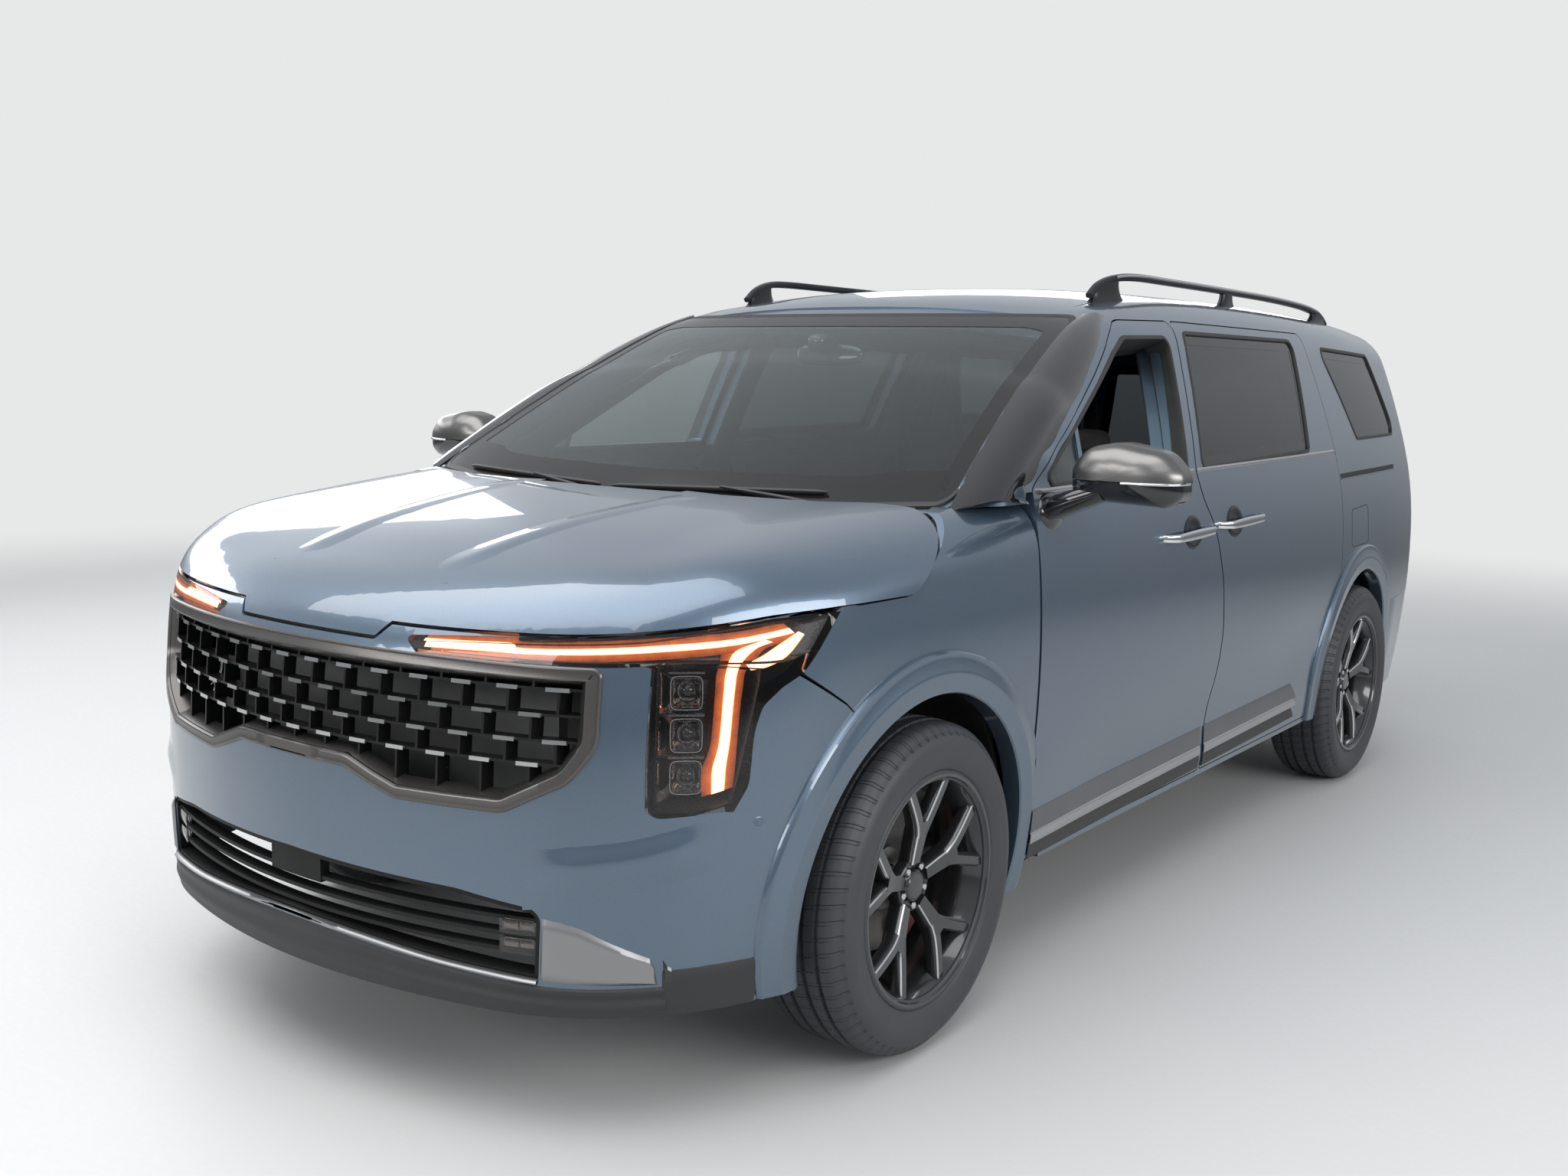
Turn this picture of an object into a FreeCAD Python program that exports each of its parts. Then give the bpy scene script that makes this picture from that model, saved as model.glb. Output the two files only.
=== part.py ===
import FreeCAD, Part
import math
import os

# Family minivan, modelled in millimetres. +Z is up, the front faces -Y and the vehicle's left is +X.
# The origin is the middle of the footprint on the ground.

V = FreeCAD.Vector
UP = V(0, 0, 1)
ACROSS = V(1, 0, 0)
ALONG = V(0, 1, 0)

# Main sizes
LENGTH = 5155.0
WHEELBASE = 3090.0
FRONT_OVERHANG = 935.0
HALF_WIDTH = 985.0
ROOF_TOP = 1785.0
RAIL_TOP = 1802.0
TRACK_HALF = 871.0

# Wheel and tyre
TYRE_R = 370.0
TYRE_HALF_WIDTH = 119.0
FLANGE_R = 258.0
SEAT_R = 240.0
RIM_HALF_WIDTH = 108.0
RIM_WALL = 9.0
HUB_R = 78.0
SPINDLE_R = 30.0
DISC_R = 168.0
DISC_THICK = 28.0

# Gaps
SEAM = 7.0
SEAT_GAP = 0.3
OVERRUN = 40.0

# Walls
DOOR_DEPTH = 62.0
FRAME_DEPTH = 108.0
SKIN = 12.0
ROOF_SKIN = 20.0
HOOD_SKIN = 20.0
GLASS = 5.0
LAMP_DEPTH = 60.0

# Places of the axles and of the ends
FRONT_Y = -LENGTH / 2
REAR_Y = LENGTH / 2
AXLE_F = FRONT_Y + FRONT_OVERHANG
AXLE_R = AXLE_F + WHEELBASE
ARCH_R = 412.0
ARCH_Z = 390.0
FLARE_R = 505.0
FLARE_OUT = 16.0
FLARE_BAND = 34.0

# Body section and plan, as shares of the half width
SECTION_SHARES = (.905, .935, .962, .980, .992, .999, .998, .988, .962, .920, .872, .818, .752)
PLAN_SHARES = (.120, .062, .020, .004, 0, 0, 0, 0, 0, 0, .004, .012, .026, .056, .110)
HOOD_SHARES = (.5462, .5955, .6275, .6459, .6599, .6711, .6796, .6857)
ROOF_SHARES = (.8739, .9591, .9871, .9966, .9994, .9989, .9961, .9894, .9776, .9591)
NOSE_SHARES = (.060, .022, .004, .001, 0, .002, .010, .026, .050)
TAIL_SHARES = (.040, .018, .006, 0, 0, .003, .008, .020, .038, .058, .085, .120, .160)
COWL_Y = -1180.0
NOSE_TOP = 1100.0
TAIL_LOW = 150.0
ROOF_FROM = -900.0
ROOF_TO = 2500.0
END_DEPTH = 1000.0
NOSE_SWEEP_SHARE = .30
TAIL_SWEEP_SHARE = .10
HOOD_CROWN = 24.0
ROOF_CROWN = 62.0
ROOF_CROWN_HALF = 780.0
SCREEN_TOP_Y = -640.0
SCREEN_TOP_Z = 1660.0
SCREEN_LOW_Z = 1150.0
SCREEN_SLOPE = .53
SCREEN_BOW = 30.0
SCREEN_WRAP = 110.0
SCREEN_HALF = 850.0
SCOOP_DEPTH = 16.0
SCOOP_Z = 430.0
SCOOP_RISE = 120.0
SCOOP_HALF = 110.0
NOSE_ROUND = 330.0
HOOD_ROUND = 110.0
TAIL_ROUND = 190.0
CANT_ROUND = 95.0
SCREEN_ROUND = 60.0

# Seams and openings in side view, as shares of length, height and length
DOOR_SHARES = (
    (-.2289, .1804, .0039), (-.2289, .6824, .0019), (-.1009, .8919, .0175), (-.0795, .9221, .0272),
    (-.014, .9277, .0048), (-.0334, .6863, .0019), (-.0291, .6443, .0388), (-.0145, .5938, .0582),
    (-.0039, .5042, .0776), (0, .4202, .0776), (-.0019, .3361, .0776), (-.0058, .2448, .0582),
    (-.0093, .1804, .0029))
DOOR_WINDOW_SHARES = (
    (-.2169, .688, .0027), (-.1048, .8683, .0136), (-.0854, .893, .0175), (-.0287, .8986, .0047),
    (-.045, .6913, .0031))
SLIDER_SHARES = (
    (-.008, .1804, .0029), (-.0045, .2448, .0582), (-.0006, .3361, .0776), (.0014, .4202, .0776),
    (-.0025, .5042, .0776), (-.0132, .5938, .0582), (-.0277, .6443, .0388), (-.032, .6863, .0019),
    (-.0126, .9277, .0048), (.2107, .93, .0058), (.2227, .707, .0039), (.225, .6162, .0116),
    (.2242, .5042, .0116), (.2231, .1804, .0019))
SLIDER_WINDOW_SHARES = (
    (-.0217, .6924, .0035), (-.0023, .9087, .0047), (.1866, .912, .0058), (.1668, .7081, .0039))
QUARTER_WINDOW_SHARES = (
    (.2844, .7238, .0047), (.244, .9031, .0047), (.3715, .8964, .0058), (.4058, .7283, .0078))
QUARTER_BAR_SHARES = (
    (-.1775, .6611, 0), (-.1732, .7843, 0), (-.1694, .7843, 0), (-.1732, .6611, 0))
HOOD_EDGE_SHARES = (
    (-.5238, .5479, 0), (-.485, .5479, .0582), (-.4712, .5513, .0582), (-.4376, .563, .0776),
    (-.413, .572, .0776), (-.3833, .5754, .0582), (-.3366, .577, .0116), (-.2921, .6633, .0023),
    (-.2793, .6678, 0), (-.2793, .7843, 0), (-.5238, .7843, 0))
FENDER_SHARES = (
    (-.2303, .1681, .0019), (-.2303, .6611, .0012), (-.2793, .6639, .0012), (-.2914, .6599, .0023),
    (-.3352, .5731, .0116), (-.3833, .5714, .0039), (-.3895, .5501, .0116), (-.3973, .5294, .0116),
    (-.4027, .5087, .0031), (-.3783, .465, .0116), (-.3492, .3922, 0), (-.3185, .3361, 0),
    (-.2813, .1681, 0))

# Openings and edges in front view, as shares of half width, height and length
SCREEN_SHARES = (
    (-.8711, .6689, .0058), (-.5076, .6566, .0776), (0, .6521, .1746), (.5076, .6566, .0776),
    (.8711, .6689, .0058), (.7228, .9255, .0116), (-.7228, .9255, .0116))
HOOD_TONGUE_SHARES = (
    (-.2193, .5317, .0016), (.2193, .5317, .0016), (.2467, .549, .0016), (.2467, .6162, 0),
    (-.2467, .6162, 0), (-.2467, .549, .0016))
LAMP_SHARES = (
    (.2944, .5361, .0012), (.4264, .5417, .0582), (.6112, .5479, .0582), (.7553, .5541, .0582),
    (.9066, .5681, .0388), (1.3198, .5725, 0), (1.3198, .3361, 0), (.9188, .3585, 0),
    (.8812, .3653, .0043), (.798, .3619, .0043), (.7838, .3709, .0031), (.7817, .5232, .0019),
    (.7147, .521, .0008), (.335, .521, .0012))
LAMP_REAR_SHARES = (
    (-.5238, .6162, 0), (-.3802, .6162, 0), (-.3806, .5714, .0012), (-.3887, .5462, .0116),
    (-.395, .5255, .0116), (-.4012, .5076, .0078), (-.4109, .4941, .0116), (-.4186, .4762, .0078),
    (-.4221, .4482, .0388), (-.4237, .3922, .0116), (-.4287, .3653, .0058), (-.4384, .3137, 0),
    (-.5238, .3137, 0))
GRILLE_SHARES = (
    (-.7107, .5193, .0031), (-.7127, .437, .0175), (-.6701, .3989, .0155), (-.5482, .3619, .0116),
    (-.3046, .3602, .0116), (-.2386, .372, .0116), (-.1726, .3854, .0116), (.1726, .3854, .0116),
    (.2386, .372, .0116), (.3046, .3602, .0116), (.5482, .3619, .0116), (.6701, .3989, .0155),
    (.7127, .437, .0175), (.7107, .5193, .0031))
INTAKE_SHARES = (
    (-.6213, .2588, .0058), (-.6132, .1782, .0023), (-.4061, .1849, .0388), (0, .1972, .0776),
    (.4061, .1849, .0388), (.6132, .1782, .0023), (.6213, .2588, .0058), (.4467, .2711, .0233),
    (0, .2756, .0776), (-.4467, .2711, .0233))
GATE_SHARES = (
    (-.5685, .3585, .0097), (.5685, .3585, .0097), (.731, .549, .0175), (.6497, .8739, .0155),
    (.6091, 1.0196, 0), (-.6091, 1.0196, 0), (-.6497, .8739, .0155), (-.731, .549, .0175))
GATE_WINDOW_SHARES = (
    (-.6497, .6331, .0116), (.6497, .6331, .0116), (.5685, .8739, .0116), (-.5685, .8739, .0116))

# Lines that bound the panels
SILL_Z = 300.0
DOOR_WALL_FROM = -1480.0
DOOR_WALL_TO = 1300.0
GLASS_WALL_TO = 2200.0
REAR_WALL_FROM = 1350.0
NOSE_WALL_TOP = 1010.0
LAMP_WALL_LOW = 600.0
LAMP_WALL_TOP = 1030.0
GRILLE_LOW = 610.0
GRILLE_TOP = 960.0
INTAKE_LOW = 290.0
INTAKE_TOP = 520.0
BODY_FRONT_Y = -1500.0
BUMPER_LOW = 250.0
FAN_Z = 1000.0
FAN_REAR_Y = 1950.0
FAN_FRONT_Y = -1180.0
ROOF_HALF = 636.0
ROOF_FRONT = -556.0
GATE_FRONT = 2190.0
REAR_BUMPER_TOP = 632.0
REAR_BUMPER_FRONT = 1965.0
LAMP_LOW = 1000.0
LAMP_HIGH = 1180.0
LAMP_FRONT = 2330.0
FLANGE = 42.0

# Aims and posts of the rays that find the body surface
AIM_X = 950.0
AIM_LOW = 225.0
AIM_HIGH = 2100.0
GATE_AIM_HALF = 740.0
GATE_AIM_TAPER = 120.0
GATE_FAN_Y = 1900.0
HOOD_FAN_BACK = 150.0
HOOD_FAN_LONG = 700.0
HOOD_FAN_LEAN = 68
FENDER_FROM = -2160.0
FENDER_FAN_Z = 600.0
FENDER_AIM_LOW = 180.0
FENDER_AIM_HIGH = 1450.0

# A length past everything, and the turns of the rays round the rear corner
FAR = LENGTH
REAR_TURNS = [math.radians(a) for a in (8, 17, 26, 34, 42, 50, 58, 66, 74, 82, 90)]

# Front door hinges
HINGE_IN = 45.0
HINGE_BACK = 30.0
HINGE_X = HALF_WIDTH - HINGE_IN
HINGE_Y = DOOR_SHARES[0][0] * LENGTH + HINGE_BACK
HINGE_LEVELS = (480.0, 880.0)
HINGE_TALL = 70.0
PIN_R = 7.0
EYE_R = 14.0

# Roller guides of the sliding door: (y, z) places of their middles
GUIDE_PLACES = ((1128.0, 1050.0), (11.0, 880.0), (260.0, 340.0))
GUIDE_HALF = 16.0

# Room that a front tyre sweeps as it steers
KING_X = 763.0
BOWL_R = 378.0
BOWL_OUT = 218.0
BOWL_IN_X = 541.0

# Body shell
FIREWALL_Y = -1330.0
FIREWALL_THICK = 24.0
FLOOR_Z = 330.0
TROUGH_Z = 1096.0
PILLAR_IN = 800.0
SCREEN_FRAME = 30.0
HEADER = 70.0
CABIN_HALF = 868.0

# Depths of the lamps and the grille
LAMP_BAR = 45.0
LAMP_GAP = .8
GRILLE_DEPTH = 46.0
BUMPER_REAR_SHARES = (
    (-.5238, .056, 0), (-.3298, .056, 0), (-.3298, .3541, 0), (-.3492, .3894, 0),
    (-.3783, .4622, .0116), (-.4035, .5053, 0), (-.4035, .6162, 0), (-.5238, .6162, 0))

# Hood and its hinges
HOOD_REAR_Y = -1650.0
HOOD_REAR_BOW = 152.0
HOOD_REAR_HALF = 827.0
HOOD_PIN_Y = -1495.0
HOOD_PIN_Z = 1150.0
HOOD_PIN_R = 5.0
HOOD_EYE_R = 10.0
HOOD_HINGE_X = 765.0
HOOD_ARM_WIDE = 12.0
HOOD_ARM_LONG = 125.0

# Grille lattice and dashes
GRILLE_FRAME = 26.0
GRILLE_LEVELS_Z = (883.0, 834.0, 785.0, 740.0)
GRILLE_BAR = 5.0
GRILLE_RIB = 5.0
CELL = 96.0
DASH = 42.0
DASH_TALL = 8.0
DASH_OUT = 5.0
GRILLE_SET = 14.0

# Lower intake and radiator
INTAKE_SLATS_Z = (372.0, 404.0, 436.0)
SLAT = 8.0
PAD_HALF = 82.0
PAD_LOW = 426.0
PAD_HIGH = 491.0
RADIATOR_Y = -2330.0

# Liftgate and its hinges
GATE_DEPTH = 50.0
GATE_PIN_IN = 34.0
GATE_ARM = 60.0
GATE_HINGE_X = 430.0
GATE_HINGE_WIDE = 46.0
GATE_SWING_R = 72.0
GATE_PIN_Y = GATE_FRONT - GATE_ARM

# Wheels and tyres
SPOKES = 5
SPOKE_SHARES = ((.24, -.16), (.24, .16), (.62, .19), (1.0, .34), (1.0, .22), (.70, .045), (.70, -.045),
                (1.0, -.22), (1.0, -.34), (.62, -.19))
SPOKE_FACE = 92.0
SPOKE_THICK = 34.0
SPOKE_DISH = 26.0
TYRE_SHARES = ((.92, .655), (.97, .69), (1.0, .80), (.96, .90), (.86, .965), (.72, .990), (.36, 1.0))

# Front suspension and frame
KING_R = 22.0
KING_LEAN_SHARE = .161
ARM_DROP = 120.0
STRUT_R = 26.0
STRUT_TOP = 960.0
LOWER_ARM_Z = 226.0
ARM_REACH = 260.0
RAIL_W = 35.0
RAIL_X = BOWL_IN_X - SKIN - SEAT_GAP - RAIL_W
RAIL_Z = 480.0
RAIL_LONG = 1050.0
BEAM_HALF = 590.0
DISC_IN = 54.0
DISC_X = TRACK_HALF - DISC_IN

# Engine
ENGINE_HALF = 400.0
ENGINE_FRONT = -2140.0
ENGINE_REAR = -1560.0
ENGINE_HIGH = 985.0

# Rear axle and floor
ARM_X = 560.0
ARM_LONG = 460.0
KICK_Z = 560.0
KICK_Y = 1050.0
FLOOR_THICK = 30.0
FLOOR_HALF = 868.0
REAR_FLOOR_END = 2440.0
WELL_X = 700.0
LINER_OUT = 915.0

# Dash profile: distance behind the firewall, height and corner radius
DASH_PROFILE = (
    (0, 1095.0, 0), (120.0, 1112.0, 40.0), (330.0, 1085.0, 50.0), (420.0, 1010.0, 40.0), (400.0, 860.0,
            60.0),
    (230.0, 640.0, 60.0), (120.0, 600.0, 40.0), (0, 620.0, 0))

# Steering wheel
WHEEL_X = 380.0
RING_R = 182.0
RING_TUBE = 15.0
RING_Y = -800.0
RING_Z = 1000.0
RING_TILT_SHARE = .45
BOSS_R = 62.0
BOSS_BACK = 40.0
BOSS_OUT = 12.0
SPOKE_R = 11.0
COLUMN_R = 26.0
COLUMN_LONG = 260.0

# Seats
SEAT_HALF = 250.0
BENCH_HALF = 577.0
FRONT_SEAT_Y = -560.0
FRONT_SEAT_SIZE = 640.0
SECOND_SEAT_Y = 330.0
SECOND_SEAT_SIZE = 620.0
THIRD_SEAT_Y = 1330.0
THIRD_SEAT_SIZE = 600.0
SEAT_SIDE_SHARES = ((0, .36), (.06, .47), (.50, .43), (.62, .44), (.84, 1.0), (.90, 1.24), (1.02, 1.22),
                    (.98, .98), (.78, .30),
                    (.30, .26), (.04, .28))

# Roof rails
RAIL_SIDE = 660.0
RAIL_HIGH = 56.0
RAIL_WIDE = 34.0
RAIL_TALL = 24.0
RAIL_FEET = (-300.0, 1770.0)
RAIL_BENDS = (-123.0, 1560.0)
RAIL_LEVEL = (100.0, 1100.0)

# Door mirror: front view outline of its shell, and the arm from the door
MIRROR_OUTLINE = (
    (1003.0, 1196.0, 30.0), (1245.0, 1187.0, 38.0), (1281.0, 1215.0, 34.0), (1283.0, 1275.0, 44.0),
    (1236.0, 1320.0, 70.0), (1120.0, 1342.0, 120.0), (1040.0, 1325.0, 70.0), (1003.0, 1275.0, 40.0))
MIRROR_FRONT = -1165.0
MIRROR_REAR = -1045.0
MIRROR_ROUND = 26.0
MIRROR_ARM_FROM = (930.0, -1105.0, 1165.0)
MIRROR_ARM_TO = (1060.0, -1105.0, 1215.0)
MIRROR_ARM_R = 26.0

# Exhaust and fuel tank
PIPE_X = 250.0
PIPE_Z = 215.0
PIPE_R = 28.0
PIPE_FRONT = -1480.0
PIPE_REAR = 2300.0
SILENCER = (60.0, 460.0, 1750.0, 2100.0, 190.0, 330.0)
HANGER_R = 6.0
HANGERS_Y = (-600.0, 400.0)
TANK = (-600.0, -60.0, 150.0, 900.0, 200.0)

# Wipers: front view places of their ends
WIPER_PLACES = (
    (-.0609, .6588, 0), (.5685, .67, 0), (-.7005, .6678, 0), (-.1015, .6611, 0))
BLADE_TALL = 9.0
BLADE_OUT = 16.0


def clamp(value, low, high):
    return min(max(value, low), high)


def ease(t):
    t = clamp(t, 0, 1)
    return t * t * (3 - 2 * t)


def flow(shares, low, high, at):
    """Uniform cubic B-spline through the middle of its control shares, straight past its ends."""
    last = len(shares) - 1
    u = clamp((at - low) / (high - low) * last, 0, last)
    i = min(int(u), last - 1)
    f = u - i
    before = 2 * shares[0] - shares[1] if i == 0 else shares[i - 1]
    after = 2 * shares[last] - shares[last - 1] if i == last - 1 else shares[i + 2]
    a = (1 - f) ** 3 * before
    b = (3 * f ** 3 - 6 * f * f + 4) * shares[i]
    c = (-3 * f ** 3 + 3 * f * f + 3 * f + 1) * shares[i + 1]
    return (a + b + c + f ** 3 * after) / 6


def side_x(y, z):
    """Half width of the body side: its section times its plan, with the scoop along the doors."""
    x = HALF_WIDTH * (flow(SECTION_SHARES, 0, ROOF_TOP, z) - flow(PLAN_SHARES, FRONT_Y, REAR_Y, y))
    m = (y - AXLE_F) / WHEELBASE
    fade = ease((m - .12) / .2) * ease((.92 - m) / .2)
    level = SCOOP_Z + SCOOP_RISE * m
    return x - SCOOP_DEPTH * fade * math.exp(-((z - level) / SCOOP_HALF) ** 2)


def hood_z(x, y):
    crown = HOOD_CROWN * (abs(x) / HALF_WIDTH) ** 2.2
    return ROOF_TOP * flow(HOOD_SHARES, FRONT_Y, COWL_Y, y) - crown


def nose_y(x, z):
    sweep = NOSE_SWEEP_SHARE * END_DEPTH * (abs(x) / END_DEPTH) ** 2
    return FRONT_Y + END_DEPTH * flow(NOSE_SHARES, 0, NOSE_TOP, z) + sweep


def roof_z(x, y):
    crown = ROOF_CROWN * (abs(x) / ROOF_CROWN_HALF) ** 2.4
    return ROOF_TOP * flow(ROOF_SHARES, ROOF_FROM, ROOF_TO, y) - crown


def screen_y(x, z):
    t = (z - SCREEN_LOW_Z) / (SCREEN_TOP_Z - SCREEN_LOW_Z)
    y = SCREEN_TOP_Y - (SCREEN_TOP_Z - z) / SCREEN_SLOPE - 4 * SCREEN_BOW * t * (1 - t)
    return y + SCREEN_WRAP * (abs(x) / SCREEN_HALF) ** 2


def tail_y(x, z):
    sweep = TAIL_SWEEP_SHARE * END_DEPTH * (abs(x) / END_DEPTH) ** 2
    return REAR_Y - END_DEPTH * flow(TAIL_SHARES, TAIL_LOW, ROOF_TOP, z) - sweep


def corner(a, b, radius, power):
    """Signed distance-like blend of two faces that meet along a rounded edge."""
    p = a + radius
    q = b + radius
    if p <= 0 or q <= 0:
        return max(a, b)
    return (p ** power + q ** power) ** (1 / power) - radius


def front_gap(x, y, z):
    g = corner(x - side_x(y, z), nose_y(x, z) - y, NOSE_ROUND, 2.4)
    return corner(g, z - hood_z(x, y), HOOD_ROUND, 2.2)


def cabin_gap(x, y, z):
    g = corner(x - side_x(y, z), z - roof_z(x, y), CANT_ROUND, 2.2)
    g = corner(g, y - tail_y(x, z), TAIL_ROUND, 2.3)
    return corner(g, screen_y(x, z) - y, SCREEN_ROUND, 2.3)


def hit(gap, origin, way):
    """First point along a ray where the gap function turns from inside to outside."""
    low = 0.0
    high = LENGTH
    for _ in range(34):
        mid = (low + high) / 2
        p = origin + way * mid
        if gap(abs(p.x), p.y, p.z) < 0:
            low = mid
        else:
            high = mid
    return origin + way * low


def surface(rows):
    s = Part.BSplineSurface()
    s.interpolate(rows)
    return s.toShape()


def slab(gap, rays, top, bottom):
    """Closed solid between two depths under the body surface, on a grid of rays."""
    skin_points = [[(hit(gap, o, w), w) for o, w in row] for row in rays]
    outer = surface([[p - w * top for p, w in row] for row in skin_points])
    inner = surface([[p - w * bottom for p, w in row] for row in skin_points])
    faces = [outer, inner]
    for a, b in zip(outer.Edges, inner.Edges):
        faces.append(Part.makeRuledSurface(a, b))
    shell = Part.makeShell(faces)
    shell.sewShape()
    solid = Part.makeSolid(shell)
    if solid.Volume < 0:
        solid.reverse()
    return solid


def spread(low, high, count):
    return [low + (high - low) * i / (count - 1) for i in range(count)]


def unit(x, y, z):
    v = V(x, y, z)
    return v / v.Length


def rounded(points):
    """Closed run of lines and tangent arcs through (a, b, radius) corners, as point lists."""
    count = len(points)
    parts = []
    for i in range(count):
        a0, b0, _ = points[i - 1]
        a1, b1, r = points[i]
        a2, b2, _ = points[(i + 1) % count]
        u = V(a0 - a1, b0 - b1, 0)
        w = V(a2 - a1, b2 - b1, 0)
        lu = u.Length
        lw = w.Length
        u = u / lu
        w = w / lw
        turn = math.acos(clamp(u.dot(w), -1, 1))
        corner_point = V(a1, b1, 0)
        if r <= 0 or turn > math.pi * .995:
            parts.append((corner_point,))
            continue
        reach = min(r / math.tan(turn / 2), .45 * lu, .45 * lw)
        true_r = reach * math.tan(turn / 2)
        middle = u + w
        middle = middle / middle.Length
        bend = corner_point + middle * (true_r / math.sin(turn / 2) - true_r)
        parts.append((corner_point + u * reach, bend, corner_point + w * reach))
    return parts


def face_of(points, place):
    """Flat face from rounded corners; place maps an outline point into space."""
    parts = rounded(points)
    edges = []
    for i, part in enumerate(parts):
        if len(part) == 3:
            a, b, c = [place(p.x, p.y) for p in part]
            edges.append(Part.Arc(a, b, c).toShape())
        start = place(part[-1].x, part[-1].y)
        nxt = parts[(i + 1) % len(parts)][0]
        end = place(nxt.x, nxt.y)
        if (end - start).Length > SEAT_GAP / 10:
            edges.append(Part.LineSegment(start, end).toShape())
    return Part.Face(Part.Wire(Part.__sortEdges__(edges)))


def side_prism(points, x_from, x_to):
    face = face_of(points, lambda a, b: V(x_from, a, b))
    return face.extrude(V(x_to - x_from, 0, 0))


def front_prism(points, y_from, y_to):
    face = face_of(points, lambda a, b: V(a, y_from, b))
    return face.extrude(V(0, y_to - y_from, 0))


def plan_prism(points, z_from, z_to):
    face = face_of(points, lambda a, b: V(a, b, z_from))
    return face.extrude(V(0, 0, z_to - z_from))


def block(x0, x1, y0, y1, z0, z1):
    return Part.makeBox(x1 - x0, y1 - y0, z1 - z0, V(x0, y0, z0))


def rod(start, end, radius):
    way = end - start
    return Part.makeCylinder(radius, way.Length, start, way)


def across(y, z, radius, x0, x1):
    return Part.makeCylinder(radius, x1 - x0, V(x0, y, z), ACROSS)


def mirrored(shape):
    return shape.mirror(V(0, 0, 0), ACROSS)


def joined(shapes):
    return shapes[0].multiFuse(shapes[1:]).removeSplitter()


def biggest(shape):
    return max(shape.Solids, key=lambda s: s.Volume)


def save(name, *shapes):
    solids = []
    for s in shapes:
        solids.extend(s.Solids)
    whole = solids[0] if len(solids) == 1 else Part.makeCompound(solids)
    whole.exportStep("parts/" + name + ".step")


def sides(shares):
    """Side view outline: (y, z, radius) from shares of length and height."""
    return [(a * LENGTH, b * ROOF_TOP, r * LENGTH) for a, b, r in shares]


def fronts(shares):
    """Front view outline: (x, z, radius) from shares of half width, height and length."""
    return [(a * HALF_WIDTH, b * ROOF_TOP, r * LENGTH) for a, b, r in shares]


def grown(points, by):
    """The same closed outline moved outwards by a distance, its corners kept."""
    count = len(points)
    area = sum(points[i - 1][0] * points[i][1] - points[i][0] * points[i - 1][1] for i in range(count))
    sign = 1 if area > 0 else -1
    out = []
    for i in range(count):
        a0, b0, _ = points[i - 1]
        a1, b1, r = points[i]
        a2, b2, _ = points[(i + 1) % count]
        u = V(a1 - a0, b1 - b0, 0)
        w = V(a2 - a1, b2 - b1, 0)
        u = u / u.Length
        w = w / w.Length
        n = V(u.y + w.y, -u.x - w.x, 0)
        n = n / n.Length
        scale = by * sign / max(n.x * u.y - n.y * u.x, .3)
        out.append((a1 + n.x * scale, b1 + n.y * scale, max(r + by, 0)))
    return out


def fan(y, turn, aim_x, aim_z):
    """Ray from the middle of the cabin towards a side, turned towards the rear by an angle."""
    way = unit(aim_x * math.cos(turn), aim_x * math.sin(turn), aim_z - FAN_Z)
    return V(0, y, FAN_Z), way


def side_rays(y_from, y_to, count, turns=()):
    stations = [(y, 0) for y in spread(y_from, y_to, count)] + [(y_to, t) for t in turns]
    return [[fan(y, t, AIM_X, z) for z in spread(AIM_LOW, AIM_HIGH, 21)] for y, t in stations]


def front_rays(count, low, high, levels, reach=90):
    """Rays level with the ground from a post between the front wheels, from side to side."""
    turns = [math.radians(a) for a in spread(-reach, reach, count)]
    return [[(V(0, FAN_FRONT_Y, z), V(math.sin(t), -math.cos(t), 0)) for z in spread(low, high, levels)]
            for t in turns]


def quarter_front_rays(count, low, high, levels):
    turns = [math.radians(a) for a in spread(0, 92, count)]
    return [[(V(0, FAN_FRONT_Y, z), V(math.sin(t), -math.cos(t), 0)) for z in spread(low, high, levels)]
            for t in turns]


def tail_rays(count, low, high, levels, reach=90):
    turns = [math.radians(a) for a in spread(-reach, reach, count)]
    return [[(V(0, FAN_REAR_Y, z), V(math.sin(t), math.cos(t), 0)) for z in spread(low, high, levels)]
            for t in turns]


def hood_rays():
    """Rays across the engine bay that lean forward towards the nose."""
    rows = []
    for s in spread(0, 1, 17):
        y = COWL_Y - HOOD_FAN_BACK - HOOD_FAN_LONG * s
        lean = math.radians(HOOD_FAN_LEAN) * ease((s - .35) / .65)
        row = []
        for t in spread(math.radians(14), math.radians(166), 21):
            way = unit(math.cos(t), -math.sin(t) * math.sin(lean), math.sin(t) * math.cos(lean))
            row.append((V(0, y, FENDER_FAN_Z), way))
        rows.append(row)
    return rows


def roof_rays():
    half = ROOF_HALF + OVERRUN
    return [[(V(x, y, FAN_Z), UP) for x in spread(-half, half, 11)]
            for y in spread(ROOF_FRONT - OVERRUN, GATE_FRONT + OVERRUN, 15)]


def screen_rays():
    way = unit(0, -SCREEN_SLOPE, 1)
    rows = []
    for s in spread(-.1, 1.12, 10):
        z = SCREEN_LOW_Z * (1 - s) + SCREEN_TOP_Z * s
        y = SCREEN_TOP_Y - (SCREEN_TOP_Z - z) / SCREEN_SLOPE
        half = SCREEN_HALF + OVERRUN - s * (SCREEN_HALF - ROOF_HALF) * .75
        start = V(0, y, z) - way * (ROOF_TOP / 5)
        rows.append([(start + V(x, 0, 0), way) for x in spread(-half, half, 13)])
    return rows


def gate_rays():
    """Rays in planes along the body, from the load space towards the tail and the roof's end."""
    rows = []
    for share in spread(-1, 1, 19):
        row = []
        for e in spread(math.radians(-38), math.radians(70), 17):
            half = GATE_AIM_HALF - GATE_AIM_TAPER * ease(e)
            row.append((V(share * half, GATE_FAN_Y, FAN_Z), unit(0, math.cos(e), math.sin(e))))
        rows.append(row)
    return rows


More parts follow.
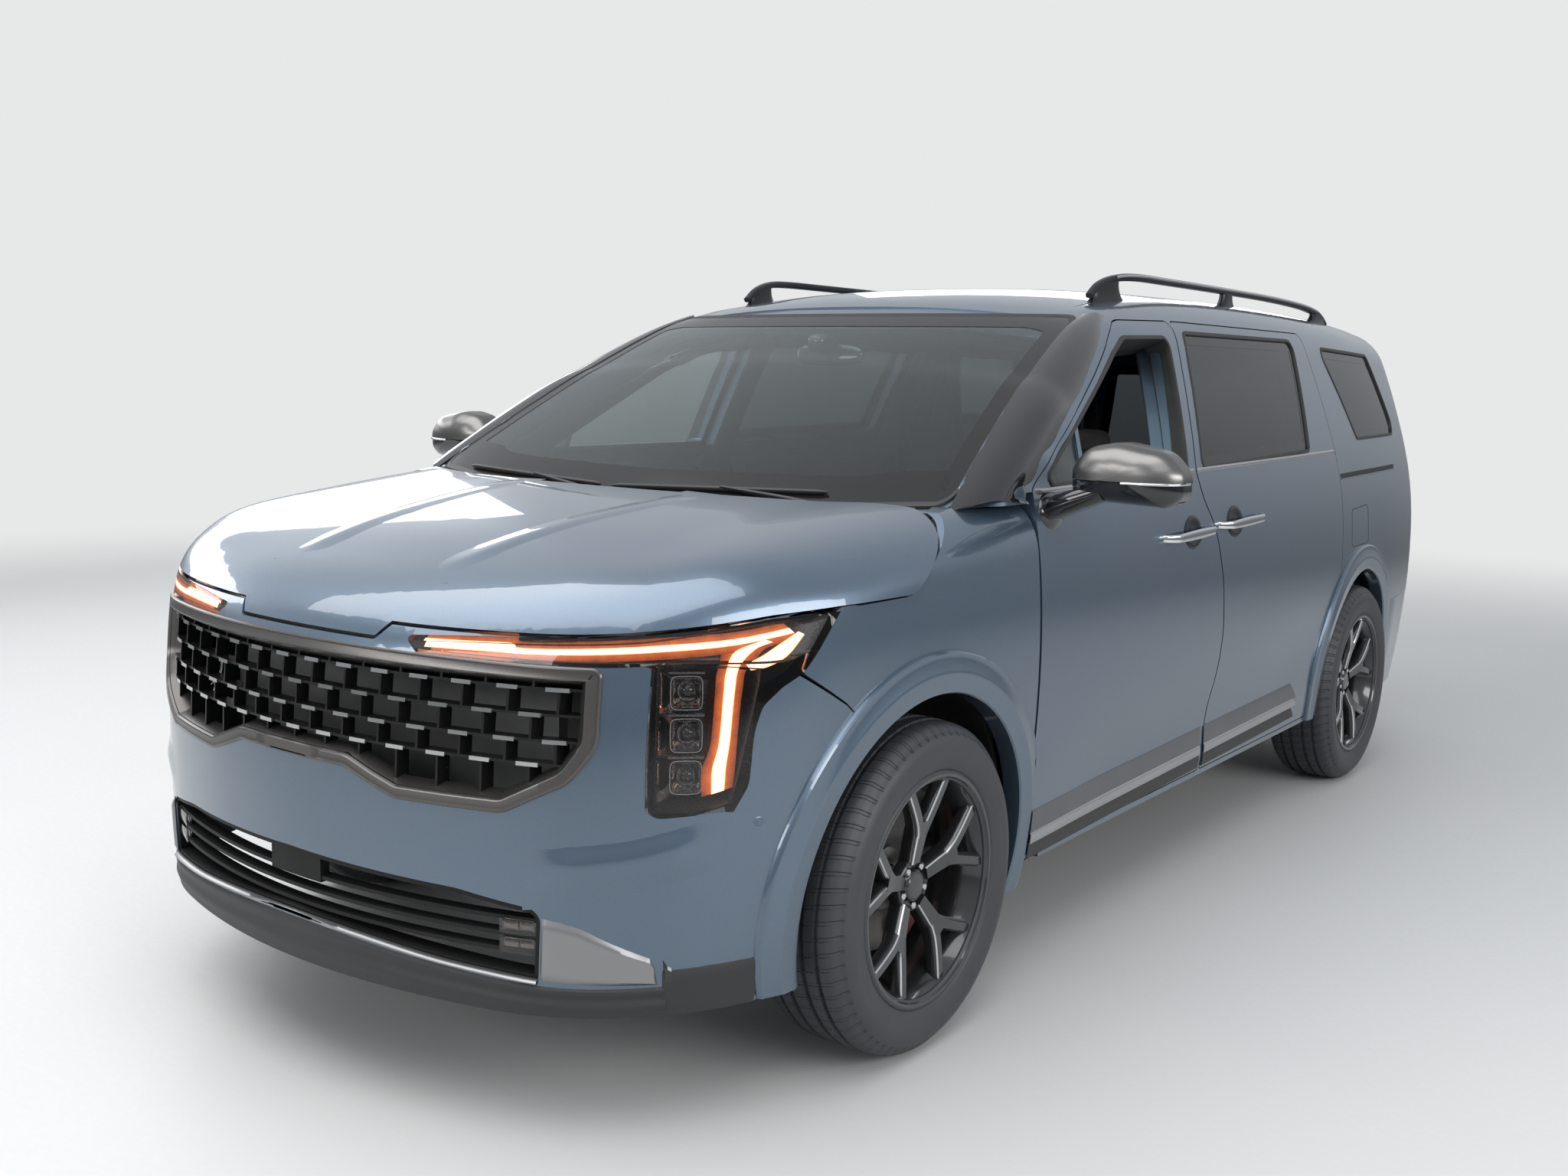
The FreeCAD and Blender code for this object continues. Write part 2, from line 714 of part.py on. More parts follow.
def fender_rays():
    rows = []
    for y in spread(FENDER_FROM, FAN_FRONT_Y + 2 * OVERRUN, 22):
        heights = spread(FENDER_AIM_LOW, FENDER_AIM_HIGH, 22)
        rows.append([(V(0, y, FENDER_FAN_Z), unit(AIM_X, 0, z - FENDER_FAN_Z)) for z in heights])
    return rows


door_out = sides(DOOR_SHARES)
slider_out = sides(SLIDER_SHARES)
door_window = sides(DOOR_WINDOW_SHARES)
slider_window = sides(SLIDER_WINDOW_SHARES)
quarter_window = sides(QUARTER_WINDOW_SHARES)
quarter_bar = sides(QUARTER_BAR_SHARES)
screen_out = fronts(SCREEN_SHARES)


def through(points):
    return side_prism(points, 0, HALF_WIDTH + 3 * OVERRUN)


door_rays = side_rays(DOOR_WALL_FROM, DOOR_WALL_TO, 26)
door_wall = slab(cabin_gap, door_rays, 0, DOOR_DEPTH)
wall_room = slab(cabin_gap, side_rays(BODY_FRONT_Y, FAN_REAR_Y, 32, REAR_TURNS), -SEAT_GAP,
                 FRAME_DEPTH + SEAT_GAP)
door_room = slab(cabin_gap, door_rays, -OVERRUN, DOOR_DEPTH + SEAM)
glass_wall = slab(cabin_gap, side_rays(DOOR_WALL_FROM, GLASS_WALL_TO, 30), GLASS, GLASS * 2)

# Front door: a hollow wall with its window cut, hung on two pins


def swing_room(depth, margin):
    """What the door's front edge sweeps about its hinge axis, as a turned body."""
    edge_y = DOOR_SHARES[0][0] * LENGTH
    points = [V(HINGE_X, HINGE_Y, SILL_Z)]
    for z in spread(SILL_Z, ROOF_TOP * .68, 12):
        x = side_x(edge_y, z) - depth
        points.append(V(HINGE_X + math.hypot(x - HINGE_X, edge_y - HINGE_Y) + margin, HINGE_Y, z))
    points.append(V(HINGE_X, HINGE_Y, ROOF_TOP * .68))
    face = Part.Face(Part.makePolygon(points + [points[0]]))
    return face.revolve(V(HINGE_X, HINGE_Y, 0), UP, 360)


def hinge_pocket(level):
    x0 = HALF_WIDTH - DOOR_DEPTH - OVERRUN
    x1 = HINGE_X + EYE_R + SEAM
    y0 = HINGE_Y - HINGE_BACK - OVERRUN
    y1 = HINGE_Y + EYE_R + SEAM
    return block(x0, x1, y0, y1, level - HINGE_TALL / 2, level + HINGE_TALL / 2)


def hinge_pin(level):
    return rod(V(HINGE_X, HINGE_Y, level - HINGE_TALL / 2 - EYE_R),
               V(HINGE_X, HINGE_Y, level + HINGE_TALL / 2 + EYE_R), PIN_R)


def hinge_leaf(level):
    half = HINGE_TALL / 2 - SEAM
    eye = rod(V(HINGE_X, HINGE_Y, level - half), V(HINGE_X, HINGE_Y, level + half), EYE_R)
    arm = block(HALF_WIDTH - FRAME_DEPTH - OVERRUN, HINGE_X, HINGE_Y - EYE_R, HINGE_Y + EYE_R / 2,
                level - half, level + half)
    bore = rod(V(HINGE_X, HINGE_Y, level - HINGE_TALL), V(HINGE_X, HINGE_Y, level + HINGE_TALL),
               PIN_R + SEAT_GAP)
    return eye.fuse(arm).cut(bore)


def front_door():
    door = door_wall.common(through(door_out))
    hole = through(door_window).cut(through(quarter_bar))
    door = door.cut(hole)
    for level in HINGE_LEVELS:
        door = door.cut(hinge_pocket(level)).fuse(hinge_pin(level))
    return biggest(door)


def sliding_door():
    guides = slab(cabin_gap, door_rays, DOOR_DEPTH - SKIN, DOOR_DEPTH + SEAM - 3 * SEAT_GAP)
    pads = []
    for y, z in GUIDE_PLACES:
        pads.append(guides.common(block(0, FAR, y - GUIDE_HALF, y + GUIDE_HALF, z - GUIDE_HALF,
                                        z + GUIDE_HALF)))
    return joined([slider_leaf()] + pads)


def slider_leaf():
    return biggest(door_wall.common(through(slider_out)).cut(through(slider_window))
                   .cut(across(AXLE_R, ARCH_Z, FLARE_R + SEAM, 0, FAR)))


# Room that a front tyre sweeps as it steers, a dome about the steering axis


def wheel_bowl(margin):
    """Dome about the steering axis, as high as the arch, open towards the outside."""
    points = [V(KING_X, AXLE_F, 0)]
    for angle in spread(-math.pi / 3, math.pi / 2, 13):
        reach = math.hypot(BOWL_R * math.cos(angle), BOWL_OUT)
        points.append(V(KING_X + reach + margin, AXLE_F, ARCH_Z + (ARCH_R + margin) * math.sin(angle)))
    points[0] = V(KING_X, AXLE_F, points[1].z)
    points.append(V(KING_X, AXLE_F, points[-1].z))
    face = Part.Face(Part.makePolygon(points + [points[0]]))
    dome = face.revolve(V(KING_X, AXLE_F, 0), UP, 360)
    return dome.common(block(BOWL_IN_X - margin, FAR, -FAR, FAR, -FAR, FAR))


# Body shell: side frames behind the doors, quarter panels, pillars, firewall and screen frame


def body_shell():
    wall = slab(cabin_gap, side_rays(BODY_FRONT_Y, FAN_REAR_Y, 32, REAR_TURNS), 0, FRAME_DEPTH)
    edge_y = DOOR_SHARES[0][0] * LENGTH
    belt_z = DOOR_SHARES[1][1] * ROOF_TOP
    wall = wall.cut(block(-FAR, FAR, -FAR, FAR, -FAR, SILL_Z))
    wall = wall.cut(block(-FAR, FAR, -FAR, edge_y - SEAM, -FAR, FENDER_SHARES[2][1] * ROOF_TOP + SEAM / 2))
    for outline in (door_out, slider_out):
        wall = wall.cut(door_room.common(through(grown(outline, SEAM / 2))))
        wall = wall.cut(through(grown(outline, -FLANGE)))
    wall = wall.cut(through(quarter_window))
    wall = wall.cut(swing_room(DOOR_DEPTH, SEAM))
    wall = wall.cut(across(AXLE_R, ARCH_Z, FLARE_R + SEAT_GAP, 0, FAR))
    wall = wall.cut(front_prism(grown(screen_out, SEAT_GAP), -FAR, ROOF_FRONT + SCREEN_WRAP))
    wall = wall.cut(block(-FAR, FAR, REAR_BUMPER_FRONT - SEAM, FAR, -FAR, REAR_BUMPER_TOP + SEAT_GAP))
    wall = wall.cut(front_prism(grown(gate_out, SEAM), GATE_FRONT - SEAM, FAR))
    wall = wall.cut(lamp_room)
    half = joined([biggest(wall)] + [hinge_leaf(z) for z in HINGE_LEVELS])
    return half


gate_out = fronts(GATE_SHARES)
rear_rays = side_rays(REAR_WALL_FROM, FAN_REAR_Y, 8, REAR_TURNS)
lamp_box = block(0, FAR, LAMP_FRONT, FAR, LAMP_LOW, LAMP_HIGH)
lamp_grown = block(0, FAR, LAMP_FRONT - SEAT_GAP, FAR, LAMP_LOW - SEAT_GAP, LAMP_HIGH + SEAT_GAP)
lamp_room = slab(cabin_gap, rear_rays, -OVERRUN, LAMP_BAR + SEAT_GAP).common(lamp_grown)


def tail_lamp():
    lamp = slab(cabin_gap, rear_rays, 0, LAMP_BAR).common(lamp_box)
    return biggest(lamp.cut(front_prism(grown(gate_out, SEAM), 0, FAR)))


def shell_core():
    """Firewall, cowl trough, screen frame and the roof's rear header, across the body."""
    y0 = FIREWALL_Y
    profile = [(y0 + FIREWALL_THICK, FLOOR_Z, 0), (y0 + FIREWALL_THICK, TROUGH_Z, 0),
               (y0, TROUGH_Z + FIREWALL_THICK, 0), (BODY_FRONT_Y - FLANGE, TROUGH_Z, 0),
               (BODY_FRONT_Y - FLANGE, TROUGH_Z - SKIN, 0), (y0, TROUGH_Z, 0), (y0, FLOOR_Z, 0)]
    wall = side_prism(profile, -CABIN_HALF, CABIN_HALF)
    edge_y = DOOR_SHARES[0][0] * LENGTH
    for side in (-1, 1):
        a = min(side * PILLAR_IN, side * CABIN_HALF)
        pillar = block(a, a + CABIN_HALF - PILLAR_IN, y0, edge_y + OVERRUN, FLOOR_Z, TROUGH_Z)
        wall = wall.fuse(pillar)
    for bowl in (wheel_bowl(SKIN + SEAT_GAP), mirrored(wheel_bowl(SKIN + SEAT_GAP))):
        wall = wall.cut(bowl)
    frame = slab(cabin_gap, screen_rays(), GLASS + SEAT_GAP, SCREEN_FRAME)
    frame = frame.common(front_prism(grown(screen_out, FLANGE / 2), -FAR, 0))
    frame = frame.cut(front_prism(grown(screen_out, -FLANGE), -FAR, 0))
    roof = slab(cabin_gap, roof_rays(), ROOF_SKIN + SEAT_GAP, ROOF_SKIN + FLANGE)
    front_bow = block(-FAR, FAR, ROOF_FRONT, ROOF_FRONT + HEADER, 0, FAR)
    middle_bow = block(-FAR, FAR, door_out[4][0] - HEADER / 2, door_out[4][0] + HEADER / 2, 0, FAR)
    rear_bow = block(-FAR, FAR, GATE_FRONT - SEAM - HEADER, GATE_FRONT - SEAM, 0, FAR)
    bows = [roof.common(b) for b in (front_bow, middle_bow, rear_bow)]
    return wall, frame, bows


def roof_panel():
    skin = slab(cabin_gap, roof_rays(), 0, ROOF_SKIN)
    area = block(-ROOF_HALF, ROOF_HALF, ROOF_FRONT, GATE_FRONT - SEAM, 0, FAR)
    return skin.common(area).cut(front_prism(grown(screen_out, SEAM / 2), -FAR, ROOF_FRONT + SCREEN_WRAP))


def roof_room():
    skin = slab(cabin_gap, roof_rays(), -OVERRUN, ROOF_SKIN + SEAT_GAP)
    return skin.common(block(-ROOF_HALF - SEAT_GAP, ROOF_HALF + SEAT_GAP, ROOF_FRONT - SEAT_GAP, FAR, 0,
                             FAR))


def windshield():
    pane = slab(cabin_gap, screen_rays(), 0, GLASS)
    return biggest(pane.common(front_prism(screen_out, -FAR, ROOF_FRONT + SCREEN_WRAP)))


# Front end: hood, fenders, bumper, lamps, grille and intake
lamp_front = fronts(LAMP_SHARES)
lamp_side = sides(LAMP_REAR_SHARES)
hood_edge = sides(HOOD_EDGE_SHARES)


def hood_part(skin, margin):
    """The stretch of a skin above the hood's side seam, with the tongue at the nose, ahead of its rear edge."""
    area = side_prism(grown(hood_edge, margin), -FAR, FAR)
    tongue = front_prism(grown(fronts(HOOD_TONGUE_SHARES), margin), FRONT_Y - OVERRUN,
                         FRONT_Y + END_DEPTH / 6)
    rear = [(x, HOOD_REAR_Y + HOOD_REAR_BOW * (abs(x) / HOOD_REAR_HALF) ** 2.2 + margin, END_DEPTH)
            for x in spread(-HALF_WIDTH, HALF_WIDTH, 13)]
    plan = [(HALF_WIDTH + OVERRUN, 0, 0), (-HALF_WIDTH - OVERRUN, 0, 0)] + rear
    return joined([skin.common(area), skin.common(tongue)]).cut(plan_prism(plan, 0, FAR))


def hood_arm(x):
    """Arm welded under the hood's rear edge, with the eye that turns on the body's pin."""
    half = HOOD_ARM_WIDE / 2
    ahead = HOOD_PIN_Y - HOOD_ARM_LONG
    near = HOOD_PIN_Y - HOOD_ARM_LONG / 3
    top_ahead = hit(front_gap, V(x, ahead, FENDER_FAN_Z), UP).z
    top_near = hit(front_gap, V(x, near, FENDER_FAN_Z), UP).z
    profile = [(HOOD_PIN_Y, HOOD_PIN_Z - HOOD_EYE_R, 0), (ahead, top_ahead - 1.4 * HOOD_SKIN, 0),
               (ahead, top_ahead - HOOD_SKIN / 2, 0), (near, top_near - HOOD_SKIN / 2, 0),
               (HOOD_PIN_Y, HOOD_PIN_Z + HOOD_EYE_R, 0)]
    arm = side_prism(profile, x - half, x + half)
    eye = across(HOOD_PIN_Y, HOOD_PIN_Z, HOOD_EYE_R, x - half, x + half)
    return arm.fuse(eye).cut(across(HOOD_PIN_Y, HOOD_PIN_Z, HOOD_PIN_R + SEAT_GAP, x - FLANGE, x + FLANGE))


def hood_bracket(x):
    """Two ears on the cowl trough with the hood's hinge pin through them."""
    inner = HOOD_ARM_WIDE / 2 + SEAT_GAP
    outer = inner + SKIN / 2
    parts = [across(HOOD_PIN_Y, HOOD_PIN_Z, HOOD_PIN_R, x - outer, x + outer)]
    for a, b in ((x - outer, x - inner), (x + inner, x + outer)):
        parts.append(block(a, b, HOOD_PIN_Y - HOOD_EYE_R, HOOD_PIN_Y + HOOD_EYE_R, TROUGH_Z - SKIN / 2,
                           HOOD_PIN_Z + HOOD_EYE_R))
    return parts


def hood():
    skin = biggest(hood_part(slab(front_gap, hood_rays(), 0, HOOD_SKIN), 0))
    return joined([skin, hood_arm(HOOD_HINGE_X), hood_arm(-HOOD_HINGE_X)])


hood_room = hood_part(slab(front_gap, hood_rays(), -OVERRUN, HOOD_SKIN + SEAM), SEAM)
bumper_rays = front_rays(41, BUMPER_LOW - OVERRUN, NOSE_WALL_TOP, 17)


def lamp_area(margin):
    """Front outline and side outline of the left lamp, which wraps the corner."""
    front = front_prism(grown(lamp_front, margin), -FAR, 0)
    side = side_prism(grown(lamp_side, margin), 0, FAR)
    return front.common(side)


def headlamp():
    body = slab(front_gap, quarter_front_rays(23, LAMP_WALL_LOW, LAMP_WALL_TOP, 13), 0,
                LAMP_DEPTH).common(lamp_area(0))
    return biggest(body.cut(hood_room))


lamp_hole = lamp_area(LAMP_GAP)


def grille_area(margin):
    return front_prism(grown(fronts(GRILLE_SHARES), margin), -FAR, FRONT_Y + END_DEPTH / 3)


def intake_area(margin):
    return front_prism(grown(fronts(INTAKE_SHARES), margin), -FAR, FRONT_Y + END_DEPTH / 3)


def front_bumper():
    skin = slab(front_gap, bumper_rays, 0, SKIN)
    skin = skin.common(side_prism(sides(BUMPER_REAR_SHARES), -FAR, FAR))
    skin = skin.common(block(-FAR, FAR, -FAR, 0, BUMPER_LOW, FAR))
    skin = skin.cut(hood_room).cut(grille_area(SEAT_GAP)).cut(intake_area(SEAT_GAP))
    skin = skin.cut(lamp_hole).cut(mirrored(lamp_hole))
    return biggest(skin.cut(across(AXLE_F, ARCH_Z, FLARE_R + SEAT_GAP, -FAR, FAR)))


def fender():
    skin = slab(front_gap, fender_rays(), 0, SKIN)
    skin = skin.common(side_prism(sides(FENDER_SHARES), 0, FAR)).cut(hood_room)
    skin = skin.cut(across(AXLE_F, ARCH_Z, FLARE_R + SEAT_GAP, -FAR, FAR))
    return biggest(skin.cut(lamp_hole).cut(swing_room(0, SEAM - SEAT_GAP)))


def flare_x(gap, y, z, axle):
    """Body side with the raised lip round a wheel."""
    r = math.hypot(y - axle, z - ARCH_Z)
    origin = V(0, y, z)
    return hit(gap, origin, ACROSS).x + FLARE_OUT * ease((FLARE_R - r) / FLARE_BAND)


def flare(axle, gap, start, end, depth):
    """Ring panel round a wheel arch, from one angle to another."""
    outer_rows = []
    inner_rows = []
    for angle in spread(math.radians(start), math.radians(end), 19):
        outer_row = []
        inner_row = []
        for r in spread(ARCH_R, FLARE_R, 8):
            y = axle + r * math.cos(angle)
            z = ARCH_Z + r * math.sin(angle)
            x = flare_x(gap, y, z, axle)
            outer_row.append(V(x, y, z))
            inner_row.append(V(x - depth, y, z))
        outer_rows.append(outer_row)
        inner_rows.append(inner_row)
    outer = surface(outer_rows)
    inner = surface(inner_rows)
    faces = [outer, inner] + [Part.makeRuledSurface(a, b) for a, b in zip(outer.Edges, inner.Edges)]
    shell = Part.makeShell(faces)
    shell.sewShape()
    solid = Part.makeSolid(shell)
    if solid.Volume < 0:
        solid.reverse()
    return solid


def front_flare():
    ring = flare(AXLE_F, front_gap, -17, 197, SKIN + FLARE_OUT)
    ring = ring.common(block(0, FAR, -FAR, DOOR_SHARES[0][0] * LENGTH - SEAM, BUMPER_LOW, FAR))
    return biggest(ring.cut(swing_room(0, SEAM - SEAT_GAP)))


def rear_flare():
    ring = flare(AXLE_R, cabin_gap, -12, 190, SKIN + FLARE_OUT)
    return biggest(ring.common(block(0, FAR, -FAR, FAR, SILL_Z - OVERRUN, FAR)))


# Grille: bars that follow the nose, staggered ribs between them and bright dashes


def nose_point(x, z, depth):
    """Point a given depth behind the nose surface, straight back from its front view place."""
    origin = V(x, FRONT_Y + END_DEPTH / 2, z)
    return hit(front_gap, origin, -ALONG) + ALONG * depth


def nose_plate(z, tall, half, front, back):
    """Level plate whose front and back edges follow the nose in plan."""
    ahead = [nose_point(x, z, front) for x in spread(-half, half, 13)]
    behind = [p + ALONG * (back - front) for p in ahead]
    edges = []
    for run in (ahead, behind):
        curve = Part.BSplineCurve()
        curve.interpolate(run)
        edges.append(curve.toShape())
    edges.append(Part.makeLine(ahead[0], behind[0]))
    edges.append(Part.makeLine(ahead[-1], behind[-1]))
    plate = Part.Face(Part.Wire(Part.__sortEdges__(edges))).extrude(UP * tall)
    plate.translate(UP * (z - plate.BoundBox.ZMin - tall / 2))
    return plate


def lattice():
    """Front view of the grille: level bars, and upright ribs staggered from row to row."""
    half = -GRILLE_SHARES[1][0] * HALF_WIDTH
    bars = [block(-half, half, -FAR, 0, z - GRILLE_BAR / 2, z + GRILLE_BAR / 2) for z in GRILLE_LEVELS_Z]
    rows = list(GRILLE_LEVELS_Z) + [GRILLE_LEVELS_Z[-1] - CELL]
    tops = [GRILLE_LEVELS_Z[0] + CELL] + list(GRILLE_LEVELS_Z)
    for i, (low, high) in enumerate(zip(rows, tops)):
        for k in range(-int(half / CELL), int(half / CELL) + 1):
            x = CELL * (k + .5 * (i % 2))
            bars.append(block(x - GRILLE_RIB / 2, x + GRILLE_RIB / 2, -FAR, 0, low, high))
    return joined(bars)


def grille():
    rays = front_rays(27, GRILLE_LOW, GRILLE_TOP, 7, 48)
    body = slab(front_gap, rays, 0, GRILLE_DEPTH)
    frame = body.common(grille_area(0)).cut(grille_area(-GRILLE_FRAME))
    web = slab(front_gap, rays, GRILLE_SET, GRILLE_DEPTH - GRILLE_BAR / 2)
    web = web.common([grille_area(-GRILLE_FRAME + GRILLE_BAR)]).common(lattice())
    return biggest(frame.fuse(web))


def grille_dashes():
    rays = front_rays(31, GRILLE_LOW, GRILLE_TOP, 9, 48)
    skin = slab(front_gap, rays, GRILLE_SET - DASH_OUT, GRILLE_SET - SEAT_GAP)
    half = -GRILLE_SHARES[1][0] * HALF_WIDTH - DASH
    dashes = []
    for i, z in enumerate(GRILLE_LEVELS_Z):
        for k in range(-int(half / CELL) - 1, int(half / CELL) + 1):
            x = CELL * (k + .5 * ((i + 1) % 2))
            if abs(x) < half:
                dashes.append(block(x - DASH / 2, x + DASH / 2, -FAR, 0, z - DASH_TALL / 2,
                                    z + DASH_TALL / 2))
    return skin.common(Part.makeCompound(dashes))


# Lower intake with its slats and plate pad


def lower_intake():
    rays = front_rays(29, INTAKE_LOW, INTAKE_TOP, 7, 44)
    body = slab(front_gap, rays, GRILLE_SET / 2, GRILLE_DEPTH)
    area = intake_area(0)
    frame = body.common(area).cut(intake_area(-SKIN))
    half = fronts(INTAKE_SHARES)[0][0]
    slats = [nose_plate(z, SLAT, half, GRILLE_SET, GRILLE_DEPTH - GRILLE_BAR) for z in INTAKE_SLATS_Z]
    web = joined(slats).common(intake_area(-SKIN / 2))
    pad = nose_plate((PAD_LOW + PAD_HIGH) / 2, PAD_HIGH - PAD_LOW, PAD_HALF, SKIN, GRILLE_DEPTH - SKIN)
    return frame.fuse([web, pad.common(intake_area(-SKIN / 2))])


def radiator():
    """Cooling pack behind the grille, carried between the side rails."""
    return block(-RAIL_X - RAIL_W, RAIL_X + RAIL_W, RADIATOR_Y, RADIATOR_Y + 2 * SKIN,
                 RAIL_Z + 2 * RAIL_W + SEAT_GAP, ENGINE_HIGH - FLANGE)


# Rear end: bumper, liftgate with its window and lamp
def rear_bumper():
    skin = slab(cabin_gap, tail_rays(25, BUMPER_LOW - OVERRUN, REAR_BUMPER_TOP + OVERRUN, 7, 94), 0,
                SKIN * 2)
    area = block(-FAR, FAR, REAR_BUMPER_FRONT, FAR, BUMPER_LOW, REAR_BUMPER_TOP)
    skin = skin.common(area).cut(across(AXLE_R, ARCH_Z, FLARE_R + SEAT_GAP, -FAR, FAR))
    return biggest(skin.cut(front_prism(grown(gate_out, SEAM), GATE_FRONT, FAR)))


GATE_PIN_Z = roof_z(GATE_HINGE_X, GATE_PIN_Y) - GATE_PIN_IN


def gate_swing(radius):
    """Cylinder about the liftgate's axis: the gate stays outside it and the roof's end inside it."""
    return across(GATE_PIN_Y, GATE_PIN_Z, radius, -FAR, FAR)


def gate_notch(x):
    half = GATE_HINGE_WIDE / 2 + SEAM
    return block(x - half, x + half, GATE_PIN_Y - EYE_R - SEAM, GATE_FRONT, GATE_PIN_Z - FRAME_DEPTH / 2,
                 FAR)


def gate_arm(x):
    half = GATE_HINGE_WIDE / 2
    eye = across(GATE_PIN_Y, GATE_PIN_Z, EYE_R * .7, x - half, x + half)
    arm = block(x - half, x + half, GATE_PIN_Y, GATE_FRONT + SKIN, GATE_PIN_Z - EYE_R * .7,
                GATE_PIN_Z + EYE_R * .4)
    bore = across(GATE_PIN_Y, GATE_PIN_Z, PIN_R * .7 + SEAT_GAP, x - FRAME_DEPTH, x + FRAME_DEPTH)
    return eye.fuse(arm).cut(bore)


def gate_pin(x):
    half = GATE_HINGE_WIDE / 2 + SEAM + FLANGE / 2
    return across(GATE_PIN_Y, GATE_PIN_Z, PIN_R * .7, x - half, x + half)


def liftgate():
    skin = slab(cabin_gap, gate_rays(), 0, GATE_DEPTH)
    gate = skin.common(front_prism(gate_out, GATE_FRONT, FAR))
    gate = gate.cut(front_prism(fronts(GATE_WINDOW_SHARES), GATE_FRONT, FAR))
    gate = gate.cut(gate_lamp_room()).cut(gate_swing(GATE_SWING_R))
    return joined([biggest(gate), gate_arm(GATE_HINGE_X), gate_arm(-GATE_HINGE_X)])


def liftgate_glass():
    pane = slab(cabin_gap, gate_rays(), GLASS, GLASS * 2)
    return biggest(pane.common(front_prism(grown(fronts(GATE_WINDOW_SHARES), -SEAT_GAP), GATE_FRONT, FAR)))


def gate_lamp_room():
    skin = slab(cabin_gap, gate_rays(), -OVERRUN, SKIN * 2 + SEAT_GAP)
    area = block(-FAR, FAR, GATE_FRONT, FAR, LAMP_LOW - SEAT_GAP, LAMP_LOW + HEADER + SEAT_GAP)
    return skin.common(area)


def liftgate_lamp():
    skin = slab(cabin_gap, gate_rays(), 0, SKIN * 2)
    area = block(-FAR, FAR, GATE_FRONT, FAR, LAMP_LOW, LAMP_LOW + HEADER)
    return biggest(skin.common(area).common(front_prism(gate_out, GATE_FRONT, FAR)))


# Wheels: a barrel with five forked spokes, a brake disc and the tyre


def wheel_turned(points, x, y):
    """Solid turned about the wheel's axle, from (out, radius) points beside its middle plane."""
    ring = [V(x + w, y, TYRE_R + r) for w, r in points]
    face = Part.Face(Part.makePolygon(ring + [ring[0]]))
    return face.revolve(V(x, y, TYRE_R), ACROSS, 360)


def rim(x, y):
    w = RIM_HALF_WIDTH
    outer = [(-w, FLANGE_R), (-w, SEAT_R - RIM_WALL), (-w / 2, SEAT_R - 3 * RIM_WALL),
             (w / 3, SEAT_R - 3 * RIM_WALL),
             (w, SEAT_R), (w, FLANGE_R), (w - RIM_WALL, FLANGE_R), (w - RIM_WALL, SEAT_R + SEAT_GAP),
             (-w + RIM_WALL, SEAT_R + SEAT_GAP), (-w + RIM_WALL, FLANGE_R)]
    ring = wheel_turned(outer, x, y)
    dish = wheel_turned([(SPOKE_FACE - SPOKE_DISH - SPOKE_THICK, SPINDLE_R),
                         (SPOKE_FACE - SPOKE_DISH, SPINDLE_R),
                         (SPOKE_FACE, SEAT_R * .55), (SPOKE_FACE + SEAT_GAP, SEAT_R),
                         (SPOKE_FACE - SPOKE_THICK, SEAT_R), (SPOKE_FACE - 2 * SPOKE_THICK,
                                                              SEAT_R * .4)], x, y)
    star = []
    for i in range(SPOKES):
        spoke = face_of([(a * SEAT_R, b * SEAT_R, 0) for a, b in SPOKE_SHARES],
                        lambda a, b: V(x - w, y + a, TYRE_R + b)).extrude(V(2 * w, 0, 0))
        spoke.rotate(V(x, y, TYRE_R), ACROSS, 90 + 360 * i / SPOKES)
        star.append(spoke.common(dish))
    back = DISC_X - TRACK_HALF
    hub = wheel_turned([(back + DISC_THICK, SPINDLE_R + SEAT_GAP), (back + DISC_THICK, HUB_R),
                        (SPOKE_FACE - SPOKE_DISH, HUB_R),
                        (SPOKE_FACE - SPOKE_DISH, 0), (SPOKE_FACE - 2 * SPOKE_DISH, 0),
                        (SPOKE_FACE - 2 * SPOKE_DISH, SPINDLE_R + SEAT_GAP)], x, y)
    disc = wheel_turned([(back, SPINDLE_R + SEAM), (back, DISC_R), (back + DISC_THICK, DISC_R),
                         (back + DISC_THICK, SPINDLE_R + SEAM)], x, y)
    return joined([ring, hub, disc] + star)


def tyre(x, y):
    half = [(a * TYRE_HALF_WIDTH, b * TYRE_R) for a, b in TYRE_SHARES]
    bead = RIM_HALF_WIDTH + SEAT_GAP
    inner = RIM_HALF_WIDTH - RIM_WALL - SEAT_GAP
    out = [(inner, SEAT_R + 2 * SEAT_GAP), (inner, FLANGE_R + SEAT_GAP), (bead, FLANGE_R + SEAT_GAP)]
    profile = out + half + [(-a, b) for a, b in half[::-1]] + [(-a, b) for a, b in out[::-1]]
    return wheel_turned(profile, x, y)


def king_point(side, z):
    """Point of the leaning steering axis at a height."""
    return V(side * (KING_X + KING_LEAN_SHARE * (TYRE_R - z)), AXLE_F, z)


def king_rod(low, high, radius, side=1):
    return rod(king_point(side, low), king_point(side, high), radius)


def knuckle(side):
    """Upright that steers about the strut's axis and carries the wheel on its spindle."""
    end = V(side * (TRACK_HALF + SPOKE_FACE - 2 * SPOKE_DISH - SEAT_GAP), AXLE_F, TYRE_R)
    spindle = rod(king_point(side, TYRE_R), V(end.x, AXLE_F, TYRE_R), SPINDLE_R)
    spindle = spindle.fuse(rod(V(side * (DISC_X + DISC_THICK + SEAT_GAP), AXLE_F, TYRE_R), end, SPINDLE_R))
    post = king_rod(TYRE_R - ARM_DROP, TYRE_R + ARM_DROP, KING_R, side)
    bore = king_rod(0, ROOF_TOP, KING_R * .5 + SEAT_GAP, side)
    return biggest(spindle.fuse(post).cut(bore))


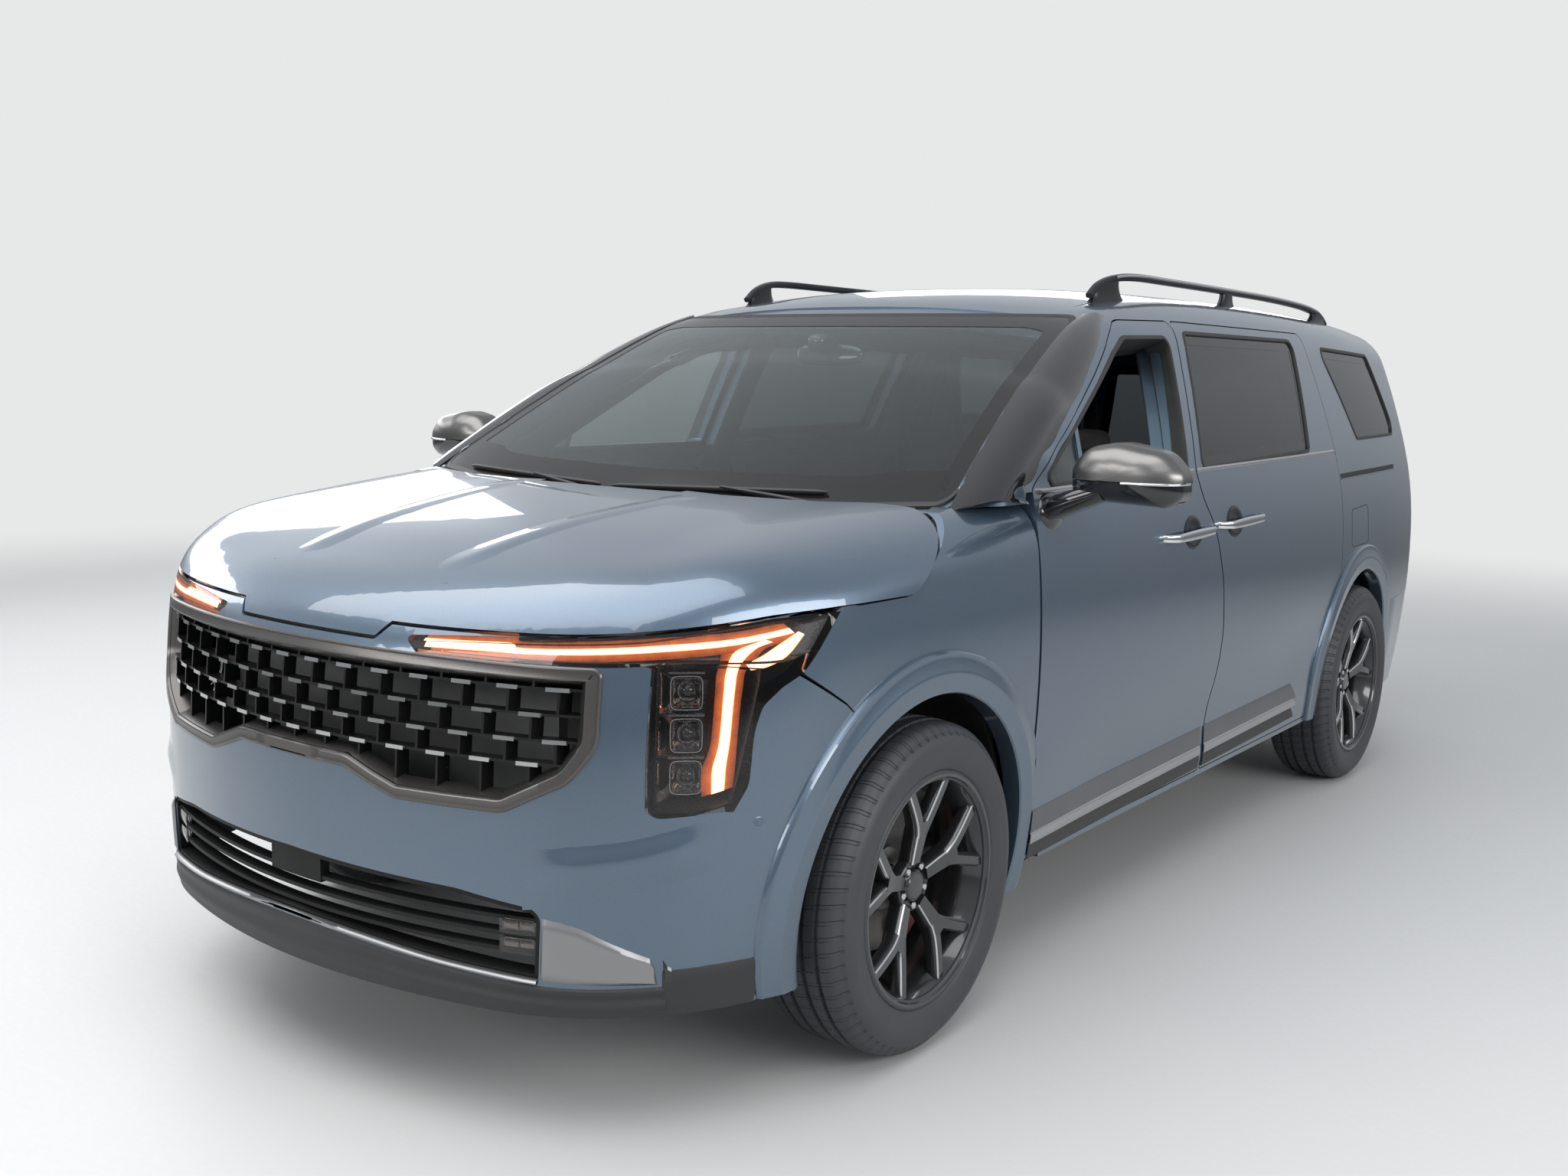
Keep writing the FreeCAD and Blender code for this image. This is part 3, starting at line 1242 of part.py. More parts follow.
def front_frame():
    """Side rails, crash beam, cross member, lower arms and leaning struts of the front end."""
    parts = []
    low = LOWER_ARM_Z
    for side in (-1, 1):
        a = side * RAIL_X
        king = king_point(side, low)
        parts.append(block(a - RAIL_W, a + RAIL_W, FIREWALL_Y - RAIL_LONG, FIREWALL_Y - SEAT_GAP, RAIL_Z,
                           RAIL_Z + 2 * RAIL_W))
        parts.append(king_rod(low, STRUT_TOP - SKIN, KING_R * .5, side))
        parts.append(plan_prism([(king.x, AXLE_F + KING_R, 0), (side * ARM_REACH, AXLE_F + 4 * RAIL_W, 0),
                                 (side * ARM_REACH, AXLE_F - 3 * RAIL_W, 0), (king.x, AXLE_F - KING_R,
                                         0)], low, low + SKIN))
        parts.append(rod(king, king + UP * SKIN, KING_R))
        parts.append(king_rod(TYRE_R + ARM_DROP + SEAT_GAP, STRUT_TOP, STRUT_R, side))
        top = king_point(side, STRUT_TOP)
        far = top.x + side * STRUT_R
        parts.append(block(min(a, far), max(a, far), AXLE_F - STRUT_R, AXLE_F + STRUT_R,
                           STRUT_TOP - 2 * SKIN, STRUT_TOP))
        inner = a - side * RAIL_W
        parts.append(block(min(inner, inner + side * SKIN), max(inner, inner + side * SKIN),
                           AXLE_F - 2 * RAIL_W,
                           AXLE_F + 2 * RAIL_W, RAIL_Z, STRUT_TOP))
        parts.append(block(min(inner, a), max(inner, a), AXLE_F - STRUT_R, AXLE_F + STRUT_R,
                           STRUT_TOP - 2 * SKIN, STRUT_TOP))
        parts.append(block(a - RAIL_W / 2, a + RAIL_W / 2, AXLE_F + 2 * RAIL_W, AXLE_F + 3 * RAIL_W, low,
                           RAIL_Z + SKIN))
        parts.append(block(min(a + side * RAIL_W / 2, side * ARM_REACH),
                           max(a + side * RAIL_W / 2, side * ARM_REACH),
                           AXLE_F + 2 * RAIL_W, AXLE_F + 3 * RAIL_W, low, low + 3 * SKIN))
    parts.append(block(-ARM_REACH - SKIN, ARM_REACH + SKIN, AXLE_F - 3 * RAIL_W, AXLE_F + 4 * RAIL_W, low,
                       low + 3 * SKIN))
    beam_y = FIREWALL_Y - RAIL_LONG
    parts.append(block(-BEAM_HALF, BEAM_HALF, beam_y - SKIN * 2, beam_y, RAIL_Z - SKIN,
                       RAIL_Z + 2 * RAIL_W + SKIN))
    return joined(parts)


# Powertrain and running gear


def engine_block():
    body = block(-ENGINE_HALF, ENGINE_HALF, ENGINE_FRONT, ENGINE_REAR, RAIL_Z - 3 * RAIL_W, ENGINE_HIGH)
    mount_z = RAIL_Z + RAIL_W
    mounts = block(-RAIL_X + RAIL_W + SEAT_GAP, RAIL_X - RAIL_W - SEAT_GAP, ENGINE_FRONT + 2 * RAIL_W,
                   ENGINE_FRONT + 5 * RAIL_W,
                   mount_z - RAIL_W / 2, mount_z + RAIL_W / 2)
    return body.fuse(mounts).removeSplitter()


def rear_axle():
    """Cross tube, trailing arms, spring seats and the two hub spindles."""
    end = TRACK_HALF + SPOKE_FACE - 2 * SPOKE_DISH - SEAT_GAP
    parts = [across(AXLE_R, TYRE_R, SPINDLE_R, -end, end)]
    parts.append(across(AXLE_R, TYRE_R, SPINDLE_R * 1.5,
                        -TRACK_HALF + 2 * DISC_THICK + 2 * RIM_WALL + 3 * SKIN,
                        TRACK_HALF - 2 * DISC_THICK - 2 * RIM_WALL - 3 * SKIN))
    for side in (-1, 1):
        a = side * ARM_X
        parts.append(side_prism([(AXLE_R + SPINDLE_R, TYRE_R - SPINDLE_R, 0),
                                 (AXLE_R + SPINDLE_R, TYRE_R + SPINDLE_R, 0),
                                 (AXLE_R - ARM_LONG, FLOOR_Z - SPINDLE_R, 0), (AXLE_R - ARM_LONG,
                                         FLOOR_Z - 3 * SPINDLE_R, 0)],
                                a - SPINDLE_R, a + SPINDLE_R))
        parts.append(block(a - SPINDLE_R, a + SPINDLE_R, AXLE_R - ARM_LONG,
                           AXLE_R - ARM_LONG + 1.5 * SPINDLE_R,
                           FLOOR_Z - 2 * SPINDLE_R, FLOOR_Z - SEAT_GAP))
        spring = rod(V(a, AXLE_R, TYRE_R), V(a, AXLE_R, KICK_Z - SEAT_GAP), STRUT_R)
        parts.append(spring)
    return joined(parts)


def floor_pan():
    t = FLOOR_THICK
    profile = [(FIREWALL_Y + FIREWALL_THICK + SEAT_GAP, FLOOR_Z, 0), (KICK_Y, FLOOR_Z, 60),
               (KICK_Y + KICK_Z - FLOOR_Z, KICK_Z, 60),
               (REAR_FLOOR_END, KICK_Z, 0), (REAR_FLOOR_END, KICK_Z + t,
                                             0), (KICK_Y + KICK_Z - FLOOR_Z - t / 2, KICK_Z + t, 60),
               (KICK_Y - t / 2, FLOOR_Z + t, 60), (FIREWALL_Y + FIREWALL_THICK + SEAT_GAP, FLOOR_Z + t, 0)]
    pan = side_prism(profile, -FLOOR_HALF, FLOOR_HALF)
    for side in (-1, 1):
        inner = WELL_X - SKIN - SEAT_GAP
        well = across(AXLE_R, ARCH_Z, ARCH_R + SKIN + SEAT_GAP, inner if side > 0 else -FAR,
                      FAR if side > 0 else -inner)
        pan = pan.cut(well)
    post = block(PILLAR_IN - SEAT_GAP, FAR, -FAR, DOOR_SHARES[0][0] * LENGTH + OVERRUN + SEAT_GAP, 0, FAR)
    for shape in (wall_room, wheel_bowl(SKIN + SEAT_GAP), post):
        pan = pan.cut(shape).cut(mirrored(shape))
    return biggest(pan)


def wheel_house(axle):
    """Liner that closes a wheel arch above the tyre, with its inner cheek."""
    outer = across(axle, ARCH_Z, ARCH_R + SKIN, WELL_X - SKIN, CABIN_HALF)
    inner = across(axle, ARCH_Z, ARCH_R, WELL_X, FAR)
    house = outer.cut(inner).cut(block(-FAR, FAR, -FAR, FAR, -FAR, FLOOR_Z))
    return biggest(house.cut(wall_room).cut(across(axle, TYRE_R, SPINDLE_R * 1.5 + SEAM, -FAR, FAR)))


def front_liner():
    """Dome of moulded sheet over the steered wheel, with holes for the strut and the rail."""
    inside = block(-FAR, LINER_OUT, -FAR, FAR, FLOOR_Z, FAR)
    dome = wheel_bowl(SKIN).common(inside).cut(wheel_bowl(0))
    dome = dome.cut(king_rod(0, ROOF_TOP, STRUT_R + SEAM))
    return biggest(dome.cut(flare(AXLE_F, front_gap, -17, 197, SKIN + FLARE_OUT + SEAT_GAP)))


# Cabin


def dashboard():
    y = FIREWALL_Y + FIREWALL_THICK + SEAT_GAP
    profile = [(y + back, z, r) for back, z, r in DASH_PROFILE]
    dash = side_prism(profile, -CABIN_HALF + 2 * FLANGE, CABIN_HALF - 2 * FLANGE)
    bowl = wheel_bowl(SKIN + SEAT_GAP)
    return biggest(dash.cut(bowl).cut(mirrored(bowl)))


def steering_wheel():
    centre = V(WHEEL_X, RING_Y, RING_Z)
    way = unit(0, 1, RING_TILT_SHARE)
    ring = Part.makeTorus(RING_R, RING_TUBE, centre, way)
    hub = rod(centre - way * BOSS_BACK, centre + way * BOSS_OUT, BOSS_R)
    side_way = ACROSS
    down = way.cross(side_way)
    spokes = [rod(centre - side_way * RING_R, centre + side_way * RING_R, SPOKE_R)]
    spokes.append(rod(centre, centre + down * RING_R, SPOKE_R))
    column = rod(centre - way * COLUMN_LONG, centre, COLUMN_R)
    return joined([ring, hub, column] + spokes)


def seat(x, y, half, size, base=FLOOR_Z + FLOOR_THICK):
    """One seat as a plain closed form: cushion, leaning back and headrest in one side outline."""
    points = [(y + a * size, base + b * size * .92, size * .05) for a, b in SEAT_SIDE_SHARES]
    body = side_prism(points, x - half, x + half)
    shoulder = base + .95 * size * .92
    for a, b in ((x - half - SEAM, x - half * .55), (x + half * .55, x + half + SEAM)):
        body = body.cut(block(a, b, y, y + 2 * size, shoulder, FAR))
    legs = block(x - half * .8, x + half * .8, y + .12 * size, y + .66 * size, base + SEAT_GAP,
                 base + .30 * size)
    return body.fuse(legs).removeSplitter()


def rail(side):
    """Roof rail: a bridge with a level middle that stands on two feet."""
    x = side * RAIL_SIDE
    foot_a, foot_b = [(y, roof_z(x, y)) for y in RAIL_FEET]
    bend_a, bend_b = [(y, roof_z(x, y) + RAIL_HIGH) for y in RAIL_BENDS]
    top = [(foot_a[0], foot_a[1] + GLASS, 0), (bend_a[0], bend_a[1], RAIL_HIGH),
           (RAIL_LEVEL[0], RAIL_TOP, 0),
           (RAIL_LEVEL[1], RAIL_TOP, 0), (bend_b[0], bend_b[1], RAIL_HIGH), (foot_b[0], foot_b[1] + GLASS,
                   0)]
    low = [(foot_b[0], foot_b[1] - RAIL_TALL, 0), (foot_b[0] - FRAME_DEPTH, foot_b[1] - RAIL_TALL, 0),
           (bend_b[0] - OVERRUN, bend_b[1] - RAIL_TALL, RAIL_HIGH), (RAIL_LEVEL[1], RAIL_TOP - RAIL_TALL,
                                                                     0),
           (RAIL_LEVEL[0], RAIL_TOP - RAIL_TALL, 0), (bend_a[0] + OVERRUN, bend_a[1] - RAIL_TALL,
                                                      RAIL_HIGH),
           (foot_a[0] + FRAME_DEPTH, foot_a[1] - RAIL_TALL, 0), (foot_a[0], foot_a[1] - RAIL_TALL, 0)]
    return side_prism(top + low, x - RAIL_WIDE / 2, x + RAIL_WIDE / 2)


def mirror():
    """Mirror shell with a rounded front, carried by an arm that is cut to fit the door."""
    arm = rod(V(*MIRROR_ARM_FROM), V(*MIRROR_ARM_TO), MIRROR_ARM_R)
    shell = front_prism(MIRROR_OUTLINE, MIRROR_FRONT, MIRROR_REAR)
    ahead = [e for e in shell.Edges if e.BoundBox.YMax < MIRROR_FRONT + SEAT_GAP]
    return shell.makeFillet(MIRROR_ROUND, ahead).fuse(arm)


def exhaust():
    """Pipe and silencer, hung from the floor on rods."""
    x0, x1, y0, y1, z0, z1 = SILENCER
    parts = [rod(V(PIPE_X, PIPE_FRONT, PIPE_Z), V(PIPE_X, PIPE_REAR, PIPE_Z), PIPE_R),
             block(x0, x1, y0, y1, z0, z1)]
    for y in HANGERS_Y:
        parts.append(rod(V(PIPE_X, y, PIPE_Z), V(PIPE_X, y, FLOOR_Z - SEAT_GAP), HANGER_R))
    parts.append(rod(V(PIPE_X, (y0 + y1) / 2, PIPE_Z), V(PIPE_X, (y0 + y1) / 2, KICK_Z - SEAT_GAP),
                     HANGER_R))
    return joined(parts)


def fuel_tank():
    x0, x1, y0, y1, z0 = TANK
    return block(x0, x1, y0, y1, z0, FLOOR_Z - SEAT_GAP)


def wiper(start, end):
    """Blade that follows the glass, between two front view places."""
    (x0, z0), (x1, z1) = [(a * HALF_WIDTH, b * ROOF_TOP) for a, b, _ in (start, end)]
    strip = front_prism([(x0, z0, 0), (x1, z1, 0), (x1, z1 + BLADE_TALL, 0), (x0, z0 + BLADE_TALL, 0)],
                        -FAR, 0)
    return biggest(wiper_skin.common(strip))


body_left = body_shell()
wall, frame, bows = shell_core()
ears = hood_bracket(HOOD_HINGE_X) + hood_bracket(-HOOD_HINGE_X)
shell = joined([body_left, mirrored(body_left), wall, frame] + bows + ears)
shell = shell.cut(roof_room())
for x in (GATE_HINGE_X, -GATE_HINGE_X):
    shell = shell.cut(gate_notch(x)).fuse(gate_pin(x))
shell = biggest(shell)
save("body_shell", shell)
roof_end = block(-FAR, FAR, GATE_PIN_Y, FAR, 0, FAR).cut(gate_swing(GATE_SWING_R - SEAM))
roof = roof_panel().cut(roof_end)
save("roof_panel", roof.cut(gate_notch(GATE_HINGE_X)).cut(gate_notch(-GATE_HINGE_X)))
save("windshield", windshield())
save("hood", hood())
door = front_door()
save("door_front_left", door)
save("door_front_right", mirrored(door))
slider = sliding_door()
save("sliding_door_left", slider)
save("sliding_door_right", mirrored(slider))
fl = biggest(fender().cut(frame))
save("fender_left", fl)
save("fender_right", mirrored(fl))
save("front_bumper", front_bumper())
lamp = headlamp()
save("headlamp_left", lamp)
save("headlamp_right", mirrored(lamp))
save("grille", grille())
save("grille_dashes", grille_dashes())
save("lower_intake", lower_intake())
save("radiator", radiator())
ff = front_flare()
rf = rear_flare()
save("arch_flares", ff, mirrored(ff), rf, mirrored(rf))
save("rear_bumper", rear_bumper())
tl = tail_lamp()
save("tail_lamps", tl, mirrored(tl))
save("liftgate", liftgate())
save("liftgate_glass", liftgate_glass())
save("liftgate_lamp", liftgate_lamp())
for name, side, y in (("front_left", 1, AXLE_F), ("front_right", -1, AXLE_F), ("rear_left", 1, AXLE_R),
                      ("rear_right", -1, AXLE_R)):
    wheel = rim(TRACK_HALF, y)
    cover = tyre(TRACK_HALF, y)
    save("rim_" + name, wheel if side > 0 else mirrored(wheel))
    save("tyre_" + name, cover if side > 0 else mirrored(cover))
save("knuckle_left", knuckle(1))
save("knuckle_right", knuckle(-1))
save("front_frame", front_frame())
save("engine_block", engine_block())
save("rear_axle", rear_axle())
save("floor_pan", floor_pan())
wh = wheel_house(AXLE_R)
lf = front_liner()
save("wheel_liners", wh, mirrored(wh), lf, mirrored(lf))
dash = dashboard()
save("dashboard", dash)
save("steering_wheel", biggest(steering_wheel().cut(dash)))
front_seat = seat(WHEEL_X, FRONT_SEAT_Y, SEAT_HALF, FRONT_SEAT_SIZE)
second_seat = seat(WHEEL_X, SECOND_SEAT_Y, SEAT_HALF, SECOND_SEAT_SIZE)
save("front_seats", front_seat, mirrored(front_seat))
save("second_row_seats", second_seat, mirrored(second_seat))
save("third_row_seat", seat(0, THIRD_SEAT_Y, BENCH_HALF, THIRD_SEAT_SIZE, KICK_Z + FLOOR_THICK))
rl = biggest(rail(1).cut(wall_room))
save("roof_rails", rl, mirrored(rl))
mr = biggest(mirror().cut(door))
save("mirror_left", mr)
save("mirror_right", mirrored(mr))
save("exhaust", exhaust())
save("fuel_tank", fuel_tank())
wiper_skin = slab(cabin_gap, screen_rays(), -BLADE_OUT, -SEAT_GAP)
save("wipers", wiper(*WIPER_PLACES[:2]), wiper(*WIPER_PLACES[2:]))
slide_glass = biggest(glass_wall.common(through(grown(slider_window, -SEAT_GAP))))
quarter_glass = biggest(glass_wall.common(through(grown(quarter_window, -SEAT_GAP))))
save("side_glass", slide_glass, quarter_glass, mirrored(slide_glass), mirrored(quarter_glass))
door_glass = glass_wall.common(through(grown(door_window,
                                             -SEAT_GAP)).cut(through(grown(quarter_bar, SEAT_GAP))))
panes = sorted(door_glass.Solids, key=lambda s: s.Volume)
save("door_glass_right", *[mirrored(p) for p in panes])
save("door_glass_left", panes[0])
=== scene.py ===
import math

import bmesh
import bpy
import numpy as np
from mathutils import Matrix, Vector


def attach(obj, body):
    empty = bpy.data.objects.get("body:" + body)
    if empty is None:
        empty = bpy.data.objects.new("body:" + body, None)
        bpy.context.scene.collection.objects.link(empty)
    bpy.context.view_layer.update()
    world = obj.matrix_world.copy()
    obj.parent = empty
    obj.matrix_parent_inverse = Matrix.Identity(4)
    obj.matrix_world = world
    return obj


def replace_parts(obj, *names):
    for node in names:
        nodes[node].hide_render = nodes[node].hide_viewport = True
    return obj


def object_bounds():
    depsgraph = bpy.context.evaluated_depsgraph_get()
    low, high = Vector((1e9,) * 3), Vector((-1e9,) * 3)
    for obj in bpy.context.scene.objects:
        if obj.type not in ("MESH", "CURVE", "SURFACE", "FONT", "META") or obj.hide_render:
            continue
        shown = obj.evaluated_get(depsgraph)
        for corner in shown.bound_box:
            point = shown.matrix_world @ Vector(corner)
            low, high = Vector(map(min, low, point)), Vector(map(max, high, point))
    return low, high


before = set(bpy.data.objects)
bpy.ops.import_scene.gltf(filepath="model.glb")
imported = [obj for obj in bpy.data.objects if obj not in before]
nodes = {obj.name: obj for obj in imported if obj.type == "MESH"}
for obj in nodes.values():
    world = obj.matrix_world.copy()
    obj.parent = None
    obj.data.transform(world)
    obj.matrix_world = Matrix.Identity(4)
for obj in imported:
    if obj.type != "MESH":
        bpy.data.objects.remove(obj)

cad_low, cad_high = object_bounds()

# Studio: a pale seamless floor under soft rectangular lamps, and the camera that took the picture.
# The floor is a wide poured slab, the lamps are fabric-covered boxes hung round the vehicle.
scene = bpy.context.scene
scene.view_settings.view_transform = "Standard"

CAMERA_AT = Vector((2.613, -4.411, 1.471))
CAMERA_TURN = math.radians(36.58)
CAMERA_DOWN = math.radians(7.92)
CAMERA_ROLL = math.radians(1.34)
ahead = Vector((-math.sin(CAMERA_TURN) * math.cos(CAMERA_DOWN), math.cos(CAMERA_TURN) * math.cos(CAMERA_DOWN),
                -math.sin(CAMERA_DOWN)))
level = ahead.cross(Vector((0, 0, 1))).normalized()
upright = level.cross(ahead)
right = level * math.cos(CAMERA_ROLL) + upright * math.sin(CAMERA_ROLL)
top = upright * math.cos(CAMERA_ROLL) - level * math.sin(CAMERA_ROLL)
camera = bpy.data.objects.new("camera", bpy.data.cameras.new("camera"))
camera.data.lens = 34.98
camera.data.sensor_width = 36
camera.matrix_world = Matrix((
    (right.x, top.x, -ahead.x, CAMERA_AT.x), (right.y, top.y, -ahead.y, CAMERA_AT.y),
    (right.z, top.z, -ahead.z, CAMERA_AT.z), (0, 0, 0, 1)))
scene.collection.objects.link(camera)
scene.camera = camera


def kit(tree):
    """Two calls for one node tree: the first adds shader nodes by their short names, the second wires sockets."""
    def add(*kinds):
        made = [tree.nodes.new("ShaderNode" + kind) for kind in kinds]
        return made if len(made) > 1 else made[0]
    return add, tree.links.new


def put(node, **values):
    """Sets a node's inputs by their labels, an underscore standing for a space."""
    for label, value in values.items():
        node.inputs[label.replace("_", " ")].default_value = value


def tone_group():
    """Group that varies a finish: broad patches mix two colours, fine grain gives a height and shifts the roughness."""
    group = bpy.data.node_groups.new("tone", "ShaderNodeTree")
    face = group.interface
    for label, kind, value in (("Colour A", "NodeSocketColor", (.5, .5, .5, 1)),
                               ("Colour B", "NodeSocketColor", (.4, .4, .4, 1)),
                               ("Patch Scale", "NodeSocketFloat", 3.0), ("Grain Scale", "NodeSocketFloat", 400.0),
                               ("Rough Low", "NodeSocketFloat", .4), ("Rough High", "NodeSocketFloat", .5)):
        face.new_socket(label, in_out="INPUT", socket_type=kind).default_value = value
    for label, kind in (("Colour", "NodeSocketColor"), ("Roughness", "NodeSocketFloat"), ("Height", "NodeSocketFloat")):
        face.new_socket(label, in_out="OUTPUT", socket_type=kind)
    add, wire = kit(group)
    inlet, outlet = group.nodes.new("NodeGroupInput"), group.nodes.new("NodeGroupOutput")
    place, patch, grain, mix, rough = add("TexCoord", "TexNoise", "TexNoise", "Mix", "MapRange")
    put(patch, Detail=3.0)
    put(grain, Detail=2.0)
    put(rough, From_Min=.3, From_Max=.7)
    mix.data_type = "RGBA"
    wire(place.outputs["Object"], patch.inputs["Vector"])
    wire(place.outputs["Object"], grain.inputs["Vector"])
    wire(inlet.outputs["Patch Scale"], patch.inputs["Scale"])
    wire(inlet.outputs["Grain Scale"], grain.inputs["Scale"])
    wire(patch.outputs["Fac"], mix.inputs[0])
    wire(inlet.outputs["Colour A"], mix.inputs[6])
    wire(inlet.outputs["Colour B"], mix.inputs[7])
    wire(grain.outputs["Fac"], rough.inputs["Value"])
    wire(inlet.outputs["Rough Low"], rough.inputs["To Min"])
    wire(inlet.outputs["Rough High"], rough.inputs["To Max"])
    wire(mix.outputs[2], outlet.inputs["Colour"])
    wire(rough.outputs["Result"], outlet.inputs["Roughness"])
    wire(grain.outputs["Fac"], outlet.inputs["Height"])
    return group


TONE = tone_group()


def finish(name, colour, second, rough, patch=3.0, grain=400.0, bump=0.0, distance=.001, **sockets):
    """Material with a Principled surface whose colour, roughness and fine relief come from the tone group."""
    material = bpy.data.materials.new(name)
    material.use_nodes = True
    tree = material.node_tree
    shader = tree.nodes["Principled BSDF"]
    add, wire = kit(tree)
    tone = add("Group")
    tone.node_tree = TONE
    put(tone, Colour_A=(*colour, 1), Colour_B=(*second, 1), Patch_Scale=patch, Grain_Scale=grain,
        Rough_Low=rough[0], Rough_High=rough[1])
    wire(tone.outputs["Colour"], shader.inputs["Base Color"])
    wire(tone.outputs["Roughness"], shader.inputs["Roughness"])
    if bump:
        relief = add("Bump")
        put(relief, Strength=bump, Distance=distance)
        wire(tone.outputs["Height"], relief.inputs["Height"])
        wire(relief.outputs["Normal"], shader.inputs["Normal"])
    put(shader, **sockets)
    return material


FLOOR_HALF = 40.0
floor_mesh = bpy.data.meshes.new("floor")
floor_mesh.from_pydata([(-FLOOR_HALF, -FLOOR_HALF, 0), (FLOOR_HALF, -FLOOR_HALF, 0), (FLOOR_HALF, FLOOR_HALF, 0),
                        (-FLOOR_HALF, FLOOR_HALF, 0)], [], [(0, 1, 2, 3)])
floor = bpy.data.objects.new("floor", floor_mesh)
floor_paint = finish("poured_floor", (.50, .505, .50), (.54, .54, .535), (.45, .6), patch=.6, grain=60, bump=.05)
floor_mesh.materials.append(floor_paint)
FADE_FROM, FADE_TO = 4.5, 11.0
add, wire = kit(floor_paint.node_tree)
floor_place, floor_radius, floor_fade = add("TexCoord", "VectorMath", "MapRange")
floor_radius.operation = "LENGTH"
floor_fade.interpolation_type = "SMOOTHSTEP"
put(floor_fade, From_Min=FADE_FROM, From_Max=FADE_TO, To_Min=1.0, To_Max=0.0)
wire(floor_place.outputs["Object"], floor_radius.inputs[0])
wire(floor_radius.outputs["Value"], floor_fade.inputs["Value"])
wire(floor_fade.outputs["Result"], floor_paint.node_tree.nodes["Principled BSDF"].inputs["Alpha"])
scene.collection.objects.link(floor)

world = bpy.data.worlds.new("soft_sky")
scene.world = world
world.use_nodes = True
backdrop = world.node_tree.nodes["Background"]
put(backdrop, Strength=.70)
add, wire = kit(world.node_tree)
sky_place, sky_split, sky_rise, sky_mix = add("TexCoord", "SeparateXYZ", "MapRange", "Mix")
sky_mix.data_type = "RGBA"
put(sky_rise, From_Min=-.10, From_Max=.22)
sky_mix.inputs[6].default_value = (.22, .23, .235, 1)
sky_mix.inputs[7].default_value = (.84, .88, .93, 1)
wire(sky_place.outputs["Generated"], sky_split.inputs[0])
wire(sky_split.outputs["Z"], sky_rise.inputs["Value"])
wire(sky_rise.outputs["Result"], sky_mix.inputs[0])
wire(sky_mix.outputs[2], backdrop.inputs["Color"])
seen, shown, blend = add("LightPath", "Background", "MixShader")
put(shown, Color=(.80, .81, .81, 1))
wire(seen.outputs["Is Camera Ray"], blend.inputs["Fac"])
wire(backdrop.outputs[0], blend.inputs[1])
wire(shown.outputs[0], blend.inputs[2])
wire(blend.outputs[0], world.node_tree.nodes["World Output"].inputs["Surface"])

for lamp_name, place, target, size, power in (
        ("lamp_top", (-.4, -3.1, 5.2), (0, -1.6, 0), (9.0, 4.6), 360),
        ("lamp_left", (6.4, -1.2, 2.9), (.9, -.2, .8), (6.5, 1.6), 210),
        ("lamp_front", (-1.6, -8.2, 3.0), (0, -2.2, .8), (5.5, 1.4), 140),
        ("lamp_right", (-6.5, 0, 3), (-.9, 0, .8), (7, 1.6), 130),
        ("lamp_back", (-3.4, 8.2, 3.6), (-.5, 2.4, 1), (4.5, 1.6), 45)):
    light = bpy.data.lights.new(lamp_name, "AREA")
    light.shape = "RECTANGLE"
    light.size, light.size_y = size
    light.energy = power
    lamp = bpy.data.objects.new(lamp_name, light)
    aim = (Vector(target) - Vector(place)).to_track_quat("-Z", "Y")
    lamp.matrix_world = Matrix.Translation(place) @ aim.to_matrix().to_4x4()
    scene.collection.objects.link(lamp)

# Body shell, doors, fenders, bumpers and liftgate: pressed steel and moulded panels, hung with even gaps.
# They carry one metallic coat: dark primer, a blue-grey base with fine flakes, and a thick clear lacquer.
LENGTH = 5.155
HALF_WIDTH = .985
ROOF_TOP = 1.785
WHEELBASE = 3.090
FRONT_Y = -LENGTH / 2
REAR_Y = LENGTH / 2
AXLE_F = FRONT_Y + .935
AXLE_R = AXLE_F + WHEELBASE
COWL_Y = -1.180
SECTION = (.905, .935, .962, .980, .992, .999, .998, .988, .962, .920, .872, .818, .752)
PLAN = (.120, .062, .020, .004, 0, 0, 0, 0, 0, 0, .004, .012, .026, .056, .110)
HOOD_LINE = (.5462, .5955, .6275, .6459, .6599, .6711, .6796, .6857)
ROOF_LINE = (.8739, .9591, .9871, .9966, .9994, .9989, .9961, .9894, .9776, .9591)
NOSE_LINE = (.060, .022, .004, .001, 0, .002, .010, .026, .050)
SIDEWAYS, FORWARD, REARWARD, UPWARD = (1, 0, 0), (0, -1, 0), (0, 1, 0), (0, 0, 1)
TAIL_LINE = (.040, .018, .006, 0, 0, .003, .008, .020, .038, .058, .085, .120, .160)


def flow(shares, low, high, at):
    """Uniform cubic B-spline over evenly spaced control shares, straight past its ends."""
    s = np.asarray(shares, float)
    last = len(s) - 1
    u = np.clip((at - low) / (high - low) * last, 0, last)
    i = np.minimum(u.astype(int), last - 1)
    f = u - i
    s = np.concatenate([[2 * s[0] - s[1]], s, [2 * s[-1] - s[-2]]])
    a, b = (1 - f) ** 3 * s[i], (3 * f ** 3 - 6 * f * f + 4) * s[i + 1]
    c, d = (-3 * f ** 3 + 3 * f * f + 3 * f + 1) * s[i + 2], f ** 3 * s[i + 3]
    return (a + b + c + d) / 6


def ease(t):
    """Smooth step from 0 to 1: t squared times (3 - 2t)."""
    t = np.clip(t, 0, 1)
    return t * t * (3 - 2 * t)


def side_x(y, z):
    """Half width of the body side: section curve less plan curve, with a scoop along the doors."""
    x = HALF_WIDTH * (flow(SECTION, 0, ROOF_TOP, z) - flow(PLAN, FRONT_Y, REAR_Y, y))
    m = (y - AXLE_F) / WHEELBASE
    fade = ease((m - .12) / .2) * ease((.92 - m) / .2)
    return x - .016 * fade * np.exp(-((z - .430 - .120 * m) / .110) ** 2)


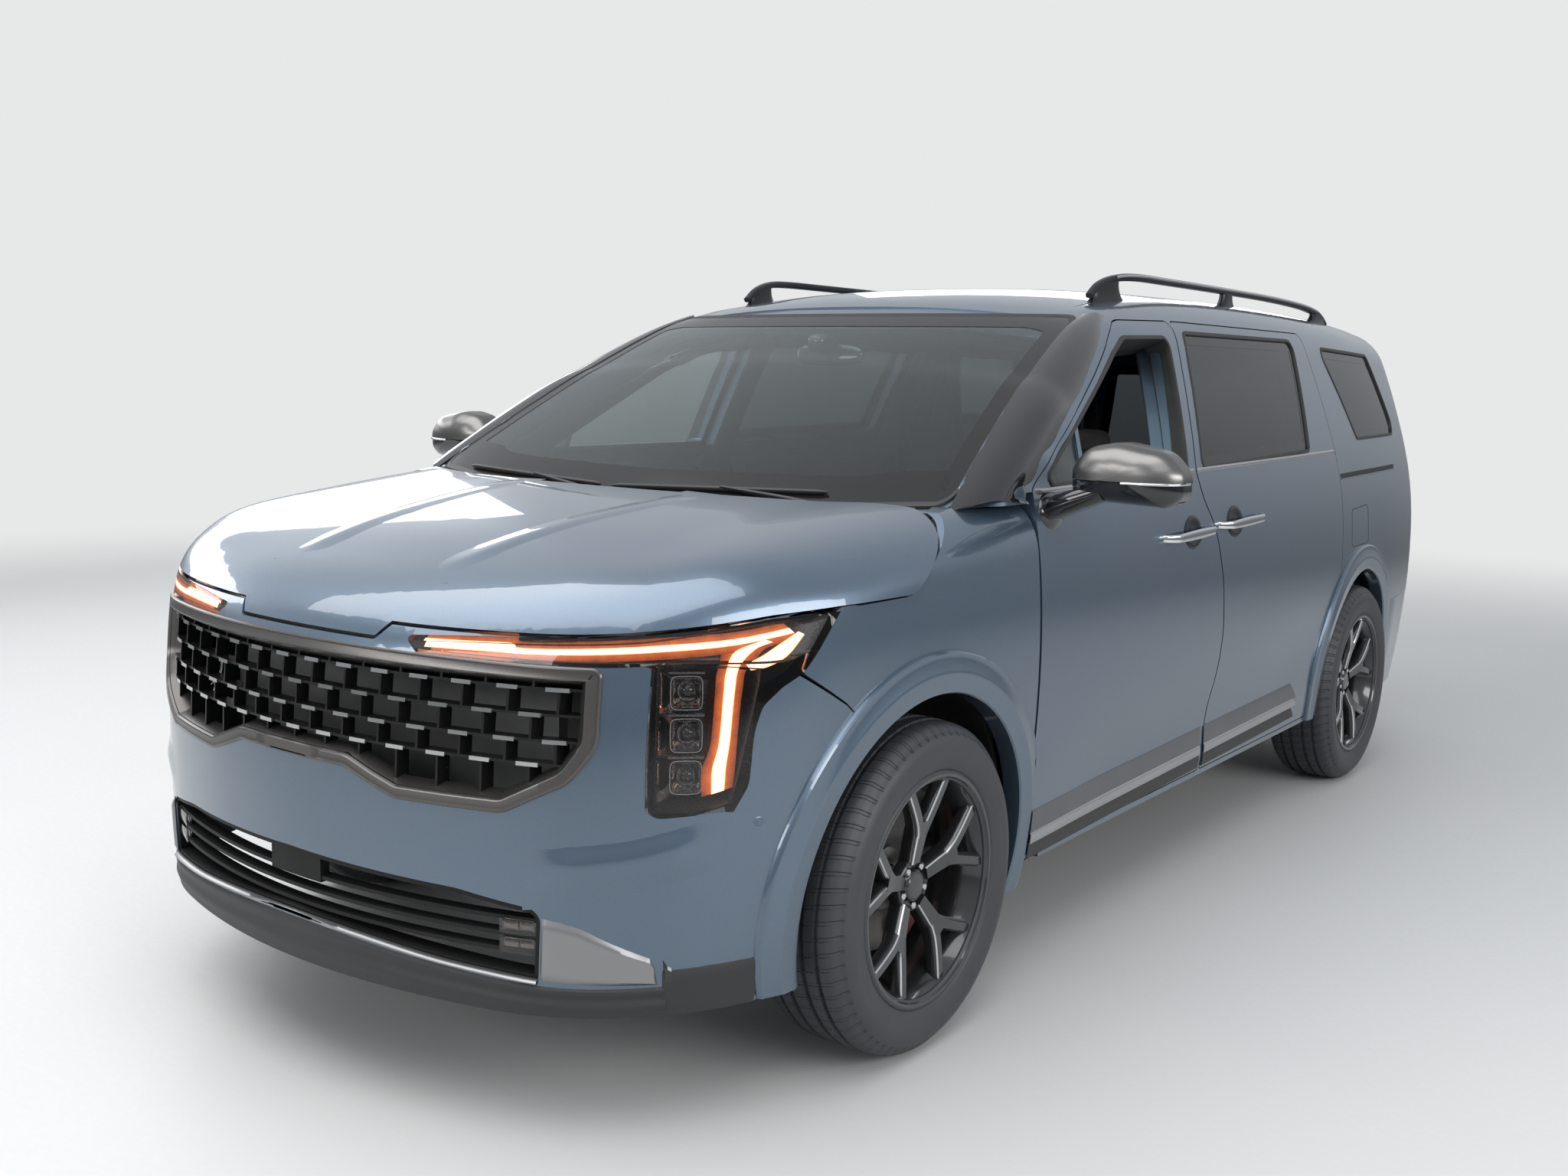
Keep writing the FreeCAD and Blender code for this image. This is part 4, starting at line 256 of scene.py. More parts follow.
def corner(a, b, radius, power):
    """Blend of two signed gaps that meet along a rounded edge: the power mean of both plus the radius."""
    p, q = np.maximum(a + radius, 1e-9), np.maximum(b + radius, 1e-9)
    blend = (p ** power + q ** power) ** (1 / power) - radius
    return np.where((a + radius <= 0) | (b + radius <= 0), np.maximum(a, b), blend)


def front_gap(p):
    """Signed gap to the front end: body side, nose and hood surfaces, blended at their edges."""
    x, y, z = np.abs(p[..., 0]), p[..., 1], p[..., 2]
    nose = FRONT_Y + flow(NOSE_LINE, 0, 1.100, z) + .30 * x ** 2
    hood = ROOF_TOP * flow(HOOD_LINE, FRONT_Y, COWL_Y, y) - .024 * (x / HALF_WIDTH) ** 2.2
    return corner(corner(x - side_x(y, z), nose - y, .330, 2.4), z - hood, .110, 2.2)


def cabin_gap(p):
    """Signed gap to the cabin and tail: body side, roof, tail and screen surfaces, blended at their edges."""
    x, y, z = np.abs(p[..., 0]), p[..., 1], p[..., 2]
    roof = ROOF_TOP * flow(ROOF_LINE, -.900, 2.500, y) - .062 * (x / .780) ** 2.4
    tail = REAR_Y - flow(TAIL_LINE, .150, ROOF_TOP, z) - .10 * x ** 2
    t = (z - 1.150) / .510
    screen = -.640 - (1.660 - z) / .53 - .120 * t * (1 - t) + .110 * (x / .850) ** 2
    g = corner(corner(x - side_x(y, z), z - roof, .095, 2.2), y - tail, .190, 2.3)
    return corner(g, screen - y, .060, 2.3)


def unit(v):
    """Vectors scaled to length one."""
    return v / np.maximum(np.linalg.norm(v, axis=-1, keepdims=True), 1e-12)


HALVINGS = 26


def land(gap, points, way, reach=.45):
    """Moves each point along its way onto the body surface, by halving the stretch in which the gap changes sign."""
    way = unit(np.broadcast_to(np.asarray(way, float), points.shape))
    low = np.full(points.shape[:-1], -reach)
    high = -low
    for _ in range(HALVINGS):
        middle = (low + high) / 2
        inside = gap(points + way * middle[..., None]) < 0
        low, high = np.where(inside, middle, low), np.where(inside, high, middle)
    return points + way * low[..., None]


def outward(gap, points, step=.003):
    """Unit normal of the body surface: the gradient of the gap by central differences."""
    rise = [gap(points + step * axis) - gap(points - step * axis) for axis in np.eye(3)]
    return unit(np.stack(rise, -1))


def nose_way(points):
    """Level way out of the nose: straight ahead near the middle, fanning outward beyond 0.45 m."""
    x = points[..., 0]
    post = np.sign(x) * np.minimum(np.abs(x), .45)
    return np.stack([x - post, points[..., 1] + 1.9, 0 * x], -1)


def grid(points, around=False, across=False):
    """Quads over a (rows, columns, 3) grid; around joins the last row to the first, across the last column."""
    rows, cols = points.shape[:2]
    i = np.arange(rows if around else rows - 1)[:, None]
    j = np.arange(cols if across else cols - 1)[None, :]
    k, m = (i + 1) % rows, (j + 1) % cols
    return points.reshape(-1, 3), np.stack([i * cols + j, k * cols + j, k * cols + m, i * cols + m], -1).reshape(-1, 4)


def plate(outer, inner, around=False):
    """Closed sheet between two grids of points: both faces and the rims that join them."""
    rows, cols = outer.shape[:2]
    count = rows * cols
    face = grid(outer, around)[1]
    k = np.arange(count).reshape(rows, cols)
    if around:
        k = np.concatenate([k, k[:1]])
    rims = [k[:, 0], k[::-1, -1]] + ([] if around else [k[0, ::-1], k[-1]])
    strips = [np.stack([r[:-1], r[1:], r[1:] + count, r[:-1] + count], -1) for r in rims]
    return np.concatenate([outer.reshape(-1, 3),
                           inner.reshape(-1, 3)]), np.concatenate([face, face[:, ::-1] + count] + strips)


def along(points, count, smooth=True):
    """Even points on a curve through a few given ones: Catmull-Rom (or straight runs), then equal arc lengths."""
    p = np.asarray(points, float)
    if smooth and len(p) > 2:
        q = np.concatenate([[2 * p[0] - p[1]], p, [2 * p[-1] - p[-2]]])
        f = np.linspace(0, 1, 24, endpoint=False)[:, None]
        runs = [.5 * (2 * q[i + 1] + (q[i + 2] - q[i]) * f
                      + (2 * q[i] - 5 * q[i + 1] + 4 * q[i + 2] - q[i + 3]) * f ** 2
                      + (3 * q[i + 1] - q[i] - 3 * q[i + 2] + q[i + 3]) * f ** 3) for i in range(len(p) - 1)]
        p = np.concatenate(runs + [p[-1:]])
    s = np.concatenate([[0], np.cumsum(np.linalg.norm(np.diff(p, axis=0), axis=1))])
    at = np.linspace(0, s[-1], count)
    return np.stack([np.interp(at, s, p[:, k]) for k in range(p.shape[1])], -1)


def between(first, second, count):
    """Ruled grid: straight lines from each point of one curve to its fellow on another."""
    t = np.linspace(0, 1, count)[None, :, None]
    return first[:, None] * (1 - t) + second[:, None] * t


def skin(gap, points, way, lift, thick):
    """Sheet that follows the body: the grid landed on the surface, lifted by a height and backed by a thickness."""
    base = land(gap, points, way)
    normal = outward(gap, base)
    lift = np.broadcast_to(np.asarray(lift, float), base.shape[:-1])[..., None]
    return plate(base + normal * lift, base + normal * (lift - thick))


def mirrored(part):
    """The part on the vehicle's other side, its faces turned to match."""
    points, faces = part[:2]
    return (points * [-1, 1, 1], faces[:, ::-1]) + tuple(part[2:])


def both(parts):
    """The parts together with their mirror images."""
    return parts + [mirrored(p) for p in parts]


def circle(count):
    """Even angles round a full turn, the last one left out because it is the first."""
    return np.linspace(0, 2 * math.pi, count + 1)[:-1]


def shaped(v, share):
    """Signed power: the size is raised and the sign kept, which squares off a circle's outline."""
    return np.sign(v) * np.abs(v) ** share


def piece(name, parts, materials, body, crease=35, bevel=0, subdivide=0):
    """One object from (points, faces[, material number]) parts: doubles merged, faces turned outward, creases kept."""
    materials = materials if isinstance(materials, (list, tuple)) else [materials]
    start, points, faces, numbers = 0, [], [], []
    for part in parts:
        points.append(part[0])
        faces.append(part[1] + start)
        numbers.append(np.full(len(part[1]), part[2] if len(part) > 2 else 0))
        start += len(part[0])
    mesh = bpy.data.meshes.new(name)
    mesh.from_pydata(np.concatenate(points).tolist(), [], [f for block in faces for f in block.tolist()])
    mesh.polygons.foreach_set("material_index", np.concatenate(numbers).astype(np.int32))
    for material in materials:
        mesh.materials.append(material)
    work = bmesh.new()
    work.from_mesh(mesh)
    bmesh.ops.remove_doubles(work, verts=work.verts, dist=2e-5)
    bmesh.ops.dissolve_degenerate(work, edges=work.edges, dist=1e-6)
    bmesh.ops.recalc_face_normals(work, faces=work.faces)
    work.to_mesh(mesh)
    work.free()
    mesh.polygons.foreach_set("use_smooth", np.ones(len(mesh.polygons), bool))
    mesh.set_sharp_from_angle(angle=math.radians(crease))
    item = bpy.data.objects.new(name, mesh)
    scene.collection.objects.link(item)
    if bevel:
        edge = item.modifiers.new("edge", "BEVEL")
        edge.width, edge.segments, edge.limit_method, edge.angle_limit = bevel, 2, "ANGLE", math.radians(crease)
    if subdivide:
        sub = item.modifiers.new("smooth", "SUBSURF")
        sub.levels = sub.render_levels = subdivide
    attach(item, body)
    return item


def paint_material():
    """Metallic coat: cell-sized flakes jitter the base's colour and sheen under a clear lacquer."""
    material = finish("body_paint", (.082, .122, .172), (.094, .136, .188), (.30, .36), patch=.7, grain=1800,
                      Metallic=.72, Coat_Weight=1.0, Coat_Roughness=.025, Coat_IOR=1.55)
    tree = material.node_tree
    shader = tree.nodes["Principled BSDF"]
    tone = next(n for n in tree.nodes if n.type == "GROUP")
    add, wire = kit(tree)
    place, flakes, mix, peel, relief = add("TexCoord", "TexVoronoi", "Mix", "TexNoise", "Bump")
    mix.data_type, mix.blend_type = "RGBA", "SOFT_LIGHT"
    mix.inputs[0].default_value = .30
    put(flakes, Scale=2600.0)
    put(peel, Scale=260.0)
    put(relief, Strength=.010, Distance=.001)
    wire(place.outputs["Object"], flakes.inputs["Vector"])
    wire(place.outputs["Object"], peel.inputs["Vector"])
    wire(peel.outputs["Fac"], relief.inputs["Height"])
    wire(relief.outputs["Normal"], shader.inputs["Normal"])
    wire(tone.outputs["Colour"], mix.inputs[6])
    wire(flakes.outputs["Color"], mix.inputs[7])
    wire(mix.outputs[2], shader.inputs["Base Color"])
    return material


PAINT = paint_material()


def dress(material, *names):
    """Gives the named solids one material in place of their own."""
    for name in names:
        nodes[name].data.materials.clear()
        nodes[name].data.materials.append(material)


dress(PAINT, "body_shell", "roof_panel", "hood", "door_front_left", "door_front_right", "sliding_door_left",
      "sliding_door_right",
      "fender_left", "fender_right", "front_bumper", "rear_bumper", "liftgate", "arch_flares")

# Wheel arch flares: broad moulded rings in body colour, clipped over each arch.
# An outer ridge stands off the panel, a second fold runs inside it, and the lip turns in over the tyre.
ARCH_Z = .390
FLARE_STEPS = ((.5070, -.004), (.5065, .003), (.5045, .0085), (.5005, .0115), (.4940, .0105), (.4850, .0115),
               (.4650, .0150), (.4600, .0165), (.4540, .0160), (.4400, .0135), (.4250, .0125), (.4150, .0110),
               (.4120, .0070), (.4110, -.002), (.4110, -.036))


def flare(gap, axle, start, end, y_low, y_high, z_low):
    """Ring of body surface: radius and lift from the profile at each angle, clamped at the seams, with a wall."""
    turn = np.radians(np.linspace(start, end, 97))[:, None]
    radius, lift = np.array(FLARE_STEPS).T
    y = np.clip(axle + radius * np.cos(turn), y_low, y_high)
    z = np.maximum(ARCH_Z + radius * np.sin(turn), z_low)
    seat = np.stack([np.full(y.shape, .9), y, z], -1)
    base = land(gap, seat, SIDEWAYS)
    base[..., 0] += lift
    back = base - np.array([.010, 0, 0])
    centre = np.array([0, axle, ARCH_Z])
    back[:, -4:] = base[:, -4:] + unit((base[:, -4:] - centre) * [0, 1, 1]) * .006
    return plate(base, back)


front_flare = flare(front_gap, AXLE_F, -19, 199, -9, -1.1885, .252)
rear_flare = flare(cabin_gap, AXLE_R, -13, 191, -9, 9, .302)
arch_flares = piece("arch_rings", both([front_flare, rear_flare]), PAINT, "body", crease=28)
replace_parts(arch_flares, "arch_flares")

# Glazing: laminated windscreen with a green cast, tinted door panes and darker privacy glass behind the doors.
# Every pane has a printed black border, and the front left window is wound down.


def glass(name, colour, second, rough=.0, clear=.9):
    """Tinted glass: full transmission, and shadow rays pass so that the cabin is lit."""
    material = finish(name, colour, second, (rough, rough + .02), patch=1.5, grain=30, Transmission_Weight=1.0,
                      IOR=1.45)
    tree = material.node_tree
    add, wire = kit(tree)
    path, pass_on = add("LightPath", "Math")
    pass_on.operation = "MULTIPLY_ADD"
    pass_on.inputs[1].default_value, pass_on.inputs[2].default_value = -clear, 1.0
    wire(path.outputs["Is Shadow Ray"], pass_on.inputs[0])
    wire(pass_on.outputs[0], tree.nodes["Principled BSDF"].inputs["Alpha"])
    return material


CLEAR_GLASS = glass("laminated_glass", (.60, .68, .66), (.64, .71, .69))
DOOR_GLASS = glass("door_glass", (.62, .68, .67), (.66, .71, .70))
PRIVACY_GLASS = glass("privacy_glass", (.11, .12, .13), (.13, .14, .15), clear=.5)
dress(DOOR_GLASS, "door_glass_left", "door_glass_right")

GLOSS_BLACK = finish("gloss_black", (.006, .006, .007), (.009, .009, .010), (.06, .11), patch=4, grain=500,
                     Coat_Weight=.6, Coat_Roughness=.03)
PRINT_BLACK = finish("printed_border", (.006, .006, .006), (.010, .010, .010), (.10, .16), patch=8, grain=900)
SEAL_RUBBER = finish("seal_rubber", (.012, .012, .012), (.018, .018, .018), (.42, .6), patch=12, grain=700, bump=.25)
TEXTURED_BLACK = finish("grained_black", (.016, .016, .017), (.022, .022, .023), (.42, .58), patch=5, grain=1100,
                        bump=.35)


def loop(corners, count):
    """Closed run of straight lines and arcs through (a, b, radius) corners, as evenly spaced points."""
    runs, total = [], len(corners)
    for i in range(total):
        before, (a, b, r), after = corners[i - 1], corners[i], corners[(i + 1) % total]
        p = np.array([a, b])
        u, w = np.array(before[:2]) - p, np.array(after[:2]) - p
        long_u, long_w = np.linalg.norm(u), np.linalg.norm(w)
        u, w = u / long_u, w / long_w
        turn = math.acos(float(np.clip(u @ w, -1, 1)))
        if r <= 0 or turn > math.pi * .995:
            runs.append(p[None])
            continue
        reach = min(r / math.tan(turn / 2), .45 * long_u, .45 * long_w)
        radius = reach * math.tan(turn / 2)
        middle = p + unit(u + w) * radius / math.sin(turn / 2)
        t = np.linspace(0, 1, 9)[:, None]
        runs.append(middle + unit((p + u * reach - middle) * (1 - t) + (p + w * reach - middle) * t) * radius)
    p = np.concatenate(runs)
    return along(np.concatenate([p, p[:1]]), count + 1, smooth=False)[:-1]


def grown(points, by):
    """Closed loop moved outward by a distance along its normals, worked out from the neighbours of each point."""
    tangent = unit(np.roll(points, -1, 0) - np.roll(points, 1, 0))
    turn = np.sum(points * np.roll(points, -1, 0)[:, ::-1] * [1, -1])
    return points + np.stack([tangent[:, 1], -tangent[:, 0]], -1) * by * (1 if turn > 0 else -1)


def band(gap, outline, steps, place, way, thick=.004, reach=.45):
    """Ring that follows the body: each (inset, lift) step of the profile is the outline moved in and landed."""
    rows = [land(gap, place(grown(outline, -inset)), way, reach) for inset, _ in steps]
    base = np.stack(rows, 1)
    normal = outward(gap, base)
    lift = np.array([h for _, h in steps])[None, :, None]
    return plate(base + normal * lift, base + normal * (lift - thick), around=True)


def side_place(points):
    """(y, z) points as seats inside the left side, to be landed outward."""
    return np.stack([np.full(len(points), .8), points[:, 0], points[:, 1]], -1)


def front_place(points):
    """(x, z) points as seats inside the nose, to be landed forward."""
    return np.stack([points[:, 0], np.full(len(points), -2.3), points[:, 1]], -1)


def metres(shares, across=LENGTH):
    """Corners given as shares of the length or half width, the roof's height and the length, in metres."""
    return [(a * across, b * ROOF_TOP, r * LENGTH) for a, b, r in shares]


SCREEN_EDGE = metres(((-.8711, .6689, .0058), (-.5076, .6566, .0776), (0, .6521, .1746), (.5076, .6566, .0776),
                      (.8711, .6689, .0058), (.7228, .9255, .0116), (-.7228, .9255, .0116)), HALF_WIDTH)
DOOR_WINDOW = metres(((-.2169, .688, .0027), (-.1048, .8683, .0136), (-.0854, .893, .0175), (-.0287, .8986, .0047),
                      (-.045, .6913, .0031)))
SLIDER_WINDOW = metres(((-.0217, .6924, .0035), (-.0023, .9087, .0047), (.1866, .912, .0058), (.1668, .7081, .0039)))
QUARTER_WINDOW = metres(((.2844, .7238, .0047), (.244, .9031, .0047), (.3715, .8964, .0058), (.4058, .7283, .0078)))
GATE_WINDOW = metres(((-.6497, .6331, .0116), (.6497, .6331, .0116), (.5685, .8739, .0116), (-.5685, .8739, .0116)),
                     HALF_WIDTH)


def screen_place(points):
    """Front view points of the screen, started on its slope so that they land where they are seen."""
    x, z = points[:, 0], points[:, 1]
    y = -.640 - (1.660 - z) / .53 + .110 * (x / .850) ** 2
    return np.stack([x, y, z], -1)


def same(part):
    """The part as it is, for the left side."""
    return part


def door_pair(name, part, material):
    """The same piece on each front door, mirrored for the right one."""
    for side, flip in (("left", same), ("right", mirrored)):
        piece(name + "_" + side, [flip(part)], material, "door_" + side)


def side_band(edge, steps, thick, count=240):
    """Ring on the body's side round an opening."""
    return band(cabin_gap, loop(edge, count), steps, side_place, SIDEWAYS, thick)


screen_loop = loop(SCREEN_EDGE, 360)
SCREEN_REACH = .3
SCREEN_SEAL = ((-.0075, -.003), (-.006, .0012), (-.001, .0022), (.003, .0014), (.004, -.001))
border_width = .034 + .030 * ease((1.26 - screen_loop[:, 1]) / .10) + .012 * ease((np.abs(screen_loop[:, 0]) - .6) / .1)
inward = grown(screen_loop, -1) - screen_loop
rows = [land(cabin_gap, screen_place(screen_loop + inward * (border_width * s)[:, None]), FORWARD, SCREEN_REACH)
        for s in np.linspace(.02, 1, 6)]
border = np.stack(rows, 1)
sink = outward(cabin_gap, border)
piece("windshield_border", [plate(border + sink * .0006, border - sink * .0002, around=True)], PRINT_BLACK, "body")
piece("windshield_seal", [band(cabin_gap, screen_loop, SCREEN_SEAL, screen_place, FORWARD, .003, SCREEN_REACH)],
      SEAL_RUBBER, "body")


def sheet(gap, outline, place, way, lift, thick=.0045, reach=.45):
    """Glass pane on the body: rings shrunk from the outline to its middle, landed, set at a depth and backed."""
    middle = outline.mean(0)
    rows = [land(gap, place(middle + (outline - middle) * s), way, reach) for s in np.linspace(1, 0, 22) ** .9]
    base = np.stack(rows, 1)
    normal = outward(gap, base)
    return plate(base + normal * lift, base + normal * (lift - thick), around=True)


INSET = -.0006
screen_pane = sheet(cabin_gap, grown(screen_loop, INSET), screen_place, FORWARD, -.0002, reach=SCREEN_REACH)
windshield = piece("windshield_pane", [screen_pane], CLEAR_GLASS, "body")
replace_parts(windshield, "windshield")
SIDE_WINDOWS = (SLIDER_WINDOW, QUARTER_WINDOW)
panes = [sheet(cabin_gap, grown(loop(edge, 240), INSET), side_place, SIDEWAYS, -.0052) for edge in SIDE_WINDOWS]
side_panes = piece("side_window_panes", both(panes), PRIVACY_GLASS, "body")
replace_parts(side_panes, "side_glass")

WINDOW_SEAL = ((-.010, -.004), (-.0095, .0016), (-.004, .0028), (.001, .0016), (.002, -.006), (.002, -.016))
door_seal = side_band(DOOR_WINDOW, WINDOW_SEAL + ((.0024, -.036), (.0026, -.058), (.0024, -.0625), (-.010, -.0640)),
                      .003)
door_pair("door_window_seal", door_seal, SEAL_RUBBER)
side_seals = both([side_band(edge, WINDOW_SEAL, .003) for edge in SIDE_WINDOWS])
piece("side_window_seals", side_seals, SEAL_RUBBER, "body")

PANE_BORDER = ((.0025, -.0046), (.010, -.0046), (.020, -.0046), (.030, -.0046))
side_borders = both([side_band(edge, PANE_BORDER, .0003) for edge in SIDE_WINDOWS])
piece("side_glass_borders", side_borders, PRINT_BLACK, "body")

# Headlamps: smoked lens over a black housing that wraps the corner, with stacked square projectors inside.
# A warm light guide runs along the top, turns down beside the projectors and ends in a bright outer wedge.
GUIDE_TOP = ((.338, -2.497, .9575), (.430, -2.478, .961), (.525, -2.452, .965), (.545, -2.446, .9575),
             (.660, -2.392, .9635), (.775, -2.326, .9715), (.864, -2.206, .980), (.9125, -2.096, .9945))
GUIDE_LOW = ((.330, -2.499, .941), (.430, -2.479, .944), (.530, -2.451, .9465), (.548, -2.446, .9465),
             (.660, -2.394, .9515), (.775, -2.328, .9585), (.864, -2.210, .9675), (.9165, -2.084, .9840))
BRANCH_OUT = ((.903, -2.132, .9700), (.888, -2.168, .9580), (.874, -2.198, .9270), (.871, -2.208, .880),
              (.869, -2.218, .786), (.867, -2.225, .740), (.866, -2.228, .693))
BRANCH_IN = ((.893, -2.148, .9760), (.868, -2.205, .9560), (.859, -2.221, .9200), (.857, -2.226, .880),
             (.856, -2.236, .786), (.848, -2.246, .735), (.849, -2.248, .687))
WEDGE_OUT = ((.9235, -2.060, .9790), (.9140, -2.100, .9420), (.8980, -2.140, .9240), (.8840, -2.176, .9190))
WEDGE_IN = ((.9200, -2.075, .9860), (.9080, -2.118, .9650), (.8930, -2.152, .9460), (.8800, -2.186, .9310))


def light_material(name, core, edge, strength):
    """Lit acrylic guide: white-warm along its middle, amber at its edges, by the cross-wise texture coordinate."""
    material = finish(name, core, edge, (.2, .3), patch=40, grain=300)
    tree = material.node_tree
    shader = tree.nodes["Principled BSDF"]
    add, wire = kit(tree)
    uv, split, ramp = add("UVMap", "SeparateXYZ", "ValToRGB")
    uv.uv_map = "across"
    ramp.color_ramp.elements[0].position, ramp.color_ramp.elements[0].color = .0, (*edge, 1)
    ramp.color_ramp.elements[1].position, ramp.color_ramp.elements[1].color = 1.0, (*edge, 1)
    for position in (.26, .74):
        ramp.color_ramp.elements.new(position).color = (*core, 1)
    wire(uv.outputs["UV"], split.inputs[0])
    wire(split.outputs["Y"], ramp.inputs["Fac"])
    wire(ramp.outputs["Color"], shader.inputs["Emission Color"])
    shader.inputs["Emission Strength"].default_value = strength
    return material


LIGHT_GUIDE = light_material("lit_guide", (1.0, .78, .60), (1.0, .28, .05), 2.6)
GUIDE_GLOW = light_material("guide_glow", (.55, .12, .025), (.02, .003, .0), .9)
LENS_SMOKE = glass("smoked_lens", (.50, .48, .47), (.54, .52, .50), clear=.9)
LAMP_BLACK = finish("lamp_housing", (.010, .009, .009), (.016, .014, .014), (.16, .3), patch=9, grain=250, bump=.05)
REFLECTOR = finish("aluminised_reflector", (.50, .48, .47), (.38, .37, .36), (.07, .16), patch=14, grain=120,
                   Metallic=1.0)
LAMP_GREY = finish("lamp_bezel", (.13, .12, .125), (.17, .16, .165), (.18, .3), patch=16, grain=200, Metallic=.7)


def lay_across(item, rows, cols):
    """Texture coordinate across a strip, from 0 on its first edge to 1 on its last, found from each corner's number."""
    layer = item.data.uv_layers.new(name="across")
    numbers = np.empty(len(item.data.loops), np.int64)
    item.data.loops.foreach_get("vertex_index", numbers)
    across = (numbers % (rows * cols) % cols) / (cols - 1)
    layer.data.foreach_set("uv", np.stack([across * 0, across], -1).ravel())


def lamp_strip(first, second, depth, widen=0.0, rows=90, cols=7):
    """Strip between two curves laid a depth under the lens, spread beyond both edges by a share of its width."""
    a, b = along(first, rows), along(second, rows)
    a, b = a + (a - b) * widen, b + (b - a) * widen
    points = between(a, b, cols)
    base = land(front_gap, points, nose_way(points))
    return base - outward(front_gap, base) * depth


def lit(name, grids, material, cols=7):
    """Open strips of equal size as one object, with the coordinate across them."""
    rows = grids[0].shape[0]
    mesh = bpy.data.meshes.new(name)
    parts = [grid(g) for g in grids]
    size = rows * cols
    mesh.from_pydata(np.concatenate([p for p, _ in parts]).tolist(), [],
                     np.concatenate([f + i * size for i, (_, f) in enumerate(parts)]).tolist())
    mesh.materials.append(material)
    item = bpy.data.objects.new(name, mesh)
    scene.collection.objects.link(item)
    lay_across(item, rows, cols)
    mesh.polygons.foreach_set("use_smooth", np.ones(len(mesh.polygons), bool))
    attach(item, "body")
    return item


guides = [lamp_strip(GUIDE_TOP, GUIDE_LOW, .006), lamp_strip(BRANCH_OUT, BRANCH_IN, .006),
          lamp_strip(WEDGE_OUT, WEDGE_IN, .007)]
glows = [lamp_strip(GUIDE_TOP, GUIDE_LOW, .0085, 1.1), lamp_strip(BRANCH_OUT, BRANCH_IN, .0095, .7)]
lit("headlamp_guides", guides + [g[:, ::-1] * [-1, 1, 1] for g in guides], LIGHT_GUIDE)
lit("headlamp_glow", glows + [g[:, ::-1] * [-1, 1, 1] for g in glows], GUIDE_GLOW)
dress(LENS_SMOKE, "headlamp_left", "headlamp_right")

LAMP_TOP = ((.310, -2.497, .950), (.430, -2.480, .958), (.600, -2.420, .968), (.744, -2.334, .978),
            (.818, -2.256, .992), (.890, -2.129, 1.008), (.928, -1.995, 1.012))
BAR_LOW = ((.310, -2.500, .936), (.430, -2.482, .936), (.600, -2.424, .936), (.772, -2.330, .938), (.830, -2.235, .935),
           (.900, -2.115, .930), (.926, -2.050, .945))
BLOCK_TOP = ((.778, -2.325, .936), (.815, -2.270, .935), (.850, -2.212, .930), (.885, -2.150, .922))
BLOCK_LOW = ((.782, -2.336, .656), (.812, -2.298, .655), (.842, -2.258, .658), (.872, -2.214, .668))


def lamp_pan(first, second, depth, thick, rows=60, cols=20):
    """Floor of the housing: a ruled patch pushed back under the lens, deepest in its middle."""
    points = between(along(first, rows), along(second, rows), cols)
    base = land(front_gap, points, nose_way(points))
    v = np.linspace(0, 1, cols)[None]
    u = np.linspace(0, 1, rows)[:, None]
    bowl = depth[0] + (depth[1] - depth[0]) * np.minimum(ease(8 * np.minimum(v, 1 - v)),
                                                         ease(10 * np.minimum(u, 1 - u)))
    normal = outward(front_gap, base)
    return plate(base - normal * bowl[..., None], base - normal * (bowl + thick)[..., None])


bar_pan = lamp_pan(LAMP_TOP, BAR_LOW, (.003, .012), .004)
block_pan = lamp_pan(BLOCK_TOP, BLOCK_LOW, (.003, .050), .003)
piece("headlamp_housings", both([bar_pan, block_pan]), LAMP_BLACK, "body")


def projector(x, y, z, wide, tall, deep, turn):
    """Square-mouthed reflector: a rounded square drawn in by the square root of its depth."""
    a = circle(40)
    c, s = np.cos(a), np.sin(a)
    square = np.stack([shaped(c, .35), shaped(s, .35)], -1)
    t = np.linspace(0, 1, 12)
    size = 1 - .62 * t[:, None, None] ** 2
    rim = square[None] * size * [wide / 2, tall / 2]
    out = np.array([math.sin(turn), -math.cos(turn), 0])
    side = np.array([math.cos(turn), math.sin(turn), 0])
    place = np.array([x, y, z]) - out * (t[:, None, None] * deep)
    bowl = place + rim[..., :1] * side + rim[..., 1:] * np.array([0, 0, 1])
    shell = bowl + unit(bowl - np.array([x, y, z])) * .002
    return plate(bowl.transpose(1, 0, 2), shell.transpose(1, 0, 2), around=True)


def bulb_lens(x, y, z, radius, turn):
    """Thick convex lens: a spherical cap, its radius shrinking by the cosine as it rises by the sine."""
    a = circle(32)[:, None]
    t = np.linspace(0, math.pi / 2, 9)[None, :]
    out = np.array([math.sin(turn), -math.cos(turn), 0])
    side = np.array([math.cos(turn), math.sin(turn), 0])
    rise, wide = np.sin(t) * radius * .6, np.cos(t) * radius
    cap = np.array([x, y, z]) + (wide * np.cos(a))[..., None] * side
    cap = cap + (wide * np.sin(a))[..., None] * np.array([0, 0, 1]) + (rise + 0 * a)[..., None] * out
    return plate(cap, cap - out * .004, around=True)


